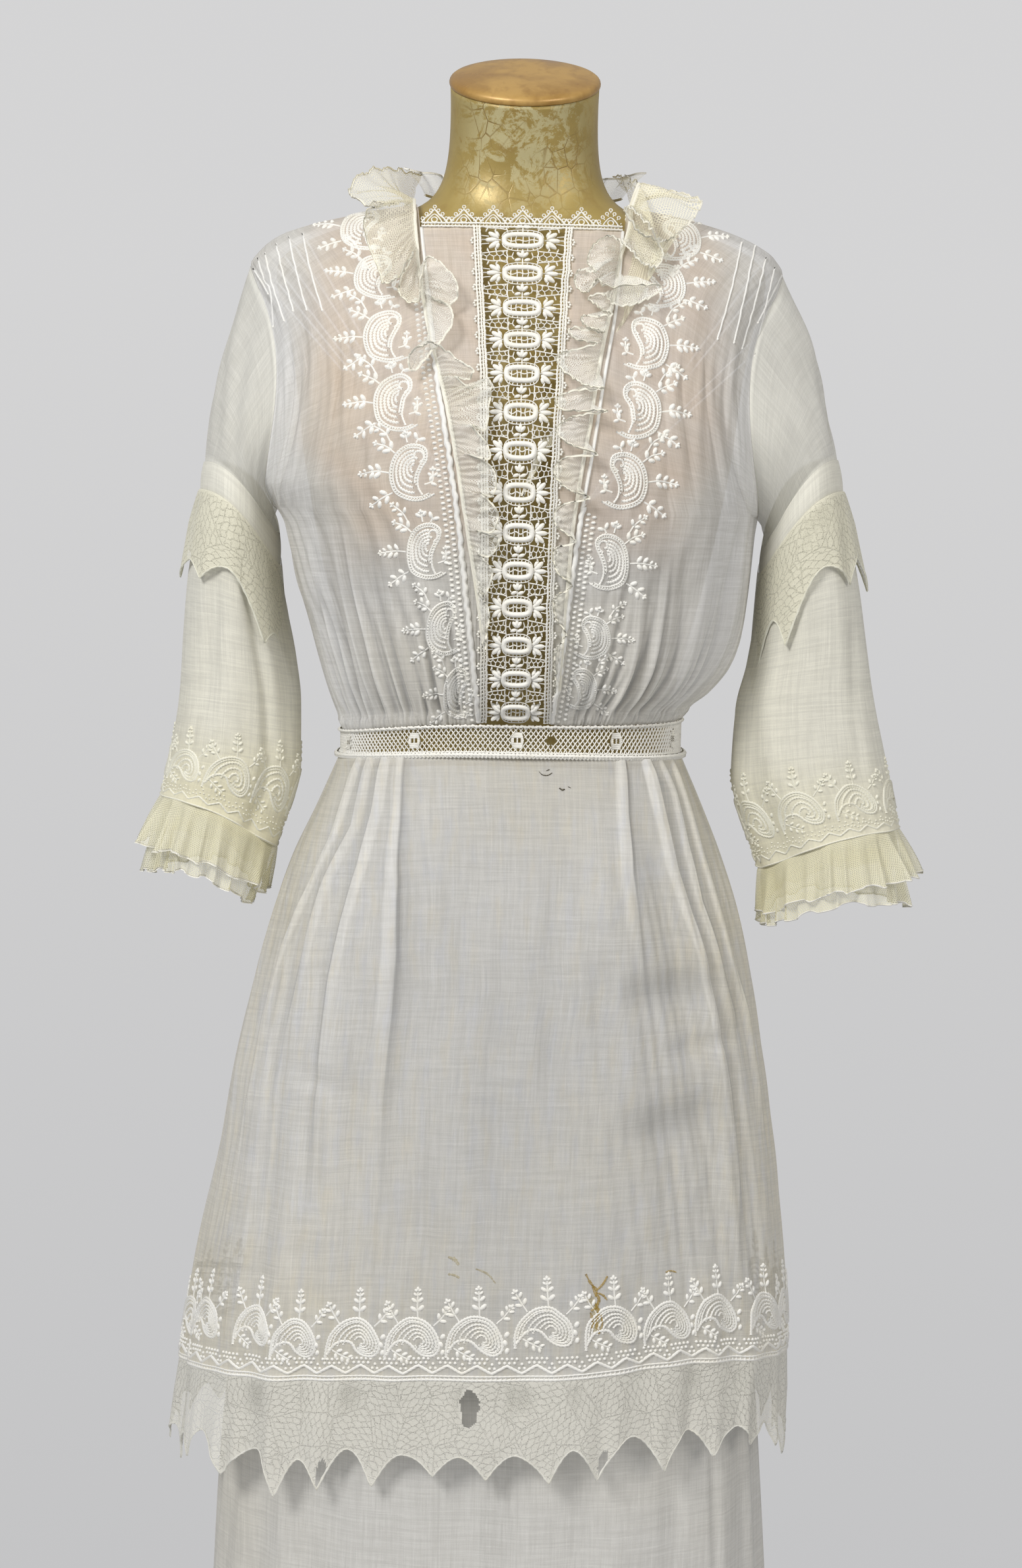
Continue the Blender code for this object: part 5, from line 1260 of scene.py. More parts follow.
def tunic_half(tag):
    rows = 104 if tag == "front" else 84
    f = spread(0, 1, rows)
    if tag == "front":
        ends = (-90.0, 90.0)
        pleats = []
        for pts, face, wide, high, cover, a, b in FRONT_PLEATS:
            ang, lev = [], []
            for x, z in pts:
                g = angle_on(TUNIC, z, x, SKIRT_POWER)
                hem = float(hem_height(g))
                top = float(bottom_of_waist(g)) - GAP
                ang.append(g)
                lev.append((top - z) / (top - hem))
            order = np.argsort(lev)
            pleats.append((np.interp(f, np.array(lev)[order], np.array(ang)[order]), face, wide, high, cover, a, b))
    else:
        ends = (90.0, 270.0)
        rng = np.random.RandomState(8)
        pleats = []
        for w, h in ((104, 99), (117, 113), (128, 126), (140, 141), (152, 152), (165, 166), (180, 181), (193, 194), (206, 207),
                     (218, 220), (231, 234), (243, 247), (256, 260)):
            bend = rng.uniform(-2.0, 2.0)
            g = w + (h - w) * ramp(0, 1, f) + bend * np.sin(np.pi * f)
            face = 1 if w > 180 else -1
            pleats.append((g, face, rng.uniform(0.006, 0.012), rng.uniform(0.0018, 0.0036), rng.uniform(0.3, 0.6),
                           rng.uniform(0.1, 0.4), rng.uniform(0.6, 1.0)))
    guides = [np.full(rows, ends[0])] + [p[0] for p in pleats] + [np.full(rows, ends[1])]
    ang, place = skirt_grid(f, guides, (0.012, 0.03, 0.06, 0.10) if tag == "front" else (0.02, 0.08), 0.66 if tag == "front" else 1.0)
    F = f[:, None] * np.ones(ang.shape[1])
    base = tunic(ang, F)
    radius = np.hypot(base[..., 0], base[..., 1] - MID_Y)
    out = np.zeros_like(F)
    dense = np.zeros_like(F)
    shade = np.zeros_like(F)
    for g, face, wide, high, cover, a, b in pleats:
        d = np.radians(ang - g[:, None]) * radius * face
        fade = 1 - ramp(a, b, F)
        cliff = 0.0012 + 0.010 * ramp(0.0, b, F)
        body_w = wide * (1 + 1.6 * F)
        top = 1 - ramp(0.45, 1.0, -d / body_w)
        h = np.where(d <= 0, top, 1 - ramp(0.0, 1.0, d / cliff))
        out = np.maximum(out, high * h * fade * ramp(-0.02, 0.03, F))
        inside = ramp(0.0008, 0.0, d) * ramp(-wide - 0.001, -wide + 0.001, d) * cover * (1 - ramp(a * 0.8, b * 0.75, F))
        dense = np.maximum(dense, inside)
        # painted shadow along the crisp side of each pleat, with a softer painted shade beside it
        left = (1 - ramp(a, b * 1.05, F)) * (high > 0)
        shade = np.maximum(shade, left * (0.34 * np.exp(-((d - 0.0011) / 0.0011) ** 2) + 0.13 * np.exp(-((d - 0.0025) / 0.0065) ** 2) * (d > 0)))
    edge = np.minimum(1.0, 12 * np.minimum(ang - ends[0], ends[1] - ang) / 180)
    x = ang / 60.0
    out += (0.0034 * hum(x + F * 0.25, 71) + 0.0018 * hum(x * 2.7 - F * 0.6, 72)) * edge * ramp(0.03, 0.25, F)
    out += 0.0006 * hum(x * 7.0 - F * 1.2, 75) * edge * ramp(0.10, 0.30, F) * (1 - ramp(0.80, 0.96, F))
    # two drags across the right hip and a few shorter ones elsewhere, each a trough with painted shade along it
    px, py = pixel(base)
    for ax, ay, bx, by, wide, deep, tone in TUNIC_DRAGS:
        way = np.array([bx - ax, by - ay], float)
        ln = np.hypot(*way)
        along = ((px - ax) * way[0] + (py - ay) * way[1]) / ln**2
        off = ((px - ax) * way[1] - (py - ay) * way[0]) / ln + 9 * np.sin(along * 3.1)
        near = np.exp(-(off / wide) ** 2) * np.exp(-((along - 0.5) / 0.42) ** 4)
        if tag == "front":
            out -= deep * near
            shade = np.maximum(shade, tone * near)
    out += 0.0007 * hum(x * 1.3 + F * 4.0, 73) * hum(x * 3.0, 74) * edge * ramp(0.1, 0.4, F)
    # hem settles on its own line, a little uneven
    hem = ramp(0.986, 0.992, F) * 0.5
    dense = np.maximum(dense, np.maximum(hem, 0.5 * ramp(0.012, 0.004, F)))
    HEM_OUT[tag] = (ang[-1], out[-1])
    P = tunic(ang, F, out)
    P[:, 0, 1] += (-1 if tag == "front" else 1) * GAP / 2
    P[:, -1, 1] += (-1 if tag == "front" else 1) * GAP / 2
    return P, ang, F, dense, shade


def blot(P, spots):
    """Marks of a size, round (x, z) on the front, as weights."""
    w = np.zeros(P.shape[:2])
    for x, z, rx, rz, s in spots:
        w = np.maximum(w, s * np.exp(-(((P[..., 0] - x) / rx) ** 2 + ((P[..., 2] - z) / rz) ** 2)) * (P[..., 1] < 0))
    return w


def build_skirts():
    for tag in ("front", "back"):
        P, ang, F, dense, shade = tunic_half(tag)
        s = np.abs(np.sin(np.radians(ang)))
        aged = 0.10 + 0.55 * ramp(0.72, 1.0, s) * (1 - 0.5 * F) + 0.25 * ramp(0.80, 1.0, F)
        px, py = pixel(P)
        front = P[..., 1] < 0
        broad_shade = 0.5 + 0.5 * hum(px / 620 + py / 900, 77)
        # painted shade: the pleat and drag shade, a broad uneven shade, a darker patch low in the middle and a darker
        # band down the centre front
        grey = shade + (0.03 * broad_shade + 0.10 * np.exp(-((px - 770) / 210) ** 2 - ((py - 1560) / 330) ** 2) + 0.17 * np.exp(-((px - 790) / 260) ** 4)) * front
        soil = blot(P, [(0.0600, 0.668, 0.0060, 0.0100, 0.10), (0.0610, 0.648, 0.0040, 0.0140, 0.14)])
        ob, skin = grid(f"tunic_{tag}_cloth", P, "lawn_tunic", "lawn_white", [f"tunic_{tag}"],
                        marks={"dense": dense, "aged": aged, "grey": grey, "soil": soil})
        SKINS[f"tunic_{tag}"] = skin
    for tag, turn in (("front", 0.0), ("back", 180.0)):
        rows, cols = (84, 170) if tag == "front" else (60, 130)
        z = spread(1.0300, HEM_UNDER, rows)[:, None] * np.ones(cols)
        a = spread(-90, 90, cols)[None, :] + turn + 0 * z
        x = (a - turn + 90) / 180
        h = 1.03 - z
        open_ = ramp(0.90, 0.55, z)
        out = -valleys(x, h * 0.0, 13, 91 + int(turn), 0.0050, (1, 2), lean=0.0, power=0.9) * open_
        out = out + 0.0045 * open_ + 0.0016 * hum(x * 5 + h * 1.1, 95) * ramp(1.0, 0.8, z)
        edge = np.minimum(1.0, 16 * np.minimum(x, 1 - x))
        out = out * edge + 0.0 * x
        # folds swing a little sideways on the way down
        sway = (1.6 * np.sin(h * 5 + x * 9) + 1.0 * np.sin(h * 9 - x * 5)) * ramp(0.1, 0.5, h) * edge
        P = section(UNDER, z, a + sway, SKIRT_POWER, out)
        P[..., 2] += (bottom_of_waist(a) - WAIST_BOTTOM) * ramp(0.93, 1.03, z)
        for j in (0, -1):
            P[:, j, 1] += (-1 if tag == "front" else 1) * GAP / 2
        dense = np.maximum(ramp(HEM_UNDER + 0.052, HEM_UNDER + 0.049, z) * 0.6, 0.0)
        ob, skin = grid(f"underskirt_{tag}_cloth", P, "lawn_under", "lawn_white", [f"underskirt_{tag}"],
                        marks={"dense": dense, "aged": 0.10 + 0.15 * ramp(0.5, 0.1, z), "grey": 0.0, "soil": 0.0})
        SKINS[f"under_{tag}"] = skin


# ---------------------------------------------------------------- net frills round the neck and down the front
# Each row of a frill's table: where its seam runs and where its free edge is, in the photograph's pixels, and how far the
# edge stands off the bodice in millimetres, or its depth y in metres where it is off the body.
FRILL_LEFT = [
    (640, 284, 640, 266, 0.030), (632, 290, 616, 261, 0.020), (629, 296, 588, 256, 0.006), (628, 301, 553, 262, -0.012),
    (627, 305, 529, 290, -0.034), (628, 309, 556, 309, -0.060), (629, 313, 600, 309, -0.052), (629, 318, 566, 313, -0.078),
    (630, 326, 552, 334, 14), (630, 338, 559, 372, 13), (631, 350, 574, 408, 11), (632, 362, 582, 430, 11),
    (633, 372, 604, 420, 17), (634, 381, 627, 384, 13), (634, 390, 606, 430, 9), (635, 398, 610, 452, 9),
    (636, 405, 634, 458, 10), (637, 411, 640, 420, 17), (637, 416, 650, 390, 13), (638, 421, 672, 403, 15),
    (639, 427, 690, 424, 17), (640, 434, 694, 446, 14), (641, 442, 682, 462, 10), (642, 451, 655, 452, 16),
    (644, 461, 682, 466, 12), (646, 474, 686, 488, 15), (648, 487, 672, 513, 13), (651, 500, 648, 541, 11),
    (653, 510, 626, 563, 10), (655, 519, 622, 538, 17), (657, 528, 652, 520, 18), (660, 541, 676, 532, 14),
    (663, 552, 698, 549, 15), (666, 562, 718, 562, 15), (668, 572, 708, 576, 9), (671, 583, 690, 571, 14),
    (673, 592, 716, 590, 8), (675, 602, 736, 574, 13), (678, 614, 745, 584, 15), (680, 626, 742, 612, 11),
    (683, 640, 736, 652, 9), (685, 652, 714, 644, 15), (688, 666, 738, 674, 10), (690, 680, 742, 696, 13),
    (692, 694, 712, 690, 15), (695, 708, 742, 706, 9), (697, 722, 752, 724, 12), (699, 738, 748, 752, 9),
    (702, 754, 730, 750, 13), (704, 770, 754, 776, 10), (707, 786, 748, 806, 8), (709, 800, 724, 806, 15),
    (711, 814, 756, 818, 12), (713, 828, 744, 844, 9), (716, 844, 726, 842, 13), (718, 860, 746, 866, 8),
    (721, 878, 738, 900, 7), (724, 898, 728, 900, 9), (727, 920, 742, 930, 6), (730, 945, 738, 960, 6), (733, 975, 737, 985, 4),
]
FRILL_RIGHT = [
    (942, 284, 930, 266, 0.034), (948, 290, 958, 272, 0.026), (951, 296, 990, 284, 0.016), (954, 301, 1028, 292, -0.004),
    (956, 305, 1064, 304, -0.028), (957, 309, 1052, 330, -0.050), (958, 313, 1026, 356, 13), (958, 317, 1002, 366, 15),
    (958, 321, 986, 344, 24), (957, 326, 962, 318, 20), (957, 332, 948, 318, 15), (956, 338, 968, 350, 24), (955, 344, 996, 366, 17),
    (954, 350, 1006, 388, 13), (952, 357, 994, 405, 12), (950, 364, 972, 396, 20), (948, 371, 950, 372, 20), (946, 377, 926, 358, 14),
    (944, 383, 906, 372, 15), (942, 389, 899, 398, 13), (941, 394, 910, 412, 17), (940, 399, 890, 410, 12), (939, 404, 887, 432, 10),
    (938, 409, 902, 444, 10), (937, 414, 914, 424, 16), (936, 419, 926, 434, 17), (936, 424, 984, 434, 14), (935, 430, 962, 458, 11),
    (934, 437, 934, 462, 13), (933, 445, 922, 446, 16), (931, 453, 903, 452, 9), (929, 461, 916, 468, 13), (927, 470, 928, 478, 11),
    (925, 479, 895, 480, 9), (923, 488, 900, 496, 13), (921, 497, 918, 504, 12), (919, 506, 880, 498, 8), (917, 515, 884, 514, 12),
    (915, 525, 908, 522, 12), (913, 535, 868, 536, 8), (911, 546, 866, 556, 9), (909, 558, 890, 582, 13), (907, 570, 914, 590, 13),
    (905, 582, 884, 592, 9), (903, 594, 860, 604, 8), (901, 607, 868, 622, 11), (899, 620, 916, 624, 14), (897, 634, 878, 632, 9),
    (895, 648, 858, 652, 8), (892, 662, 872, 674, 12), (889, 678, 902, 690, 12), (886, 694, 866, 694, 8), (883, 712, 852, 716, 8),
    (880, 730, 866, 742, 11), (877, 748, 890, 756, 11), (874, 768, 856, 768, 7), (871, 788, 850, 796, 8), (868, 810, 872, 822, 10),
    (866, 832, 848, 834, 6), (864, 856, 850, 868, 8), (862, 880, 866, 890, 8), (860, 904, 846, 908, 6), (858, 930, 848, 940, 6),
    (856, 956, 858, 964, 7), (854, 984, 845, 990, 5), (851, 1014, 845, 1024, 5), (848, 1046, 844, 1052, 4),
]


FRILL_RIGHT = [(a, b, a + (c - a) * (1.0 + 0.38 * min(1.0, max(0.0, (b - 360) / 60))), d, e) for a, b, c, d, e in FRILL_RIGHT]


def even_curve(points, per):
    """A smooth curve with the same number of steps between each pair of points."""
    p = np.asarray(points, float)
    p = np.concatenate([[2 * p[0] - p[1]], p, [2 * p[-1] - p[-2]]])
    out = []
    for i in range(1, len(p) - 2):
        for k in range(per):
            s = k / per
            out.append(0.5 * (2 * p[i] + (p[i + 1] - p[i - 1]) * s + (2 * p[i - 1] - 5 * p[i] + 4 * p[i + 1] - p[i + 2]) * s * s
                              + (3 * p[i] - p[i - 1] - 3 * p[i + 1] + p[i + 2]) * s**3))
    out.append(p[-2])
    return np.array(out)


def build_frills():
    for side, tag, rows in ((-1, "left", FRILL_LEFT), (1, "right", FRILL_RIGHT)):
        rows = np.array(rows, float)
        z = np.concatenate([spread(1.0600, 1.3960, 70), spread(1.3990, 1.4250, 18)])
        shell = body(spread(-88, 88, 120)[None, :], z[:, None] * np.ones(120))
        idx = np.arange(shell.shape[0] * 120).reshape(-1, 120)
        skin = Skin(shell, np.stack([idx[:-1, :-1], idx[:-1, 1:], idx[1:, 1:], idx[1:, :-1]], -1).reshape(-1, 4))
        seam, nrm, ok = skin.pixels(rows[:, :2])
        # the first few rows lie over the shoulder and behind it
        edge = np.zeros_like(seam)
        for i, (sx, sy, ex, ey, h) in enumerate(rows):
            w = sight(ex, ey)
            if abs(h) < 1:
                edge[i] = EYE + w * (h - EYE[1]) / w[1]
            else:
                hit, n, good = skin.pixels([(ex, ey)])
                edge[i] = hit[0] - w * h * 1e-3 / max(0.35, abs(float(np.dot(w, n[0]))))
            if i < 6:
                y = (0.030, 0.022, 0.010, 0.0, -0.012, -0.024)[i]
                x = side * (0.0805 + 0.004 * math.sin(i))
                seam[i] = (x, y, shoulder_height(x, y) + 0.0015)
                nrm[i] = (side * 0.2, -0.2, 0.95)
        per = 12
        S, E, N = even_curve(seam, per), even_curve(edge, per), unit(even_curve(nrm, per))
        S = S + N * 0.0022
        m = len(S)
        t = np.arange(m) / per
        rng = np.random.RandomState(240 + side)
        tangent = unit(np.gradient(E, axis=0))
        swell = 0.0045 * (0.6 + 0.4 * hum(t / 4, 241 + side))
        lines = []
        nr = 14
        for k in spread(0, 1, nr):
            p = S * (1 - k) + E * k
            p = p + N * (swell * math.sin(math.pi * min(1.0, k * 1.15)) * 1.0)[:, None]
            # small gathers at the seam, and crumples further out
            small = 0.0011 * np.sin(t * 2 * np.pi * 1.9 + 1.3 * hum(t / 3, 243 + side)) * (1 - k) ** 0.7 * min(1.0, k * 8)
            crumple = 0.0016 * hum(t * 1.3 + k * 0.8, 245 + side) * k ** 0.5 + 0.0009 * hum(t * 3.4 - k * 1.7, 249 + side) * k ** 0.8
            p = p + N * (small + crumple)[:, None]
            p = p + tangent * (0.0010 * hum(t * 1.1 - k, 247 + side) * math.sin(math.pi * k))[:, None]
            lines.append(p)
        P = np.array(lines)
        mid = np.linalg.norm(np.diff(P[nr * 2 // 3], axis=0), axis=1)
        u = np.concatenate([[0], np.cumsum(mid)])
        v = spread(0, 0.030, nr)
        uv = np.stack([np.broadcast_to(u, (nr, m)), np.broadcast_to(v[:, None], (nr, m))], -1)
        K = spread(0, 1, nr)[:, None] * np.ones(m)
        top = np.clip(1 - (t - 6) / 14, 0, 1)[None, :]
        dense = 0.20 * ramp(0.10, 0.0, K) + 0.20 * ramp(0.955, 0.975, K)
        ob, skin2 = grid(f"ruffle_{tag}_net", P, "net", "net", [f"ruffle_{tag}"], flip=side > 0, uv=uv,
                         marks={"dense": dense, "aged": np.clip(0.02 + 0.50 * top + 0 * K, 0, 1)})
        SKINS[f"ruffle_{tag}"] = skin2
        hem = Stitches()
        across = unit(P[-1] - P[-2])
        hem.line(P[-1], unit(np.cross(np.gradient(P[-1], axis=0), across)), 0.0012, 0.0006, sides=3, sink=0.0006)
        hem.line(P[0], N, 0.0026, 0.0009, sides=3, sink=0.0006)
        hem.build(f"ruffle_{tag}_hem", "hem_thread", "net")
    # the frill behind the neck
    m, nr = 240, 14
    deg = spread(112, 248, m)
    s = spread(0, 1, m)
    base = section(BODICE, np.full(m, NECK_BACK), deg, BODY_POWER, 0.0022)
    out = unit(section(BODICE, np.full(m, NECK_BACK), deg, BODY_POWER, 0.02) - base)
    out[:, 2] = 0
    tangent = unit(np.gradient(base, axis=0))
    phase = s * 2 * np.pi * 10.5 + 1.2 * hum(s * 2, 208)
    wave = np.sin(phase + 0.6 * np.sin(phase * 0.5))
    rows = []
    for k in spread(0, 1, nr):
        lean = np.interp(k, [0, 0.45, 1.0], [0.0, 0.006, 0.0145])
        high = np.interp(k, [0, 0.45, 1.0], [0.003, 0.0135, 0.0225])
        p = base + out * (lean + 0.0050 * wave * k)[:, None] + tangent * (0.0030 * np.cos(phase) * k)[:, None]
        p[:, 2] += high - (base[:, 2] - NECK_BACK) + 0.0012 * hum(s * 7, 209) * k
        rows.append(p)
    P = np.array(rows)
    ob, skin = grid("ruffle_back_net", P, "net", "net", ["ruffle_back"], marks={"dense": 0.0, "aged": 0.15})
    edge = Stitches()
    N = unit(np.cross(np.gradient(P[-1], axis=0), P[-1] - P[-2]))
    edge.line(P[-1], N, 0.0015, 0.0006, sides=3, sink=0.0006)
    edge.line(P[0], out, 0.0020, 0.0009, sides=3, sink=0.0006)
    edge.build("ruffle_back_hem", "lace_thread", "net")


# ---------------------------------------------------------------- cuffs
def build_cuffs():
    for tag, (side, table, top, band, end) in SLEEVES.items():
        for tier, deep, flare, inset, seed in (("upper", 0.034, 0.0140, 0.0, 5), ("lower", 0.056, 0.0105, -0.0034, 9)):
            n, nr = 380, 15
            turn = 360.0 * np.arange(n) / n
            t = np.radians(turn)
            u = turn / 360
            inner = 0.5 - 0.5 * np.cos(t)
            rng = np.random.RandomState(seed + 40 * (side > 0))
            waves = 21 if tier == "upper" else 23
            phase = 2 * np.pi * waves * u + 1.7 * sum(np.sin(2 * np.pi * k * u + rng.uniform(0, 6.28)) for k in (1, 2, 3))
            size = 1 + 0.35 * np.sin(2 * np.pi * 3 * u + rng.uniform(0, 6)) + 0.3 * np.sin(2 * np.pi * 7 * u + rng.uniform(0, 6))
            level = 0.0 if tier == "upper" else 0.30
            rows = []
            for f in spread(0, 1, nr):
                amp = (0.0037 if tier == "upper" else 0.0031) * f**0.7 * size * (1 - 0.40 * inner)
                w = amp * (np.sin(phase + 0.8 * f) + 0.35 * np.sin(0.5 * phase + 2.0 * f) + 0.22 * np.sin(2.3 * phase + 1.0 + 2 * f))
                p = tube(table, side, np.full(n, end), turn, inset - 0.0009 * (f == 0) + flare * f * (1 - inner) + w)
                tang = unit(np.roll(p, -1, axis=0) - np.roll(p, 1, axis=0))
                p = p + tang * (amp * 0.9 * np.cos(phase + 0.3))[:, None]
                p[:, 0] += side * SKIRT_SIDE[tag] * deep * f * inner
                p[:, 2] -= (-0.0010 if f == 0 else GAP * 0.5) + deep * f * (1 - level * inner) * (1 + 0.05 * np.sin(2 * np.pi * 2 * u + seed)) + 0.0016 * f * np.sin(phase * 0.5 + seed)
                rows.append(p)
            P = np.array(rows)
            K = spread(0, 1, nr)[:, None] * np.ones(n)
            ob, skin = grid(f"cuff_{tier}_{tag}_net", P, "cuff_net", "net", [f"cuff_ruffle_{tier}_{tag}"], closed=True,
                            flip=side > 0, marks={"dense": 0.4 * ramp(0.12, 0.0, K), "aged": 0.12 + 0.32 * inner[None, :] + 0 * K})
            SKINS[f"cuff_{tier}_{tag}"] = skin
            edge = Stitches()
            tang = np.roll(P[-1], -1, axis=0) - np.roll(P[-1], 1, axis=0)
            edge.line(P[-1], unit(np.cross(tang, P[-1] - P[-2])), 0.0014, 0.0006, closed=True, sides=3, sink=0.0006)
            edge.build(f"cuff_{tier}_{tag}_hem", "lace_thread", "net")



# ---------------------------------------------------------------- drawing with thread
class Design:
    """Lines, leaves and knots in flat millimetres, to be laid on a cloth."""

    def __init__(self, long=3.1, wide=1.3):
        self.lines, self.leaves = [], []
        self.long, self.wide = long, wide

    def line(self, pts, width, height, step=1.0, closed=False, beads=0.0, sides=3, straight=False):
        p = np.asarray(pts, float) if straight else smooth_path(np.asarray(pts, float), step, closed)
        self.lines.append((p, width, height, closed, beads, sides))

    def leaf(self, x, y, turn, a, b, h=0.8, steps=8):
        self.leaves.append((x, y, turn, a, b, h, steps))

    def knot(self, x, y, r=0.6, h=0.7, steps=6):
        self.leaves.append((x, y, 0.0, r, r, h, steps))

    def star(self, x, y, r=1.0, n=4, turn=0.0):
        for k in range(n):
            a = turn + 2 * math.pi * k / n
            self.leaf(x + r * math.cos(a), y + r * math.sin(a), a, 1.0, 0.65, 0.6, 6)

    def sprig(self, path, pairs, open_=0.85, tip=True, stem=0.75):
        long, wide = self.long, self.wide
        p = smooth_path(np.asarray(path, float), 0.8)
        self.lines.append((p, stem * 1e-3, 0.45e-3, False, 0.0, 3))
        d = np.concatenate([[0], np.cumsum(np.linalg.norm(np.diff(p, axis=0), axis=1))])
        for share, size in pairs:
            at = share * d[-1]
            c = np.array([np.interp(at, d, p[:, 0]), np.interp(at, d, p[:, 1])])
            e = np.array([np.interp(min(at + 1, d[-1]), d, p[:, 0]), np.interp(min(at + 1, d[-1]), d, p[:, 1])])
            way = math.atan2(*(e - c)[::-1]) if np.any(e != c) else math.atan2(*(p[-1] - p[-2])[::-1])
            for s in (-1, 1):
                a = way + s * open_
                self.leaf(c[0] + math.cos(a) * (long * size + 0.5), c[1] + math.sin(a) * (long * size + 0.5), a, long * size, wide * size)
        if tip:
            way = math.atan2(*(p[-1] - p[-3])[::-1])
            self.leaf(p[-1][0] + 1.4 * math.cos(way), p[-1][1] + 1.4 * math.sin(way), way, 1.8, 0.85, 0.8, 6)
            for s in (-1, 1):
                a = way + s * 1.1
                self.leaf(p[-1][0] + 1.3 * math.cos(a), p[-1][1] + 1.3 * math.sin(a), a, 1.5, 0.75, 0.7, 6)

    def stitch(self, st, lay, move=(0.0, 0.0), flip=1.0, scale=1.0, turn=0.0, fat=1.0, tall=1.0):
        """lay takes flat metres (n, 2) and gives points and normals."""
        c, s = math.cos(turn), math.sin(turn)
        sx, sy = (scale, scale) if np.isscalar(scale) else scale

        def to(q):
            q = np.asarray(q, float) * np.array([sx * flip, sy])
            return np.stack([q[:, 0] * c - q[:, 1] * s + move[0], q[:, 0] * s + q[:, 1] * c + move[1]], -1) * 1e-3

        chunks = [to(p) for p, *_ in self.lines]
        for x, y, a, la, *_ in self.leaves:
            chunks.append(to([[x, y], [x + 0.5 * math.cos(a), y + 0.5 * math.sin(a)]]))
        if not chunks:
            return
        P, N = lay(np.concatenate(chunks))
        k = 0
        for p, width, height, closed, beads, sides in self.lines:
            n = len(p)
            w = width * fat
            if beads:
                w = w * (1 + beads * np.where(np.arange(n) % 2 == 0, 1, -1))
            st.line(P[k:k + n], N[k:k + n], w, height * tall, closed, sides)
            k += n
        for x, y, a, la, lb, h, steps in self.leaves:
            if np.linalg.norm(P[k + 1] - P[k]) > 1e-7:
                st.dome(P[k], N[k], P[k + 1] - P[k], la * 1e-3 * (sx + sy) / 2, lb * 1e-3 * (sx + sy) / 2 * fat ** 0.5, h * 1e-3 * tall, steps)
            k += 2


def inset_line(pts, by):
    p = np.asarray(pts, float)
    t = np.gradient(p, axis=0)
    t = t / np.linalg.norm(t, axis=1, keepdims=True)
    return p + np.stack([-t[:, 1], t[:, 0]], -1) * by


def net_ground(design, inside, box, cell, width, height, seed, jitter=0.22, squash=1.0):
    """An uneven six-sided net inside a region."""
    rng = np.random.RandomState(seed)
    x0, y0, x1, y1 = box
    pts, index = [], {}
    dx, dy = cell * 0.866, cell * 0.5 * squash

    def point(i, j):
        key = (i, j)
        if key not in index:
            x = x0 + i * dx / 1.0
            y = y0 + j * dy
            pts.append((x + rng.uniform(-jitter, jitter) * cell * 0.5, y + rng.uniform(-jitter, jitter) * cell * 0.5))
            index[key] = len(pts) - 1
        return index[key]

    edges = []
    cols, rows = int((x1 - x0) / dx) + 2, int((y1 - y0) / (dy * 3)) + 2
    for r in range(rows):
        for c in range(cols):
            if (c + r) % 2:
                continue
            # a pointed hexagon: centre (c, 3r)
            ring = [(c, 3 * r + 2), (c + 1, 3 * r + 1), (c + 1, 3 * r - 1), (c, 3 * r - 2), (c - 1, 3 * r - 1), (c - 1, 3 * r + 1)]
            for a, b in zip(ring, ring[1:] + ring[:1]):
                ia, ib = point(*a), point(*b)
                edges.append((min(ia, ib), max(ia, ib)))
    pts = np.array(pts)
    for a, b in sorted(set(edges)):
        pa, pb = pts[a], pts[b]
        ma, mb = inside(*pa), inside(*pb)
        if not (ma or mb):
            continue
        mid = (pa + pb) / 2
        if not inside(*mid):
            continue
        design.lines.append((np.array([pa, mid, pb]), width, height, False, 0.0, 3))


# ---------------------------------------------------------------- the lace down the front
OVALS = [365, 415, 468, 516, 567, 626, 684, 748, 809, 867, 923, 981, 1032, 1083]


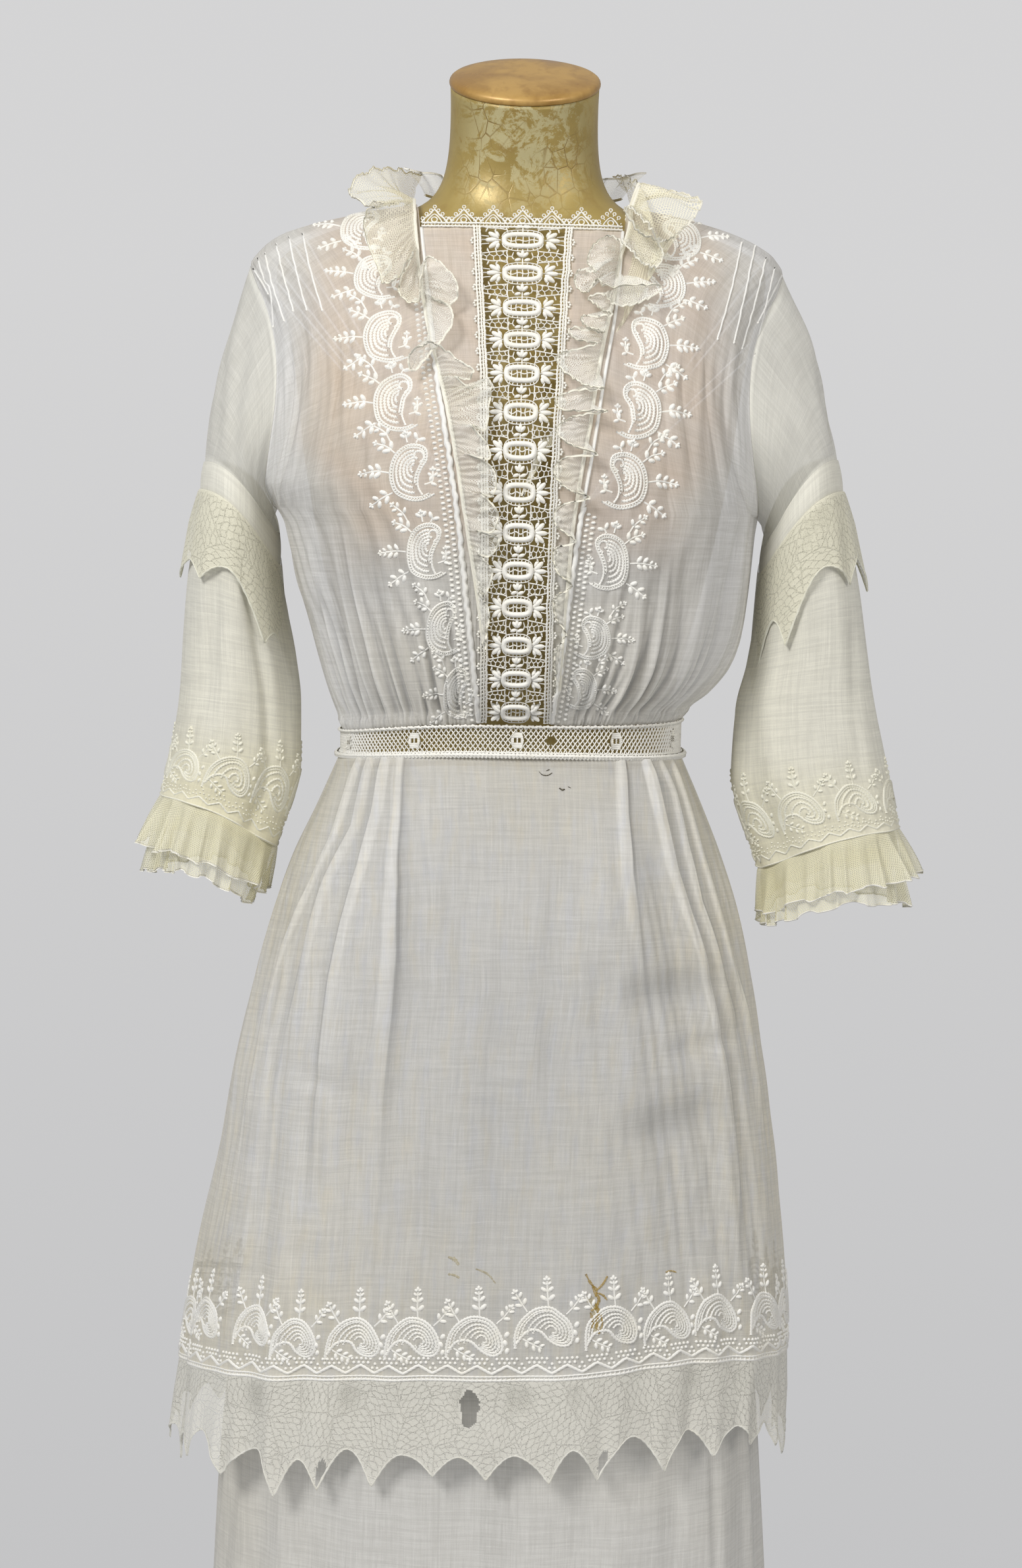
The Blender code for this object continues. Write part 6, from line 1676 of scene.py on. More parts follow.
def lace_unit(k):
    d = Design()
    rng = np.random.RandomState(300 + k)
    j = lambda s=0.35: rng.uniform(-s, s)

    def oval(a, b, t, power=2.9):
        c, s = math.cos(t), math.sin(t)
        return a * math.copysign(abs(c) ** (2 / power), c), b * math.copysign(abs(s) ** (2 / power), s)

    # padded ring and the bars inside it
    d.line([oval(11.0, 4.15, t) for t in np.arange(36) * 2 * math.pi / 36], 3.7e-3, 2.1e-3, step=1.1, closed=True, sides=5)
    d.line([(-9.2, 0.4), (-6.2, -0.7 + j()), (-2.4, 0.5 + j()), (1.6, -0.5 + j()), (5.6, 0.7 + j()), (9.2, -0.2)], 0.85e-3, 0.6e-3)
    for x in (-7.2, -3.6, 0.0, 3.6, 7.2):
        d.line([(x + j(), -3.0), (x + j(0.7), 0), (x + j(), 3.0)], 0.75e-3, 0.6e-3)
    # a cord round the ring, tied to it with short bars
    for q in (1, -1):
        arc = [oval(12.4, 7.3, t) for t in np.linspace(0.16, math.pi - 0.16, 19)]
        d.line([(x, q * (y + j(0.15))) for x, y in arc], 0.75e-3, 0.55e-3)
        for t in np.linspace(0.30, math.pi - 0.30, 10):
            (x0, y0), (x1, y1) = oval(11.0, 5.6, t), oval(12.4, 7.3, t)
            d.line([(x0, q * y0), (x1 + j(0.2), q * y1)], 0.7e-3, 0.55e-3, straight=True)
    for s in (-1, 1):
        # leaves fanning from the end of the ring to the braid
        for a, ln, at in ((0.0, 4.3, 5.4), (0.62, 4.2, 4.9), (-0.62, 4.2, 4.9)):
            x, y = s * (13.2 + at * math.cos(a)), at * 1.12 * math.sin(a)
            d.leaf(x, y, math.atan2(math.sin(a), s * math.cos(a)), ln, 1.75, 1.2, 12)
        for a in (1.12, -1.12):
            d.leaf(s * (14.4 + 1.3 * math.cos(a)), 4.7 * math.sin(a), math.atan2(math.sin(a), s * math.cos(a)), 2.3, 1.25, 1.0, 8)
        d.line([(s * 13.0, 0), (s * 24.8, 0.1)], 0.9e-3, 0.8e-3, step=3)
        for y in (-3.1, 3.1):
            d.line([(s * 20, y * 0.8), (s * 25.2, y)], 0.8e-3, 0.6e-3, step=3)
    # bud between the rings: three petals, two low leaves and a stem
    for a, ln, wd in ((math.pi / 2, 2.7, 1.35), (math.pi / 2 + 0.80, 2.6, 1.35), (math.pi / 2 - 0.80, 2.6, 1.35)):
        d.leaf(2.5 * math.cos(a), 11.3 + 2.3 * math.sin(a), a, ln, wd, 1.1, 10)
    for s in (-1, 1):
        d.leaf(s * 2.9, 9.4, 0.25 * s if s > 0 else math.pi + 0.25, 2.3, 1.25, 1.0, 8)
        d.line([(s * 5.2, 9.8), (s * 6.4, 11.5 + j()), (s * 5.4, 14.6)], 0.75e-3, 0.55e-3)
        d.line([(s * 6.4, 11.6), (s * 9.2, 11.5)], 0.7e-3, 0.5e-3)
        # the cord that closes the open ground on this side
        d.line([(s * 9.0, 6.6), (s * 9.6, 9.0), (s * 9.2 + j(), 11.5), (s * 9.6, 14.0), (s * 9.0, 16.4)], 0.85e-3, 0.6e-3)
        d.line([(s * 9.4, 15.6), (s * 14, 14.9 + j()), (s * 19, 14.4 + j()), (s * 25, 13.4)], 0.85e-3, 0.6e-3)
        d.line([(s * 9.4, 7.4), (s * 14, 8.1 + j()), (s * 19, 8.6 + j()), (s * 25, 9.6)], 0.85e-3, 0.6e-3)
        for x, y0, y1 in ((15.5, 15.0, 17.6), (20.5, 14.3, 17.2), (15.5, 8.0, 5.4), (20.5, 8.7, 5.8)):
            d.line([(s * (x + j()), y0), (s * (x + 1.0 + j()), y1)], 0.8e-3, 0.55e-3)
            d.knot(s * (x + 0.6), (y0 + y1) / 2, 0.75, 0.6, 5)
    d.line([(0, 6.0), (0, 10.5)], 0.9e-3, 0.6e-3)
    d.line([(0, 13.8), (0, 17.0)], 0.8e-3, 0.6e-3)

    def inside(x, y):
        ax = abs(x)
        return 9.0 < ax < 25.2 and abs(y - 11.5) < 4.1 - (ax - 9.4) * 0.135

    net_ground(d, inside, (-26, 7.2, 26, 15.8), 2.35, 0.68e-3, 0.5e-3, 310 + k, 0.42, squash=0.92)
    return d


def front_lace(x, z, out=0.0):
    P = on_body(x, z, out + 0.0012)
    N = unit(on_body(x, z, out + 0.0112) - P)
    return P, N


def build_front_lace():
    x_mid = lambda z: (FRONT_LINES(1, z) + FRONT_LINES(2, z)) / 2
    half = lambda z: (FRONT_LINES(2, z) - FRONT_LINES(1, z)) / 2
    # heights of the ovals, from where they are seen
    skin = SKINS["lace_base"]
    at = skin.pixels([(796, y) for y in OVALS])[0][:, 2]
    st = Stitches()
    up = np.concatenate([[at[0] + 0.023], at])
    for k, zc in enumerate(at):
        above = (at[k - 1] - zc) if k else (at[0] - at[1])
        below = (zc - at[k + 1]) if k + 1 < len(at) else (at[-2] - at[-1])

        def lay(q, zc=zc, above=above, below=below):
            dz = q[:, 1] * 1e3
            z = zc + np.where(dz > 0, dz / 23 * above, dz / 23 * below)
            z = np.clip(z, 1.0610, NECK_FRONT - 0.001)
            x = x_mid(z) + q[:, 0] * 1e3 / 25.0 * (half(z) - 0.0022)
            return front_lace(x, z)

        lace_unit(k).stitch(st, lay)
    st.build("lace_panel_threads", "lace_thread", "lace", ["lace_panel"])
    # braids: two cords with rungs, loops on the outer side
    for side, tag, col in ((-1, "left", 1), (1, "right", 2)):
        st = Stitches()
        z = spread(1.0605, NECK_FRONT, 260)
        mid = FRONT_LINES(col, z)
        wob = 0.00025 * hum(z * 30, 320 + side)
        for off in (-0.0019, 0.0001, 0.0019):
            P, N = front_lace(mid + off + wob, z, 0.0006)
            st.line(P, N, np.where(np.arange(260) % 2 == 0, 0.0016, 0.0010) * (0.9 if off == 0.0001 else 1.1), 0.0011, sides=3)
        for j in range(0, 258, 2):
            P, N = front_lace(np.array([mid[j] - 0.0019, mid[j + 1] + 0.0019]), np.array([z[j], z[j + 1]]), 0.0006)
            st.line(P, N, 0.0008, 0.0007)
        for zc in np.arange(1.068, NECK_FRONT - 0.004, 0.0112):
            for dz in (-0.0016, 0.0, 0.0016):
                P, N = front_lace(np.array([FRONT_LINES(col, zc) + side * (0.0036 + 0.0007 * (dz == 0))]), np.array([zc + dz]), 0.0004)
                st.dome(P[0], N[0], (0, 0, 1), 0.0010, 0.0010, 0.0009, 6)
        st.build(f"lace_braid_{tag}_threads", "lace_thread", "lace", [f"lace_braid_{tag}"])


def build_neck_edging():
    st = Stitches()
    lay0 = lambda x, h, out=0.0: on_body(x, NECK_FRONT + h * 0.5 + 0 * x, 0.0012 + out) + np.stack([0 * x, 0.10 * h * 1.0, h * 0.5], -1)

    def lay(q):
        P = lay0(q[:, 0], q[:, 1])
        N = unit(on_body(q[:, 0], NECK_FRONT + 0 * q[:, 0], 0.01) - on_body(q[:, 0], NECK_FRONT + 0 * q[:, 0]))
        return P, N

    x = spread(-NECK_HALF + 0.001, NECK_HALF - 0.001, 190) * 1e3
    d = Design()
    for h, w in ((-1.2, 1.5), (1.2, 1.5)):
        d.lines.append((np.stack([x, h + 0.15 * np.sin(x * 2)], -1), w * 1e-3, 1.3e-3, False, 0.18, 5))
    for j in np.arange(-68, 68, 2.4):
        d.line([(j, -1.0), (j + 0.6, 1.2)], 0.6e-3, 0.7e-3, straight=True)
    for c in np.arange(-61, 62, 20.4):
        # pointed groups: an arch with a ring in it, small loops up both sides and one at the point
        d.line([(c - 9.2, 1.4), (c - 6.4, 4.6), (c - 3.4, 7.0), (c, 10.6), (c + 3.4, 7.0), (c + 6.4, 4.6), (c + 9.2, 1.4)], 1.15e-3, 0.9e-3, 1.0)
        d.line([(c - 5.4, 1.6), (c - 3.6, 4.4), (c, 7.4), (c + 3.6, 4.4), (c + 5.4, 1.6)], 0.9e-3, 0.7e-3, 1.0)
        d.line([(c + 2.0 * math.cos(a), 3.5 + 1.8 * math.sin(a)) for a in np.arange(8) * math.pi / 4], 0.9e-3, 0.8e-3, 0.9, closed=True)
        for x0, y0, a in ((-8.2, 4.4, 2.3), (-5.6, 7.6, 2.2), (-2.6, 10.2, 2.0), (0.0, 13.0, 1.57), (2.6, 10.2, 1.14), (5.6, 7.6, 0.94), (8.2, 4.4, 0.84)):
            d.line([(c + x0 + 1.15 * math.cos(b), y0 + 1.15 * math.sin(b)) for b in np.arange(6) * math.pi / 3], 0.8e-3, 0.7e-3, 0.8, closed=True)
            d.line([(c + x0 - 1.2 * math.cos(a), y0 - 1.2 * math.sin(a)), (c + x0 - 2.2 * math.cos(a), y0 - 2.2 * math.sin(a))], 0.8e-3, 0.7e-3, straight=True)
        e = c + 10.2
        d.line([(e - 2.4, 1.4), (e, 4.4), (e + 2.4, 1.4)], 0.9e-3, 0.7e-3, 0.9)
        d.knot(e, 4.9, 0.9, 0.8)
    # a sprig stays within the width of the neck
    keep = Design()
    for p, w, h, c, b, s in d.lines:
        if np.abs(p[:, 0]).max() < 70.4:
            keep.lines.append((p, w, h, c, b, s))
    keep.leaves = [l for l in d.leaves if abs(l[0]) < 69]
    keep.stitch(st, lay)
    st.build("neck_edging_threads", "lace_thread", "lace", ["neck_edging"])


# ---------------------------------------------------------------- the lattice at the waist
def build_waist():
    deg = spread(-180, 540, 2881)
    base = section(BODICE, np.full(len(deg), WAIST_TOP), deg, BODY_POWER, 0.0006)
    run = np.concatenate([[0], np.cumsum(np.linalg.norm(np.diff(base, axis=0), axis=1))])
    zero = np.interp(0, deg, run)
    run = run - zero

    def lay(q):
        """flat metres: x round from the centre front, y up from the middle of the band."""
        a = np.interp(q[:, 0], run, deg)
        a = (a + 180.0) % 360.0 - 180.0
        lo, hi = bottom_of_waist(a), top_of_waist(a) - 0.2 * GAP
        P = section(BODICE, np.full(len(a), WAIST_TOP), a, BODY_POWER, 0.0010 + 0.0034 * ramp(-0.0080, -0.0100, q[:, 1]) + 0.0014 * ramp(0.0085, 0.0098, q[:, 1]))
        P[:, 2] = (lo + hi) / 2 + q[:, 1] * (hi - lo) / 0.021
        N = unit(section(BODICE, np.full(len(a), WAIST_TOP), a, BODY_POWER, 0.0110) - section(BODICE, np.full(len(a), WAIST_TOP), a, BODY_POWER, 0.0010))
        return P, N

    for tag, x0, x1 in (("front", np.interp(-90, deg, run), np.interp(90, deg, run)), ("back", np.interp(90, deg, run), np.interp(270, deg, run))):
        st = Stitches()
        d = Design()
        X0, X1 = x0 * 1e3, x1 * 1e3
        rng = np.random.RandomState(400)
        motifs = []
        if tag == "front":
            motifs = [float(np.interp(g, deg, run)) * 1e3 for g in WAIST_MOTIFS]
        else:
            motifs = list(np.arange(X0 + 30, X1 - 10, 55.0))
        low, high = -8.6, 9.2
        pitch = 3.5 if tag == "front" else 4.4
        cross = 5 if tag == "front" else 4
        n = int((X1 - X0) / pitch) + 6
        hole = [(m, 0.3, 4.4, 5.2) for m in motifs]
        if tag == "front":
            hole.append((HOLE_X * 1e3, 0.5, 3.0, 2.6))
        for k in range(-6, n):
            for s in (-1, 1):
                xs = X0 + k * pitch + (np.arange(13) / 12) * cross * pitch * 0.78 * s + (cross * pitch * 0.78 if s < 0 else 0)
                ys = low + (high - low) * np.arange(13) / 12
                xs = xs + 0.25 * np.sin(ys * 1.1 + k)
                ok = (xs > X0) & (xs < X1)
                for m, c, rx, ry in hole:
                    ok &= ((xs - m) / rx) ** 2 + ((ys - c) / ry) ** 2 > 1
                i = 0
                while i < 13:
                    if ok[i]:
                        j = i
                        while j + 1 < 13 and ok[j + 1]:
                            j += 1
                        if j > i:
                            d.lines.append((np.stack([xs[i:j + 1], ys[i:j + 1]], -1), (0.82e-3 if tag == "front" else 1.1e-3), (0.6 + 0.25 * (s > 0)) * 1e-3, False, 0.0, 3))
                        i = j + 1
                    else:
                        i += 1
        # knots where the threads cross
        step = (high - low) / (cross * 0.78 * 2)
        for k in range(-2, 2 * n):
            for r in range(2 * cross):
                x = X0 + (k + 0.5 * (r % 2)) * pitch
                y = low + r * step
                if X0 < x < X1 and y < high and all(((x - m) / rx) ** 2 + ((y - c) / ry) ** 2 > 1.05 for m, c, rx, ry in hole):
                    d.knot(x, y, 0.58, 0.9, 5)
        # woven motifs
        for m in motifs:
            for r in range(9):
                y = -4.8 + r * 1.2
                w = 4.6 - abs(r - 4) * 0.30
                if 3 <= r <= 5:
                    d.line([(m - w, y), (m - 2.4, y)], 1.6e-3, 0.9e-3, straight=True)
                    d.line([(m + 2.4, y), (m + w, y)], 1.6e-3, 0.9e-3, straight=True)
                    d.line([(m - 0.5, y), (m + 0.5, y)], 1.6e-3, 0.9e-3, straight=True)
                else:
                    d.line([(m - w, y), (m, y + 0.1), (m + w, y)], 1.6e-3, 0.9e-3, straight=True)
        # cords above and below, then the looped braid
        xs = np.arange(X0 + 0.3, X1 - 0.3, 1.3)
        d.lines.append((np.stack([xs, high + 0.5 + 0.35 * np.sin(xs * 1.1)], -1), 2.0e-3, 1.5e-3, False, 0.3, 3))
        d.lines.append((np.stack([xs, np.full(len(xs), low - 0.1)], -1), 1.5e-3, 1.1e-3, False, 0.2, 3))
        d.lines.append((np.stack([xs, low - 1.7 + 0.25 * np.sin(xs * 1.7)], -1), 2.8e-3, 1.9e-3, False, 0.3, 3))
        for x in np.arange(X0 + 1.5, X1 - 1.5, 2.7):
            d.line([(x - 1.2, low - 1.4), (x - 0.9, low - 2.9), (x, low - 3.6), (x + 0.9, low - 2.9), (x + 1.2, low - 1.4)], 1.5e-3, 1.5e-3, 1.2)
        d.stitch(st, lay)
        st.build(f"waistband_{tag}_lattice", "lace_thread", "lace", [f"waistband_{tag}"])


# ---------------------------------------------------------------- leaf lace on hem and sleeves
def dag_shape(n, deep_of, seed):
    """Depth of the lace's edge at x, in points (0 to n): hollow sides between sharp, uneven tips."""
    rng = np.random.RandomState(seed)
    long = 1 + rng.uniform(-0.10, 0.12, n + 2)
    high = rng.uniform(0.64, 0.76, n + 2)
    tip = rng.uniform(0.38, 0.62, n + 2)

    def depth(x):
        x = np.asarray(x, float)
        i = np.clip(x.astype(int), 0, n - 1)
        t = np.clip(x - i, 0, 1)
        s = np.where(t < tip[i], t / tip[i], (1 - t) / (1 - tip[i]))
        base = np.where(t < tip[i], high[i], high[i + 1])
        return deep_of(x) * (base + (long[i] - base) * s ** 1.75)

    depth.tip = tip
    return depth


def lay_leaf_lace(name, nodes, slot, run_to, lay, count, wide, deep_of, seed, material, rows=26, per=22, torn=None, flip=False, aged=0.2):
    """Sheet of lace with its points. lay takes (x, y) flat metres, y down is negative."""
    depth = dag_shape(count, deep_of, seed)
    n = count * per + 1
    u = spread(0, count, n)
    x = run_to(u)
    D = depth(u)
    k = spread(0, 1, rows)
    Q = np.stack([np.broadcast_to(x, (rows, n)), -k[:, None] * D], -1)
    keep = None
    holes = torn.holes if torn is not None else []
    # open ground shows in the upper hollows between two sprays
    tip = np.array([depth.tip[min(int(v), count - 1)] for v in u])
    hollow = np.abs(((u - np.floor(u)) - tip + 0.5) % 1.0) * 2 - 1
    loose = 0.75 * ramp(0.35, 0.95, np.abs(hollow)) * ramp(0.1, 0.7, hum(u * 0.37 + 2.0, seed + 40) + 0.35)
    leaf = 1 - loose[None, :] * ramp(0.05, 0.16, k)[:, None] * ramp(0.60, 0.25, k)[:, None]
    P, N = lay(Q.reshape(-1, 2))
    P = P.reshape(rows, n, 3) + N.reshape(rows, n, 3) * (0.0003 * leaf)[..., None]
    edge = np.maximum(ramp(0.955, 0.975, k)[:, None] * np.ones(n), ramp(0.05, 0.03, k)[:, None])
    if holes:
        mid = (Q[:-1, :-1] + Q[1:, 1:]) / 2
        keep = np.ones(mid.shape[:2], bool)
        for hx, hy, rx, ry in holes:
            way = np.arctan2(mid[..., 1] - hy, mid[..., 0] - hx)
            ragged = 1 + 0.16 * np.sin(3 * way + hx * 300) + 0.10 * np.sin(7 * way + hy * 500)
            keep &= ((mid[..., 0] - hx) / rx) ** 2 + ((mid[..., 1] - hy) / ry) ** 2 > ragged
            far = ((Q[..., 0] - hx) / rx) ** 2 + ((Q[..., 1] - hy) / ry) ** 2
            edge = np.maximum(edge, ramp(1.6, 1.2, far))
    ob, skin = grid(name, P, material, slot, nodes, flip=flip, uv=Q.copy(), keep=keep,
                    marks={"dense": np.clip(np.maximum(leaf * 0.72, edge * 0.8), 0, 1), "rim": leaf * (1 - edge), "aged": aged})
    # bound edge with tiny loops
    st = Stitches()
    Pe, Ne = lay(np.stack([x, -D * 0.99], -1))
    st.line(Pe, Ne, np.where(np.arange(n) % 3 == 0, 0.0019, 0.0013), 0.0008, sides=3)
    st.build(name + "_edge", "leaf_thread_cream" if "cream" in material else "leaf_thread", slot)
    return ob, skin


def build_leaf_lace():
    # tunic hem
    deg = spread(-180, 540, 2881)
    hem = tunic(deg, 1.0)
    run = np.concatenate([[0], np.cumsum(np.linalg.norm(np.diff(hem[:, :2], axis=0), axis=1))])
    run = run - np.interp(0, deg, run)

    def lay(q):
        a = np.interp(q[:, 0], run, deg)
        z = hem_height(a) + 0.0012
        sag = -0.0004 + 0.0022 * hum(a / 40.0, 620) * np.clip(-q[:, 1] / 0.03, 0, 1) + 0.0016 * hum(a / 11.0, 621) * np.clip(-q[:, 1] / 0.05, 0, 1.2) ** 1.5
        wrap = (a + 90.0) % 360.0 - 90.0
        flare = sag + np.where(wrap <= 90.0, np.interp(wrap, *HEM_OUT["front"]), np.interp(wrap, *HEM_OUT["back"]))
        P = section(TUNIC, np.maximum(0.5, z + q[:, 1]), a, SKIRT_POWER, flare)
        Q = section(TUNIC, np.maximum(0.5, z + q[:, 1]), a, SKIRT_POWER, flare + 0.01)
        P[:, 2] = Q[:, 2] = z + q[:, 1]
        return P, unit(Q - P)

    SKINS["hem_run"] = (run, deg)
    for tag, a0, a1, count in (("front", -90.0, 90.0, 17), ("back", 90.0, 270.0, 17)):
        x0, x1 = float(np.interp(a0, deg, run)), float(np.interp(a1, deg, run))
        if tag == "front":
            # tips and hollows where they are seen
            tips = HEM_TIPS
            edges = np.interp(tips, deg, run)
            count = len(tips) - 1
            run_to = lambda u, e=edges, c=count: np.interp(u, np.arange(c + 1), e)
            torn = Torn(run, deg)
        else:
            run_to = lambda u, a=x0, b=x1, c=count: a + (b - a) * np.asarray(u, float) / c
            torn = None
        long = lambda u, r=run_to: lace_length(np.interp(r(u), run, deg)) * 1.16
        lay_leaf_lace(f"tunic_lace_{tag}_sheet", [f"tunic_lace_{tag}"], "lace", run_to, lay, count, 0.036, long, 7 + (tag == "back"), "leaf_lace",
                      rows=40 if tag == "front" else 26, per=34 if tag == "front" else 22, torn=torn)
    # sleeves
    for tag, (side, table, top, band, end) in SLEEVES.items():
        turn = spread(-180, 540, 1441)
        z0 = band + 0.0008
        rim = tube(table, side, np.full(len(turn), z0), turn, 0.0038)
        srun = np.concatenate([[0], np.cumsum(np.linalg.norm(np.diff(rim[:, :2], axis=0), axis=1))])
        srun = srun - np.interp(0, turn, srun)

        def lay(q, side=side, table=table, z0=z0, srun=srun, turn=turn):
            t = np.interp(q[:, 0], srun, turn)
            f = -q[:, 1] / 0.06
            bulge = 0.0016 + 0.0044 * np.clip(f * 2.5, 0, 1) ** 0.6 * (0.5 + 0.5 * np.cos(np.radians(t)) * 0.6) + 0.0012 * hum(t / 60.0, 640 + side) * np.clip(f, 0, 1)
            P = tube(table, side, z0 + 0 * t, t, bulge)
            low = tube(table, side, z0 + q[:, 1], t, bulge)
            low[:, 2] = P[:, 2] + q[:, 1]
            Q = tube(table, side, z0 + q[:, 1], t, bulge + 0.01)
            Q[:, 2] = low[:, 2]
            return low, unit(Q - low)

        cuts = SLEEVE_TIPS[tag]
        edges = np.interp(cuts, turn, srun)
        count = len(cuts) - 1
        run_to = lambda u, e=edges, c=count: np.interp(u, np.arange(c + 1), e)
        long = lambda u, r=run_to, s=srun, t=turn: 0.069 - 0.013 * np.cos(np.radians(np.interp(r(u), s, t))) * (np.cos(np.radians(np.interp(r(u), s, t))) < 0)
        lay_leaf_lace(f"sleeve_lace_{tag}_sheet", [f"sleeve_lace_{tag}"], "lace", run_to, lay, count, 0.036, long, 12 + side, "leaf_lace_cream",
                      rows=42, per=30, flip=side > 0, aged=0.30)


class Torn:
    """Two worn points and an oval hole in the front of the hem lace."""

    def __init__(self, run, deg):
        to = lambda a: float(np.interp(a, deg, run))
        self.holes = [(to(HOLE_HEM[0]), -HOLE_HEM[1], 0.0066, 0.0135), (to(TEARS[0]), -0.070, 0.004, 0.012), (to(TEARS[1]), -0.066, 0.004, 0.010)]

    def __call__(self, u):
        return np.ones_like(np.asarray(u, float))


def build_lace():
    build_front_lace_base()
    build_front_lace()
    build_neck_edging()
    build_waist()
    build_leaf_lace()


def build_front_lace_base():
    rows = []
    for z in spread(1.0600, NECK_FRONT, 60):
        x = spread(float(FRONT_LINES(1, z)), float(FRONT_LINES(2, z)), 12)
        rows.append(on_body(x, np.full(12, z), 0.0012))
    P = np.array(rows)
    idx = np.arange(P.shape[0] * P.shape[1]).reshape(P.shape[:2])
    faces = np.stack([idx[:-1, :-1], idx[:-1, 1:], idx[1:, 1:], idx[1:, :-1]], -1).reshape(-1, 4)
    SKINS["lace_base"] = Skin(P, faces)


# ---------------------------------------------------------------- where things are seen on the photograph's dress
HEM_TIPS = [-90, -82, -72, -62, -51, -40, -29, -19, -8, 3, 14, 25, 35, 46, 57, 68, 79, 90]
SLEEVE_TIPS = {"left": [-10, 40, 95, 147, 195, 245, 297, 350], "right": [-15, 30, 82, 138, 195, 245, 297, 345]}
WAIST_MOTIFS = (-78, -38, 3, 40, 74)
HOLE_X = 0.026
HOLE_HEM = (-17, 0.031)
TEARS = (-46, 18)


# ---------------------------------------------------------------- where things are seen on the photographed dress
def pixel(P):
    d = np.asarray(P, float) - EYE
    w = d @ AHEAD
    return WIDE / 2 + FOCAL * (d @ SIDE_AXIS) / w, HIGH / 2 - FOCAL * (d @ UP_AXIS) / w


def turn_seen(px, surface, a0=-88.0, a1=88.0):
    """The angle round the body at which a surface, deg -> points, is seen at px."""
    a = spread(a0, a1, 400)
    x, _ = pixel(surface(a))
    order = np.argsort(x)
    return np.interp(px, x[order], a[order])


def place_marks():
    global HEM_TIPS, WAIST_MOTIFS, HOLE_X, HOLE_HEM, TEARS

    def lace_low(a):
        z = hem_height(a) - 0.048
        P = section(TUNIC, z, a, SKIRT_POWER, 0.0015)
        P[:, 2] = z
        return P

    valleys_px = [301, 388, 451, 522, 608, 697, 782, 869, 960, 1051, 1123, 1163]
    inner = list(turn_seen(np.array(valleys_px, float), lace_low))
    left, right = inner[0] + 90, 90 - inner[-1]
    nl, nr = max(1, round(left / 9.5)), max(1, round(right / 9.5))
    HEM_TIPS = [-90 + left * i / nl for i in range(nl)] + inner + [inner[-1] + right * (i + 1) / nr for i in range(nr)]

    def waist_mid(a):
        P = section(BODICE, np.full(len(a), WAIST_TOP), a, BODY_POWER, 0.001)
        P[:, 2] = (bottom_of_waist(a) + top_of_waist(a)) / 2
        return P

    WAIST_MOTIFS = list(turn_seen(np.array([530.0, 629, 785, 935, 1020]), waist_mid))
    a = turn_seen(np.array([838.0]), waist_mid)
    run = section(BODICE, np.full(400, WAIST_TOP), spread(0, float(a[0]), 400), BODY_POWER, 0.0006)
    HOLE_X = float(np.linalg.norm(np.diff(run, axis=0), axis=1).sum())
    HOLE_HEM = (float(turn_seen(np.array([711.0]), lace_low)[0]), 0.0200)
    TEARS = tuple(float(v) for v in turn_seen(np.array([490.0, 917.0]), lace_low))


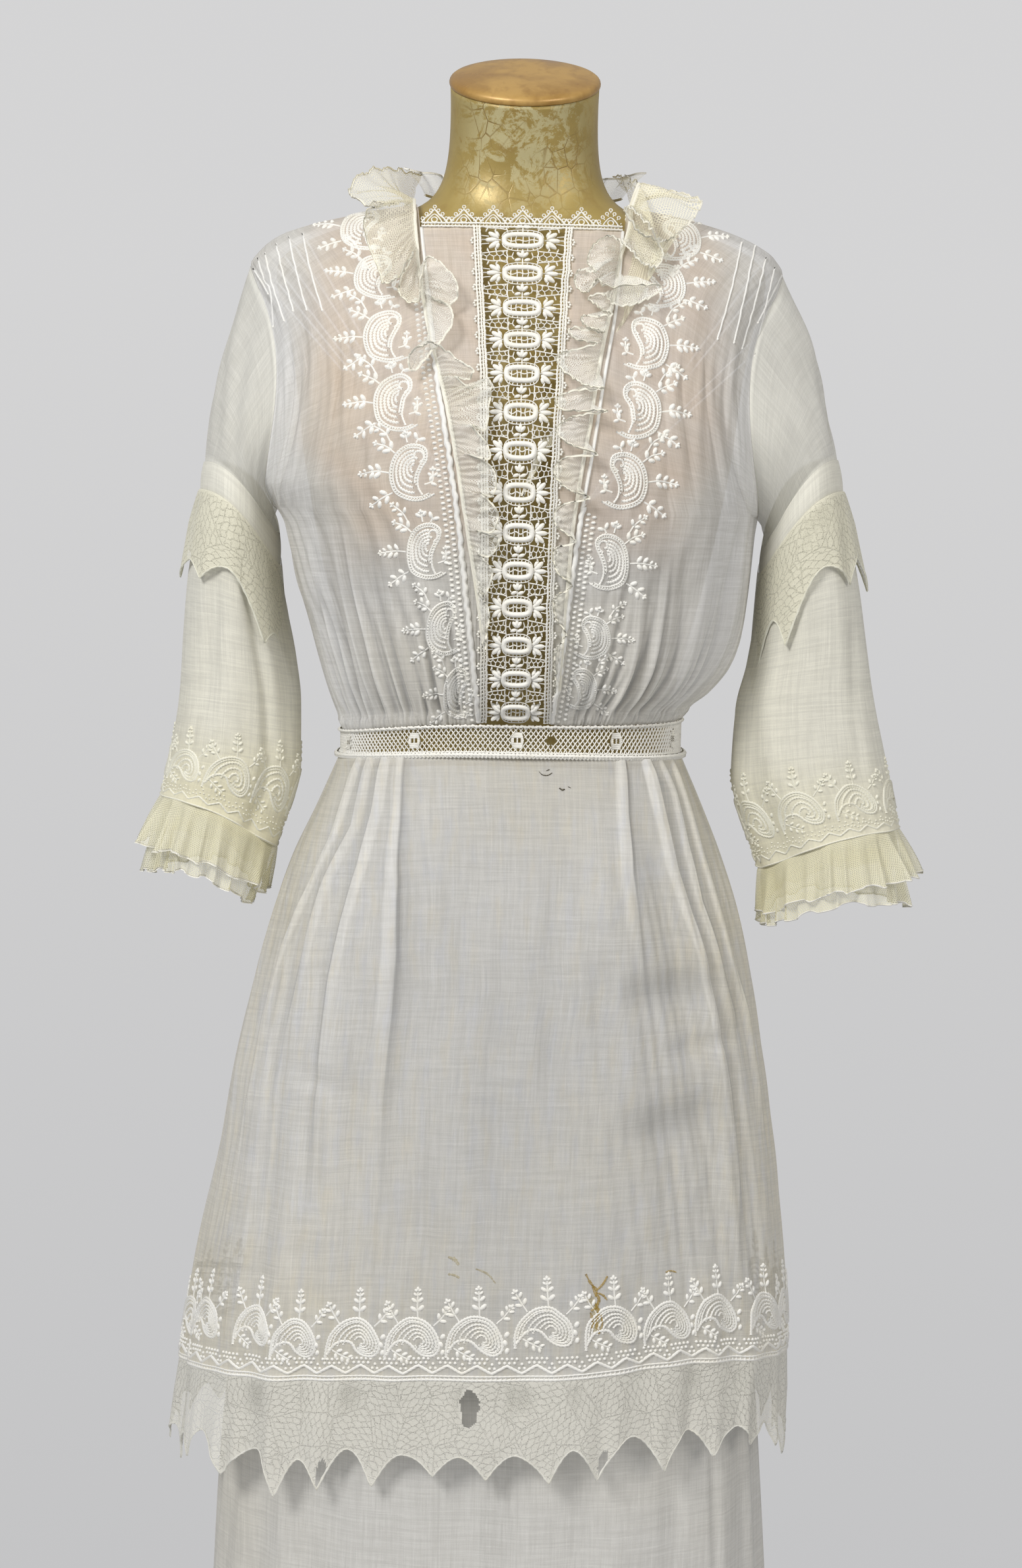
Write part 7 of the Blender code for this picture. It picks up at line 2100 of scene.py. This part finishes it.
# ---------------------------------------------------------------- embroidery
def bodice_motif(k):
    """Right-hand motif, flat millimetres from its centre. The inner edge, with its strip, is on the left."""
    d = Design()
    rng = np.random.RandomState(700 + k)
    j = lambda s=0.5: rng.uniform(-s, s)
    outer = [(-19.4, -14.8), (-11.2, -19.4), (-1.9, -20.3), (7.3, -16.6), (11.5, -8.2), (12.4, 1.9), (9.2, 10.3), (2.7, 15.8), (-4.7, 17.2),
             (-10.3, 14), (-11.2, 7.5), (-8.4, 1.9), (-7, -4.5), (-7.5, -11.0), (-11.2, -16.6)]
    p = smooth_path([(x + j(), y + j()) for x, y in outer], 1.0)
    d.lines.append((p, 0.85e-3, 0.7e-3, False, 0.22, 3))
    q = inset_line(p, 2.0)
    d.lines.append((q[3:-9], 0.75e-3, 0.6e-3, False, 0.22, 3))
    between = inset_line(p, 1.0)
    for i in range(3, len(p) - 8, 2):
        d.knot(between[i][0], between[i][1], 0.62, 0.8, 5)
    # nested chain-stitch arcs, open towards the inner edge, with seeds between them
    for n, (s, i0, i1) in enumerate(((0.74, 0.06, 0.80), (0.58, 0.08, 0.80), (0.43, 0.10, 0.82), (0.29, 0.10, 0.85), (0.15, 0.1, 0.9))):
        c = np.array([-1.0 - 1.6 * n * 0.4, -1.5 + n * 0.6])
        r = (np.array(outer) - [0.5, -1.5]) * s + c + [0.5, 0]
        r = smooth_path(r[1:11], 1.0)
        r = r[int(i0 * len(r)):int(i1 * len(r))]
        if len(r) > 4:
            d.lines.append((r, 1.05e-3, 0.65e-3, False, 0.35, 3))
    for _ in range(12):
        a = rng.uniform(-2.0, 2.2)
        r = rng.uniform(3, 10)
        d.knot(-0.5 + r * math.cos(a) * 0.9, -1.5 + r * math.sin(a) * 1.35, 0.45, 0.5, 5)
    # spiral end
    d.line([(-7.0, 5.0), (-9.6, 8.6), (-7.6, 12.4), (-3.6, 12.0), (-3.0, 8.4), (-5.4, 7.6)], 0.95e-3, 0.65e-3, 0.7, beads=0.3)
    # sprigs
    d.sprig([(13, -4), (22, -4.5 + j()), (32, -7)], ((0.28, 1.0), (0.52, 0.95), (0.78, 0.62)))
    d.sprig([(10.5, 9.5), (17, 13 + j()), (24, 14.5)], ((0.22, 1.0), (0.58, 0.95)))
    d.sprig([(14, 16), (19, 22 + j()), (27, 26)], ((0.35, 0.85), (0.72, 0.75)))
    d.sprig([(9, -17), (15, -21), (22, -27)], ((0.20, 1.0), (0.60, 0.95)))
    d.sprig([(-3, 18), (-4.5, 21.5)], ((0.5, 0.9),), tip=False)
    d.sprig([(3, 17.5), (5, 23)], ((0.5, 0.85),))
    d.sprig([(-12, -9), (-17, -6), (-16.5, 1)], ((0.3, 0.75), (0.65, 0.7)))
    return d


BODICE_AT = {
    "left": [(546, 343), (566, 415), (581, 506), (597, 606), (620, 712), (643, 832), (670, 950), (692, 1048)],
    "right": [(1035, 359), (1012, 429), (986, 517), (974, 618), (954, 725), (929, 849), (904, 965), (887, 1043)],
}
BODICE_STRIP = {"left": (640, 440), "right": (940, 420)}  # where each strip starts, at the top
TUCKS = {
    "left": [[(457, 344), (471, 410), (489, 471)], [(436, 349), (449, 410), (465, 470)], [(416, 355), (428, 410), (445, 472)],
             [(399, 369), (412, 428), (431, 487)], [(388, 382), (401, 425), (410, 441), (415, 496)], [(376, 396), (392, 420), (407, 446)]],
    "right": [[(1126, 368), (1110, 440), (1089, 515)], [(1146, 373), (1131, 445), (1114, 520)], [(1165, 382), (1147, 455), (1126, 529)],
              [(1179, 392), (1162, 465), (1144, 541)], [(1186, 418), (1168, 455), (1150, 490)], [(1195, 436), (1175, 475), (1153, 510)]],
}


def build_bodice_embroidery():
    for tag, side in (("left", -1), ("right", 1)):
        skin = SKINS[f"front_{tag}"]
        st, soft = Stitches(), Stitches()
        centres = skin.pixels(BODICE_AT[tag])[0]
        for k, c in enumerate(centres):
            near = centres[k - 1] if k else centres[1]
            pitch = abs(c[2] - (centres[k + 1][2] if k + 1 < len(centres) else near[2]))
            lay = lambda q: skin.front(q)[:2]
            sy = min(1.0, max(0.70, pitch / 0.047)) if k > 1 else 0.82
            sx = 1.0 if k < 5 else (0.90, 0.78, 0.66)[k - 5]
            lean = side * (0.10 if k > 1 else 0.25)
            bodice_motif(k).stitch(st, lay, move=(c[0] * 1e3, c[2] * 1e3), flip=side, scale=(sx, sy), turn=lean, fat=1.85, tall=1.5)
        # knots beside the strip
        top = float(skin.pixels([BODICE_STRIP[tag]])[0][0, 2])
        z = spread(1.0608, top, 240)
        line = np.stack([FRONT_LINES(4 if side > 0 else 3, z), z], -1)
        d = np.concatenate([[0], np.cumsum(np.linalg.norm(np.diff(line, axis=0), axis=1))])
        pts = []
        for off, ph in ((0.0046, 0.0), (0.0088, 0.0018)):
            s = np.arange(0.002 + ph, d[-1] - 0.004, 0.0037)
            pts.append(np.stack([np.interp(s, d, line[:, 0]) + side * off, np.interp(s, d, line[:, 1])], -1))
        pts = np.concatenate(pts)
        P, N, _ = skin.front(pts)
        for p, n in zip(P, N):
            st.dome(p, n, (1, 0, 0.1), 0.00185, 0.00115, 0.0015, 6)
        # tucks: narrow raised pleats, each ending in a stitch
        for k, px in enumerate(TUCKS[tag]):
            path = smooth_path(px, 5)
            n = len(path)
            path = path + np.stack([0.5 * hum(np.arange(n) / 9.0, 720 + k), 0 * path[:, 0]], -1)
            P, N, ok = skin.pixels(path)
            good = np.concatenate([[True], np.linalg.norm(np.diff(P, axis=0), axis=1) < 0.02])
            P, N = P[good], N[good]
            h = 0.0009 + 0.0001 * np.sin(np.arange(len(P)) * 0.9 + k)
            h[-2:] *= (0.9, 0.5)
            soft.line(P, N, 0.0015, h, sides=3)
            st.dome(P[-1], N[-1], P[-1] - P[-2], 0.0012, 0.0008, 0.0010, 6)
        soft.build(f"tucks_{tag}_ridges", "tape", "lawn_white")
        st.build(f"bodice_embroidery_{tag}_threads", "thread", "lawn_white")
        # smooth bias strip
        st = Stitches()
        P = on_body(line[:, 0] + 0.0005 * hum(line[:, 1] * 55, 730 + side), line[:, 1], 0.0016)
        N = unit(on_body(line[:, 0], line[:, 1], 0.0116) - P)
        st.line(P, N, 0.0036 + 0.0005 * hum(line[:, 1] * 80, 732 + side), 0.0010, sides=5, sink=0.0012)
        # fine cord along the whole seam between the inset and the front
        z = spread(1.0600, NECK_FRONT - 0.0020, 200)
        x = FRONT_LINES(4 if side > 0 else 3, z) - side * 0.0002
        P = on_body(x, z, 0.0010)
        N = unit(on_body(x, z, 0.0110) - P)
        st.line(P, N, 0.0024, 0.0011, sides=4, sink=0.0010)
        st.build(f"strip_{tag}_tape", "tape", "lawn_white", [f"strip_{tag}"])


def hem_motif(k, plain=False):
    d = Design(2.7, 1.1)
    rng = np.random.RandomState(800 + k)
    j = lambda s=0.4: rng.uniform(-s, s)
    contour = [(-17.8, -12.2), (-18, -4.4), (-16.1, 3.3), (-11.1, 9.4), (-4.4, 13.3), (2.8, 13.3), (8.9, 10), (13.9, 4.4), (16.7, -2.2),
               (16.1, -7.8), (12.8, -10.6), (7.2, -10), (1.7, -6.7), (-2.2, -2.2), (-7.2, -0.6), (-12.8, -2.8), (-17.2, -8.9)]
    contour = [(x + j(), y + j()) for x, y in contour]
    p = smooth_path(contour, 1.05)
    d.lines.append((p, 1.25e-3, 0.85e-3, False, 0.25, 3))
    # rows of stitches following the upper right edge
    core = np.array([4.5, -1.0])
    for n, s in enumerate((0.74, 0.48, 0.22) if plain else (0.83, 0.67, 0.51, 0.36, 0.20)):
        r = np.array(contour[1 + n // 3:13]) * s + core * (1 - s)
        r = smooth_path(r, 1.05)
        d.lines.append((r, (1.15 if plain else 0.85) * 1e-3, 0.7e-3, False, 0.45, 3))
    # leaf spray in the lower left
    d.sprig([(-14, -6), (-8, -9.5), (-2, -12.5)], ((0.2, 0.85), (0.55, 0.85), (0.85, 0.7)), tip=False)
    q = inset_line(p[6:-22], -1.7)
    d.lines.append((q, 0.8e-3, 0.6e-3, False, 0.3, 3))
    for i in range(0, 0 if plain else len(q), 3):
        d.knot(q[i][0], q[i][1], 0.65, 0.8, 5)
    # upright and side sprigs
    d.sprig([(2, 14), (1.2 + j(), 22), (1, 31)], ((0.22, 1.05), (0.55, 0.9), (0.80, 0.6)))
    d.sprig([(-11, 11), (-15, 17), (-18.5, 23)], ((0.30, 0.95), (0.68, 0.85)))
    d.sprig([(13, 9), (18, 14), (21.5, 19)], ((0.35, 0.9), (0.75, 0.75)))
    d.leaf(19.3, 2.2, 1.0, 2.3, 1.2)
    d.leaf(18.4, -3.0, 1.9, 2.2, 1.1)
    d.leaf(19.6, -8.0, 1.3, 2.2, 1.1)
    return d


HEM_AT = [(311, 1996), (386, 2007), (447, 2039), (536, 2034), (626, 2041), (722, 2032), (827, 2016), (929, 2016), (1016, 2009), (1091, 1997), (1160, 1994)]


def hem_frame(skin, P, extra=0.0):
    """A lay function on the tunic: x round the hem from the centre front, y above the hem seam."""
    run, deg = SKINS["hem_run"]

    def lay(q):
        a = np.interp(q[:, 0], run, deg)
        f = 1.0 - q[:, 1] / (bottom_of_waist(a) - GAP - hem_height(a))
        A, B = tunic(a, f, 0.0), tunic(a, f, 0.01)
        pick = np.where(np.abs((a + 180) % 360 - 180) <= 90, 0, 1)
        P, N = np.zeros_like(A), np.zeros_like(A)
        for w, name in ((0, "tunic_front"), (1, "tunic_back")):
            m = pick == w
            if m.any():
                P[m], N[m], _ = SKINS[name].inward(A[m], B[m] - A[m])
        return P, N

    return lay


def build_hem_embroidery():
    run, deg = SKINS["hem_run"]
    lay = hem_frame(None, None)
    front = SKINS["tunic_front"].pixels(HEM_AT)[0]
    at = []
    for p in front:
        a = math.degrees(math.atan2(*(np.sign([p[0], 0 * 1 - (p[1] - MID_Y)]) * 1.0)))
        # angle round the tunic from x
        g = float(angle_of_x(TUNIC, p[2], p[0], SKIRT_POWER))
        at.append((float(np.interp(g, deg, run)) * 1e3, (p[2] - float(hem_height(g))) * 1e3))
    x0, x1 = np.interp(-90, deg, run) * 1e3, np.interp(90, deg, run) * 1e3
    far = np.interp(270, deg, run) * 1e3
    st_f, st_b = Stitches(), Stitches()
    rows = []
    first, last = at[0][0], at[-1][0]
    total = far - x0
    left = (far - last) + (first - x0)
    n = int(round(left / 41.5))
    rows = [(x, y, "f") for x, y in at] + [(last + left * (i + 1) / n, 32.0, "b") for i in range(n - 1)]
    for k, (x, y, w) in enumerate(rows):
        y = min(36.0, max(28.5, y))
        near = sorted(abs(x - o) for o, _, _ in rows)[1]
        sx = min(1.14, max(0.80, near / 39.5))
        m = hem_motif(k, w == "b")
        st = st_f if (x0 < x < x1) else st_b
        m.stitch(st, lay, move=(x, y), scale=(sx, 1.10), fat=1.8, tall=1.5)
    for st, a, b, tag in ((st_f, x0, x1, "front"), (st_b, x1, far, "back")):
        d = Design()
        zig = np.arange(a + 1, b - 1, 1.3 if tag == "front" else 2.6)
        tri = 7.8 + 2.9 * (2 / math.pi) * np.arcsin(np.sin(2 * math.pi * zig / 20.8))
        d.lines.append((np.stack([zig, tri], -1), 2.3e-3, 1.5e-3, False, 0.12, 3))
        for c in np.arange(a + 6, b - 6, 20.8 / 3):
            phase = math.sin(2 * math.pi * c / 20.8)
            y0 = 7.8 + 2.9 * (2 / math.pi) * math.asin(phase)
            for dx, dy in ((-1.8, 3.7), (1.8, 3.7), (0, 6.7), (-3.4, 6.6), (3.4, 6.6)) if tag == "front" else ((-1.8, 3.7), (1.8, 3.7)):
                if abs(dx) < 3 or phase > -0.2:
                    d.knot(c + dx, y0 + dy, 1.25, 1.2, 6 if tag == "front" else 5)
        # hem seam: fold edge above, ladder of stitches, cord below
        xs = np.arange(a + 0.5, b - 0.5, 1.6 if tag == "front" else 2.6)
        d.lines.append((np.stack([xs, np.full(len(xs), 3.0)], -1), 1.4e-3, 0.9e-3, False, 0.15, 3))
        d.lines.append((np.stack([xs, np.full(len(xs), 0.4)], -1), 2.0e-3, 1.1e-3, False, 0.2, 3))
        for x in np.arange(a + 1.0, b - 1.0, 3.3):
            d.line([(x, 0.6), (x + 0.3, 3.0)], 1.1e-3, 0.9e-3, straight=True)
        d.stitch(st, lay)
        st.build(f"hem_embroidery_{tag}_threads", "thread", "lawn_white")


def build_sleeve_embroidery():
    for tag, (side, table, top, band, end) in SLEEVES.items():
        skin = SKINS[f"lower_{tag}"]
        turn = spread(-180, 540, 1441)
        rim = tube(table, side, np.full(len(turn), end), turn)
        run = np.concatenate([[0], np.cumsum(np.linalg.norm(np.diff(rim, axis=0), axis=1))])
        run = run - np.interp(90, turn, run)
        around = float(np.interp(540, turn, run) - np.interp(180, turn, run))

        def lay(q):
            t = np.interp((q[:, 0] + around / 2) % around - around / 2, run, turn)
            z = end + q[:, 1]
            A, B = tube(table, side, z, t, 0.0), tube(table, side, z, t, 0.01)
            P, N, _ = skin.inward(A, B - A, 0.02)
            return P, N

        st = Stitches()
        n = int(round(around * 1e3 / 39.0))
        for k in range(n):
            x = (k + (0.12 if side < 0 else 0.45)) * around * 1e3 / n
            hem_motif(60 + k + 20 * (side > 0), True).stitch(st, lay, move=(x, 24.0), scale=(0.92, 0.86), flip=-side, fat=1.7, tall=1.5)
        d = Design()
        xs = np.arange(0, around * 1e3, 1.2)
        m = int(round(around * 1e3 / 15.0))
        tri = 5.2 + 1.8 * (2 / math.pi) * np.arcsin(np.sin(2 * math.pi * xs * m / (around * 1e3)))
        d.lines.append((np.stack([xs, tri], -1), 1.5e-3, 1.0e-3, True, 0.2, 3))
        for c in np.arange(0, 3 * m) * around * 1e3 / (3 * m):
            y0 = 5.2 + 1.8 * (2 / math.pi) * math.asin(math.sin(2 * math.pi * c * m / (around * 1e3)))
            for dx, dy in ((-1.3, 3.0), (1.3, 3.0), (0, 5.3)):
                d.knot(c + dx, y0 + dy, 0.75, 0.8, 6)
        d.lines.append((np.stack([xs, 0 * xs + 0.6], -1), 1.3e-3, 0.9e-3, True, 0.15, 3))
        d.stitch(st, lay)
        st.build(f"sleeve_embroidery_{tag}_threads", "thread_cream", "lawn_cream")


STAINS = [  # points in the photograph, width in millimetres, which
    ([(889, 1934), (896, 1947), (905, 1958), (904, 1968)], 2.6, "stain"), ([(922, 1937), (915, 1949), (905, 1959)], 2.3, "stain"),
    ([(899, 1950), (903, 1962), (909, 1972), (905, 1984), (897, 1990)], 3.0, "stain"), ([(905, 1962), (915, 1966), (921, 1973)], 2.0, "stain"),
    ([(903, 1978), (908, 1992), (905, 2008), (909, 2024)], 3.4, "stain"), ([(896, 1992), (900, 2006), (898, 2016)], 2.6, "stain"),
    ([(912, 1994), (914, 2010), (911, 2018)], 2.0, "stain"), ([(1010, 1931), (1018, 1929), (1026, 1931)], 1.8, "stain"),
    ([(680, 1908), (690, 1912), (696, 1920)], 3.6, "faint"), ([(680, 1934), (690, 1936), (697, 1940)], 3.0, "faint"),
    ([(893, 1968), (905, 1990), (903, 2022)], 9.0, "faint"), ([(722, 1926), (740, 1934), (752, 1948)], 2.0, "faint"),
    ([(818, 1171), (823, 1176), (831, 1177), (838, 1173)], 0.9, "speck"), ([(829, 1170), (834, 1168)], 0.9, "speck"),
    ([(849, 1196), (853, 1199), (857, 1198)], 1.8, "speck"), ([(862, 1194), (866, 1196)], 0.9, "speck"),
]


def build_stains():
    skin = SKINS["tunic_front"]
    for kind in ("faint", "stain", "speck"):
        st = Stitches()
        for k, (pts, wide, which) in enumerate(STAINS):
            if which != kind:
                continue
            P, N, _ = skin.pixels(smooth_path(pts, 2.0))
            n = len(P)
            w = wide * 1e-3 * (0.75 + 0.35 * hum(np.arange(n) * 0.7, 900 + k)) * (0.5 + 0.5 * np.sin(np.pi * spread(0.12, 0.9, n)))
            st.line(P, N, w, 0.00040 if kind == "faint" else 0.00070, sides=5, sink=0.0001)
        st.build(f"tunic_{kind}_marks", kind, "lawn_white")


def build_embroidery():
    build_stains()
    build_bodice_embroidery()
    build_hem_embroidery()
    build_sleeve_embroidery()


def declare_sheets():
    get = lambda *names: [bpy.data.objects[n] for n in names]
    form, waist = "dress_form", ["waistband_front_lattice", "waistband_back_lattice"]
    for s in ("left", "right"):
        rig.sheet(*get(f"bodice_front_{s}_cloth"), flat=(0.24, 0.42), held="gathered", rests_on=[form, "waistband_front_lattice"], area=0.085,
                 with_pieces=get(f"tucks_{s}_ridges", f"bodice_embroidery_{s}_threads", f"strip_{s}_tape"))
        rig.sheet(*get(f"bodice_back_{s}_cloth"), flat=(0.28, 0.42), held="gathered", rests_on=[form, "waistband_back_lattice"], area=0.105)
        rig.sheet(*get(f"inset_{s}_cloth"), flat=(0.040, 0.345), held="stretched", rests_on=[form], area=0.0095,
                 with_pieces=get(f"lace_braid_{s}_threads"))
        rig.sheet(*get(f"sleeve_upper_{s}_cloth"), flat=(0.37, 0.12), held="hung", rests_on=[f"bodice_front_{s}_cloth", f"bodice_back_{s}_cloth"], area=0.030)
        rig.sheet(*get(f"sleeve_band_{s}_cloth"), flat=(0.31, 0.022), held="hung", rests_on=[f"sleeve_upper_{s}_cloth"])
        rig.sheet(*get(f"sleeve_lower_{s}_cloth"), flat=(0.34, 0.25), held="hung", rests_on=[f"sleeve_band_{s}_cloth"],
                 with_pieces=get(f"sleeve_embroidery_{s}_threads"))
        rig.sheet(*get(f"sleeve_lace_{s}_sheet"), flat=(0.33, 0.086), held="hung", rests_on=[f"sleeve_band_{s}_cloth"], area=0.021,
                 with_pieces=get(f"sleeve_lace_{s}_sheet_edge"))
        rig.sheet(*get(f"cuff_upper_{s}_net"), flat=(0.50, 0.034), held="gathered", rests_on=[f"sleeve_lower_{s}_cloth"],
                 with_pieces=get(f"cuff_upper_{s}_hem"))
        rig.sheet(*get(f"cuff_lower_{s}_net"), flat=(0.44, 0.054), held="gathered", rests_on=[f"sleeve_lower_{s}_cloth"],
                 with_pieces=get(f"cuff_lower_{s}_hem"))
    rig.sheet(*get("ruffle_left_net"), flat=(0.85, 0.028), held="gathered", rests_on=["bodice_front_left_cloth", form], with_pieces=get("ruffle_left_hem"))
    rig.sheet(*get("ruffle_right_net"), flat=(1.10, 0.040), held="gathered", rests_on=["bodice_front_right_cloth", form], with_pieces=get("ruffle_right_hem"))
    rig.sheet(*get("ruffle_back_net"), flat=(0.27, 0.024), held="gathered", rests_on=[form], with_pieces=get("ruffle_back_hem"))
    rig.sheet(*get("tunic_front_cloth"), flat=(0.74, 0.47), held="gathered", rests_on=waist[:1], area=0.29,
             with_pieces=get("hem_embroidery_front_threads", "tunic_stain_marks", "tunic_faint_marks", "tunic_speck_marks"))
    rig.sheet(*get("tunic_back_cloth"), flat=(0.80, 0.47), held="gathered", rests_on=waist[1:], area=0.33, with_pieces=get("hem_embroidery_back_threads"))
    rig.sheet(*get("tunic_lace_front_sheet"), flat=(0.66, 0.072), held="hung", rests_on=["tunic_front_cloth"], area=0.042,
             with_pieces=get("tunic_lace_front_sheet_edge"))
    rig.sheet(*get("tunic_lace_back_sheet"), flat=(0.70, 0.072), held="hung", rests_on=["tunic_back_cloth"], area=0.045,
             with_pieces=get("tunic_lace_back_sheet_edge"))
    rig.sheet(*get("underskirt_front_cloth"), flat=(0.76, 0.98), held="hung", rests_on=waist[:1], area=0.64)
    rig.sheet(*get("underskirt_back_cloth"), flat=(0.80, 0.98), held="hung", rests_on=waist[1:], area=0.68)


# ---------------------------------------------------------------- light, floor and the run itself
def area_light(name, at, aim, size, power, colour=(1, 1, 1)):
    data = bpy.data.lights.new(name, "AREA")
    data.shape, data.size, data.energy, data.color = "DISK", size, power, colour
    ob = bpy.data.objects.new(name, data)
    bpy.context.scene.collection.objects.link(ob)
    ob.visible_camera = False
    ob.location = Vector(at)
    ob.rotation_euler = (Vector(aim) - Vector(at)).to_track_quat("-Z", "Y").to_euler()
    return ob


ROOM = 0.59


def light_and_floor():
    scene = bpy.context.scene
    world = bpy.data.worlds.new("room")
    scene.world = world
    world.use_nodes = True
    back = world.node_tree.nodes["Background"]
    tree = world.node_tree
    coord, sep, shade, mix = (tree.nodes.new(k) for k in ("ShaderNodeTexCoord", "ShaderNodeSeparateXYZ", "ShaderNodeMapRange", "ShaderNodeMix"))
    mix.data_type = "RGBA"
    tree.links.new(coord.outputs["Generated"], sep.inputs[0])
    tree.links.new(sep.outputs["Z"], shade.inputs["Value"])
    for k, v in (("From Min", -0.45), ("From Max", 0.10), ("To Min", 0.0), ("To Max", 1.0)):
        shade.inputs[k].default_value = v
    tree.links.new(shade.outputs["Result"], mix.inputs["Factor"])
    a, b = [i for i in mix.inputs if i.type == "RGBA"]
    a.default_value, b.default_value = (0.545, 0.545, 0.552, 1), (0.662, 0.660, 0.664, 1)
    tree.links.new([o for o in mix.outputs if o.type == "RGBA"][0], back.inputs["Color"])
    path, power = tree.nodes.new("ShaderNodeLightPath"), tree.nodes.new("ShaderNodeMapRange")
    tree.links.new(path.outputs["Is Camera Ray"], power.inputs["Value"])
    power.inputs["To Min"].default_value, power.inputs["To Max"].default_value = ROOM, 1.0
    tree.links.new(power.outputs["Result"], back.inputs["Strength"])
    area_light("key", (-1.45, -2.2, 2.85), (0, 0, 1.05), 1.0, 65, (1.0, 0.985, 0.96))
    area_light("fill", (1.75, -2.1, 2.35), (0, 0, 1.10), 1.5, 26, (1.0, 0.955, 0.88))
    mesh = bpy.data.meshes.new("floor")
    ring = [(0.78 * math.cos(a), 0.78 * math.sin(a), 0.0) for a in np.arange(96) * 2 * math.pi / 96]
    mesh.from_pydata(ring, [], [tuple(range(96))])
    floor = bpy.data.objects.new("floor", mesh)
    scene.collection.objects.link(floor)
    s = Shader("floor_paint", (0.62, 0.62, 0.63), 0.75, specular=0.3)
    grain = s.noise(s.place(), 60.0, 4.0, 0.6)
    mesh.materials.append(s.set(Base_Color=s.mix(s.ramp(grain, 0.3, 0.7, 0.0, 0.05), (0.62, 0.62, 0.63), (0.5, 0.5, 0.52))))
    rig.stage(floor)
    scene.view_settings.view_transform = "Standard"
    scene.view_settings.look = "None"


MATERIAL["lawn_white"] = lawn("lawn_white", (0.83, 0.832, 0.83), (0.82, 0.77, 0.62), 0.66)
MATERIAL["lawn_tunic"] = lawn("lawn_tunic", (0.835, 0.835, 0.825), (0.82, 0.77, 0.62), 0.66, tint=0.20)
MATERIAL["lawn_cream"] = lawn("lawn_cream", (0.87, 0.865, 0.795), (0.82, 0.78, 0.57), 0.82)
MATERIAL["lawn_under"] = lawn("lawn_under", (0.74, 0.74, 0.725), (0.76, 0.72, 0.60), 0.84)
MATERIAL["lawn_sleeve"] = lawn("lawn_sleeve", (0.82, 0.82, 0.775), (0.80, 0.78, 0.63), 0.62)
MATERIAL["thread"] = thread("embroidery_thread", (0.89, 0.885, 0.85))
MATERIAL["tape"] = thread("cotton_tape", (0.84, 0.84, 0.82), shade=0.1, scale=500.0)
MATERIAL["lace_thread"] = thread("lace_thread", (0.89, 0.88, 0.83))
MATERIAL["thread_cream"] = thread("cream_thread", (0.82, 0.81, 0.70))
MATERIAL["leaf_lace"] = leaf_lace("leaf_lace", (0.84, 0.835, 0.79), 0.46)
MATERIAL["leaf_lace_cream"] = leaf_lace("leaf_lace_cream", (0.86, 0.85, 0.73), 0.50)
MATERIAL["stain"] = stain("rust_stain", (0.56, 0.385, 0.09), 0.72)
MATERIAL["faint"] = stain("faint_stain", (0.62, 0.52, 0.24), 0.42)
MATERIAL["speck"] = stain("dark_speck", (0.10, 0.085, 0.05), 0.95)
MATERIAL["leaf_thread"] = thread("leaf_solid", (0.83, 0.825, 0.765), shade=0.12)
MATERIAL["leaf_thread_cream"] = thread("leaf_solid_cream", (0.82, 0.815, 0.70), shade=0.12)
MATERIAL["net"] = net("cotton_net", (0.99, 0.985, 0.94), 0.0014, 0.10, 0.64)
MATERIAL["hem_thread"] = thread("frill_edge", (0.88, 0.86, 0.76))
MATERIAL["cuff_net"] = net("cuff_net", (0.87, 0.855, 0.71), 0.0014, 0.30, 0.80)
MATERIAL["form_gold"] = gold_paint()
MATERIAL["cap_lacquer"] = cap_lacquer()
MATERIAL["enamel"] = enamel()

make_camera()
place_marks()
light_and_floor()
build_form()
dress_stand()
build_bodice()
build_sleeves()
build_skirts()
build_frills()
build_cuffs()
build_lace()
build_embroidery()
declare_sheets()

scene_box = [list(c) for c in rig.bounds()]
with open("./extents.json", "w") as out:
    json.dump({"cad": [[float(x) for x in c] for c in cad_box], "scene": [[float(x) for x in c] for c in scene_box]}, out)
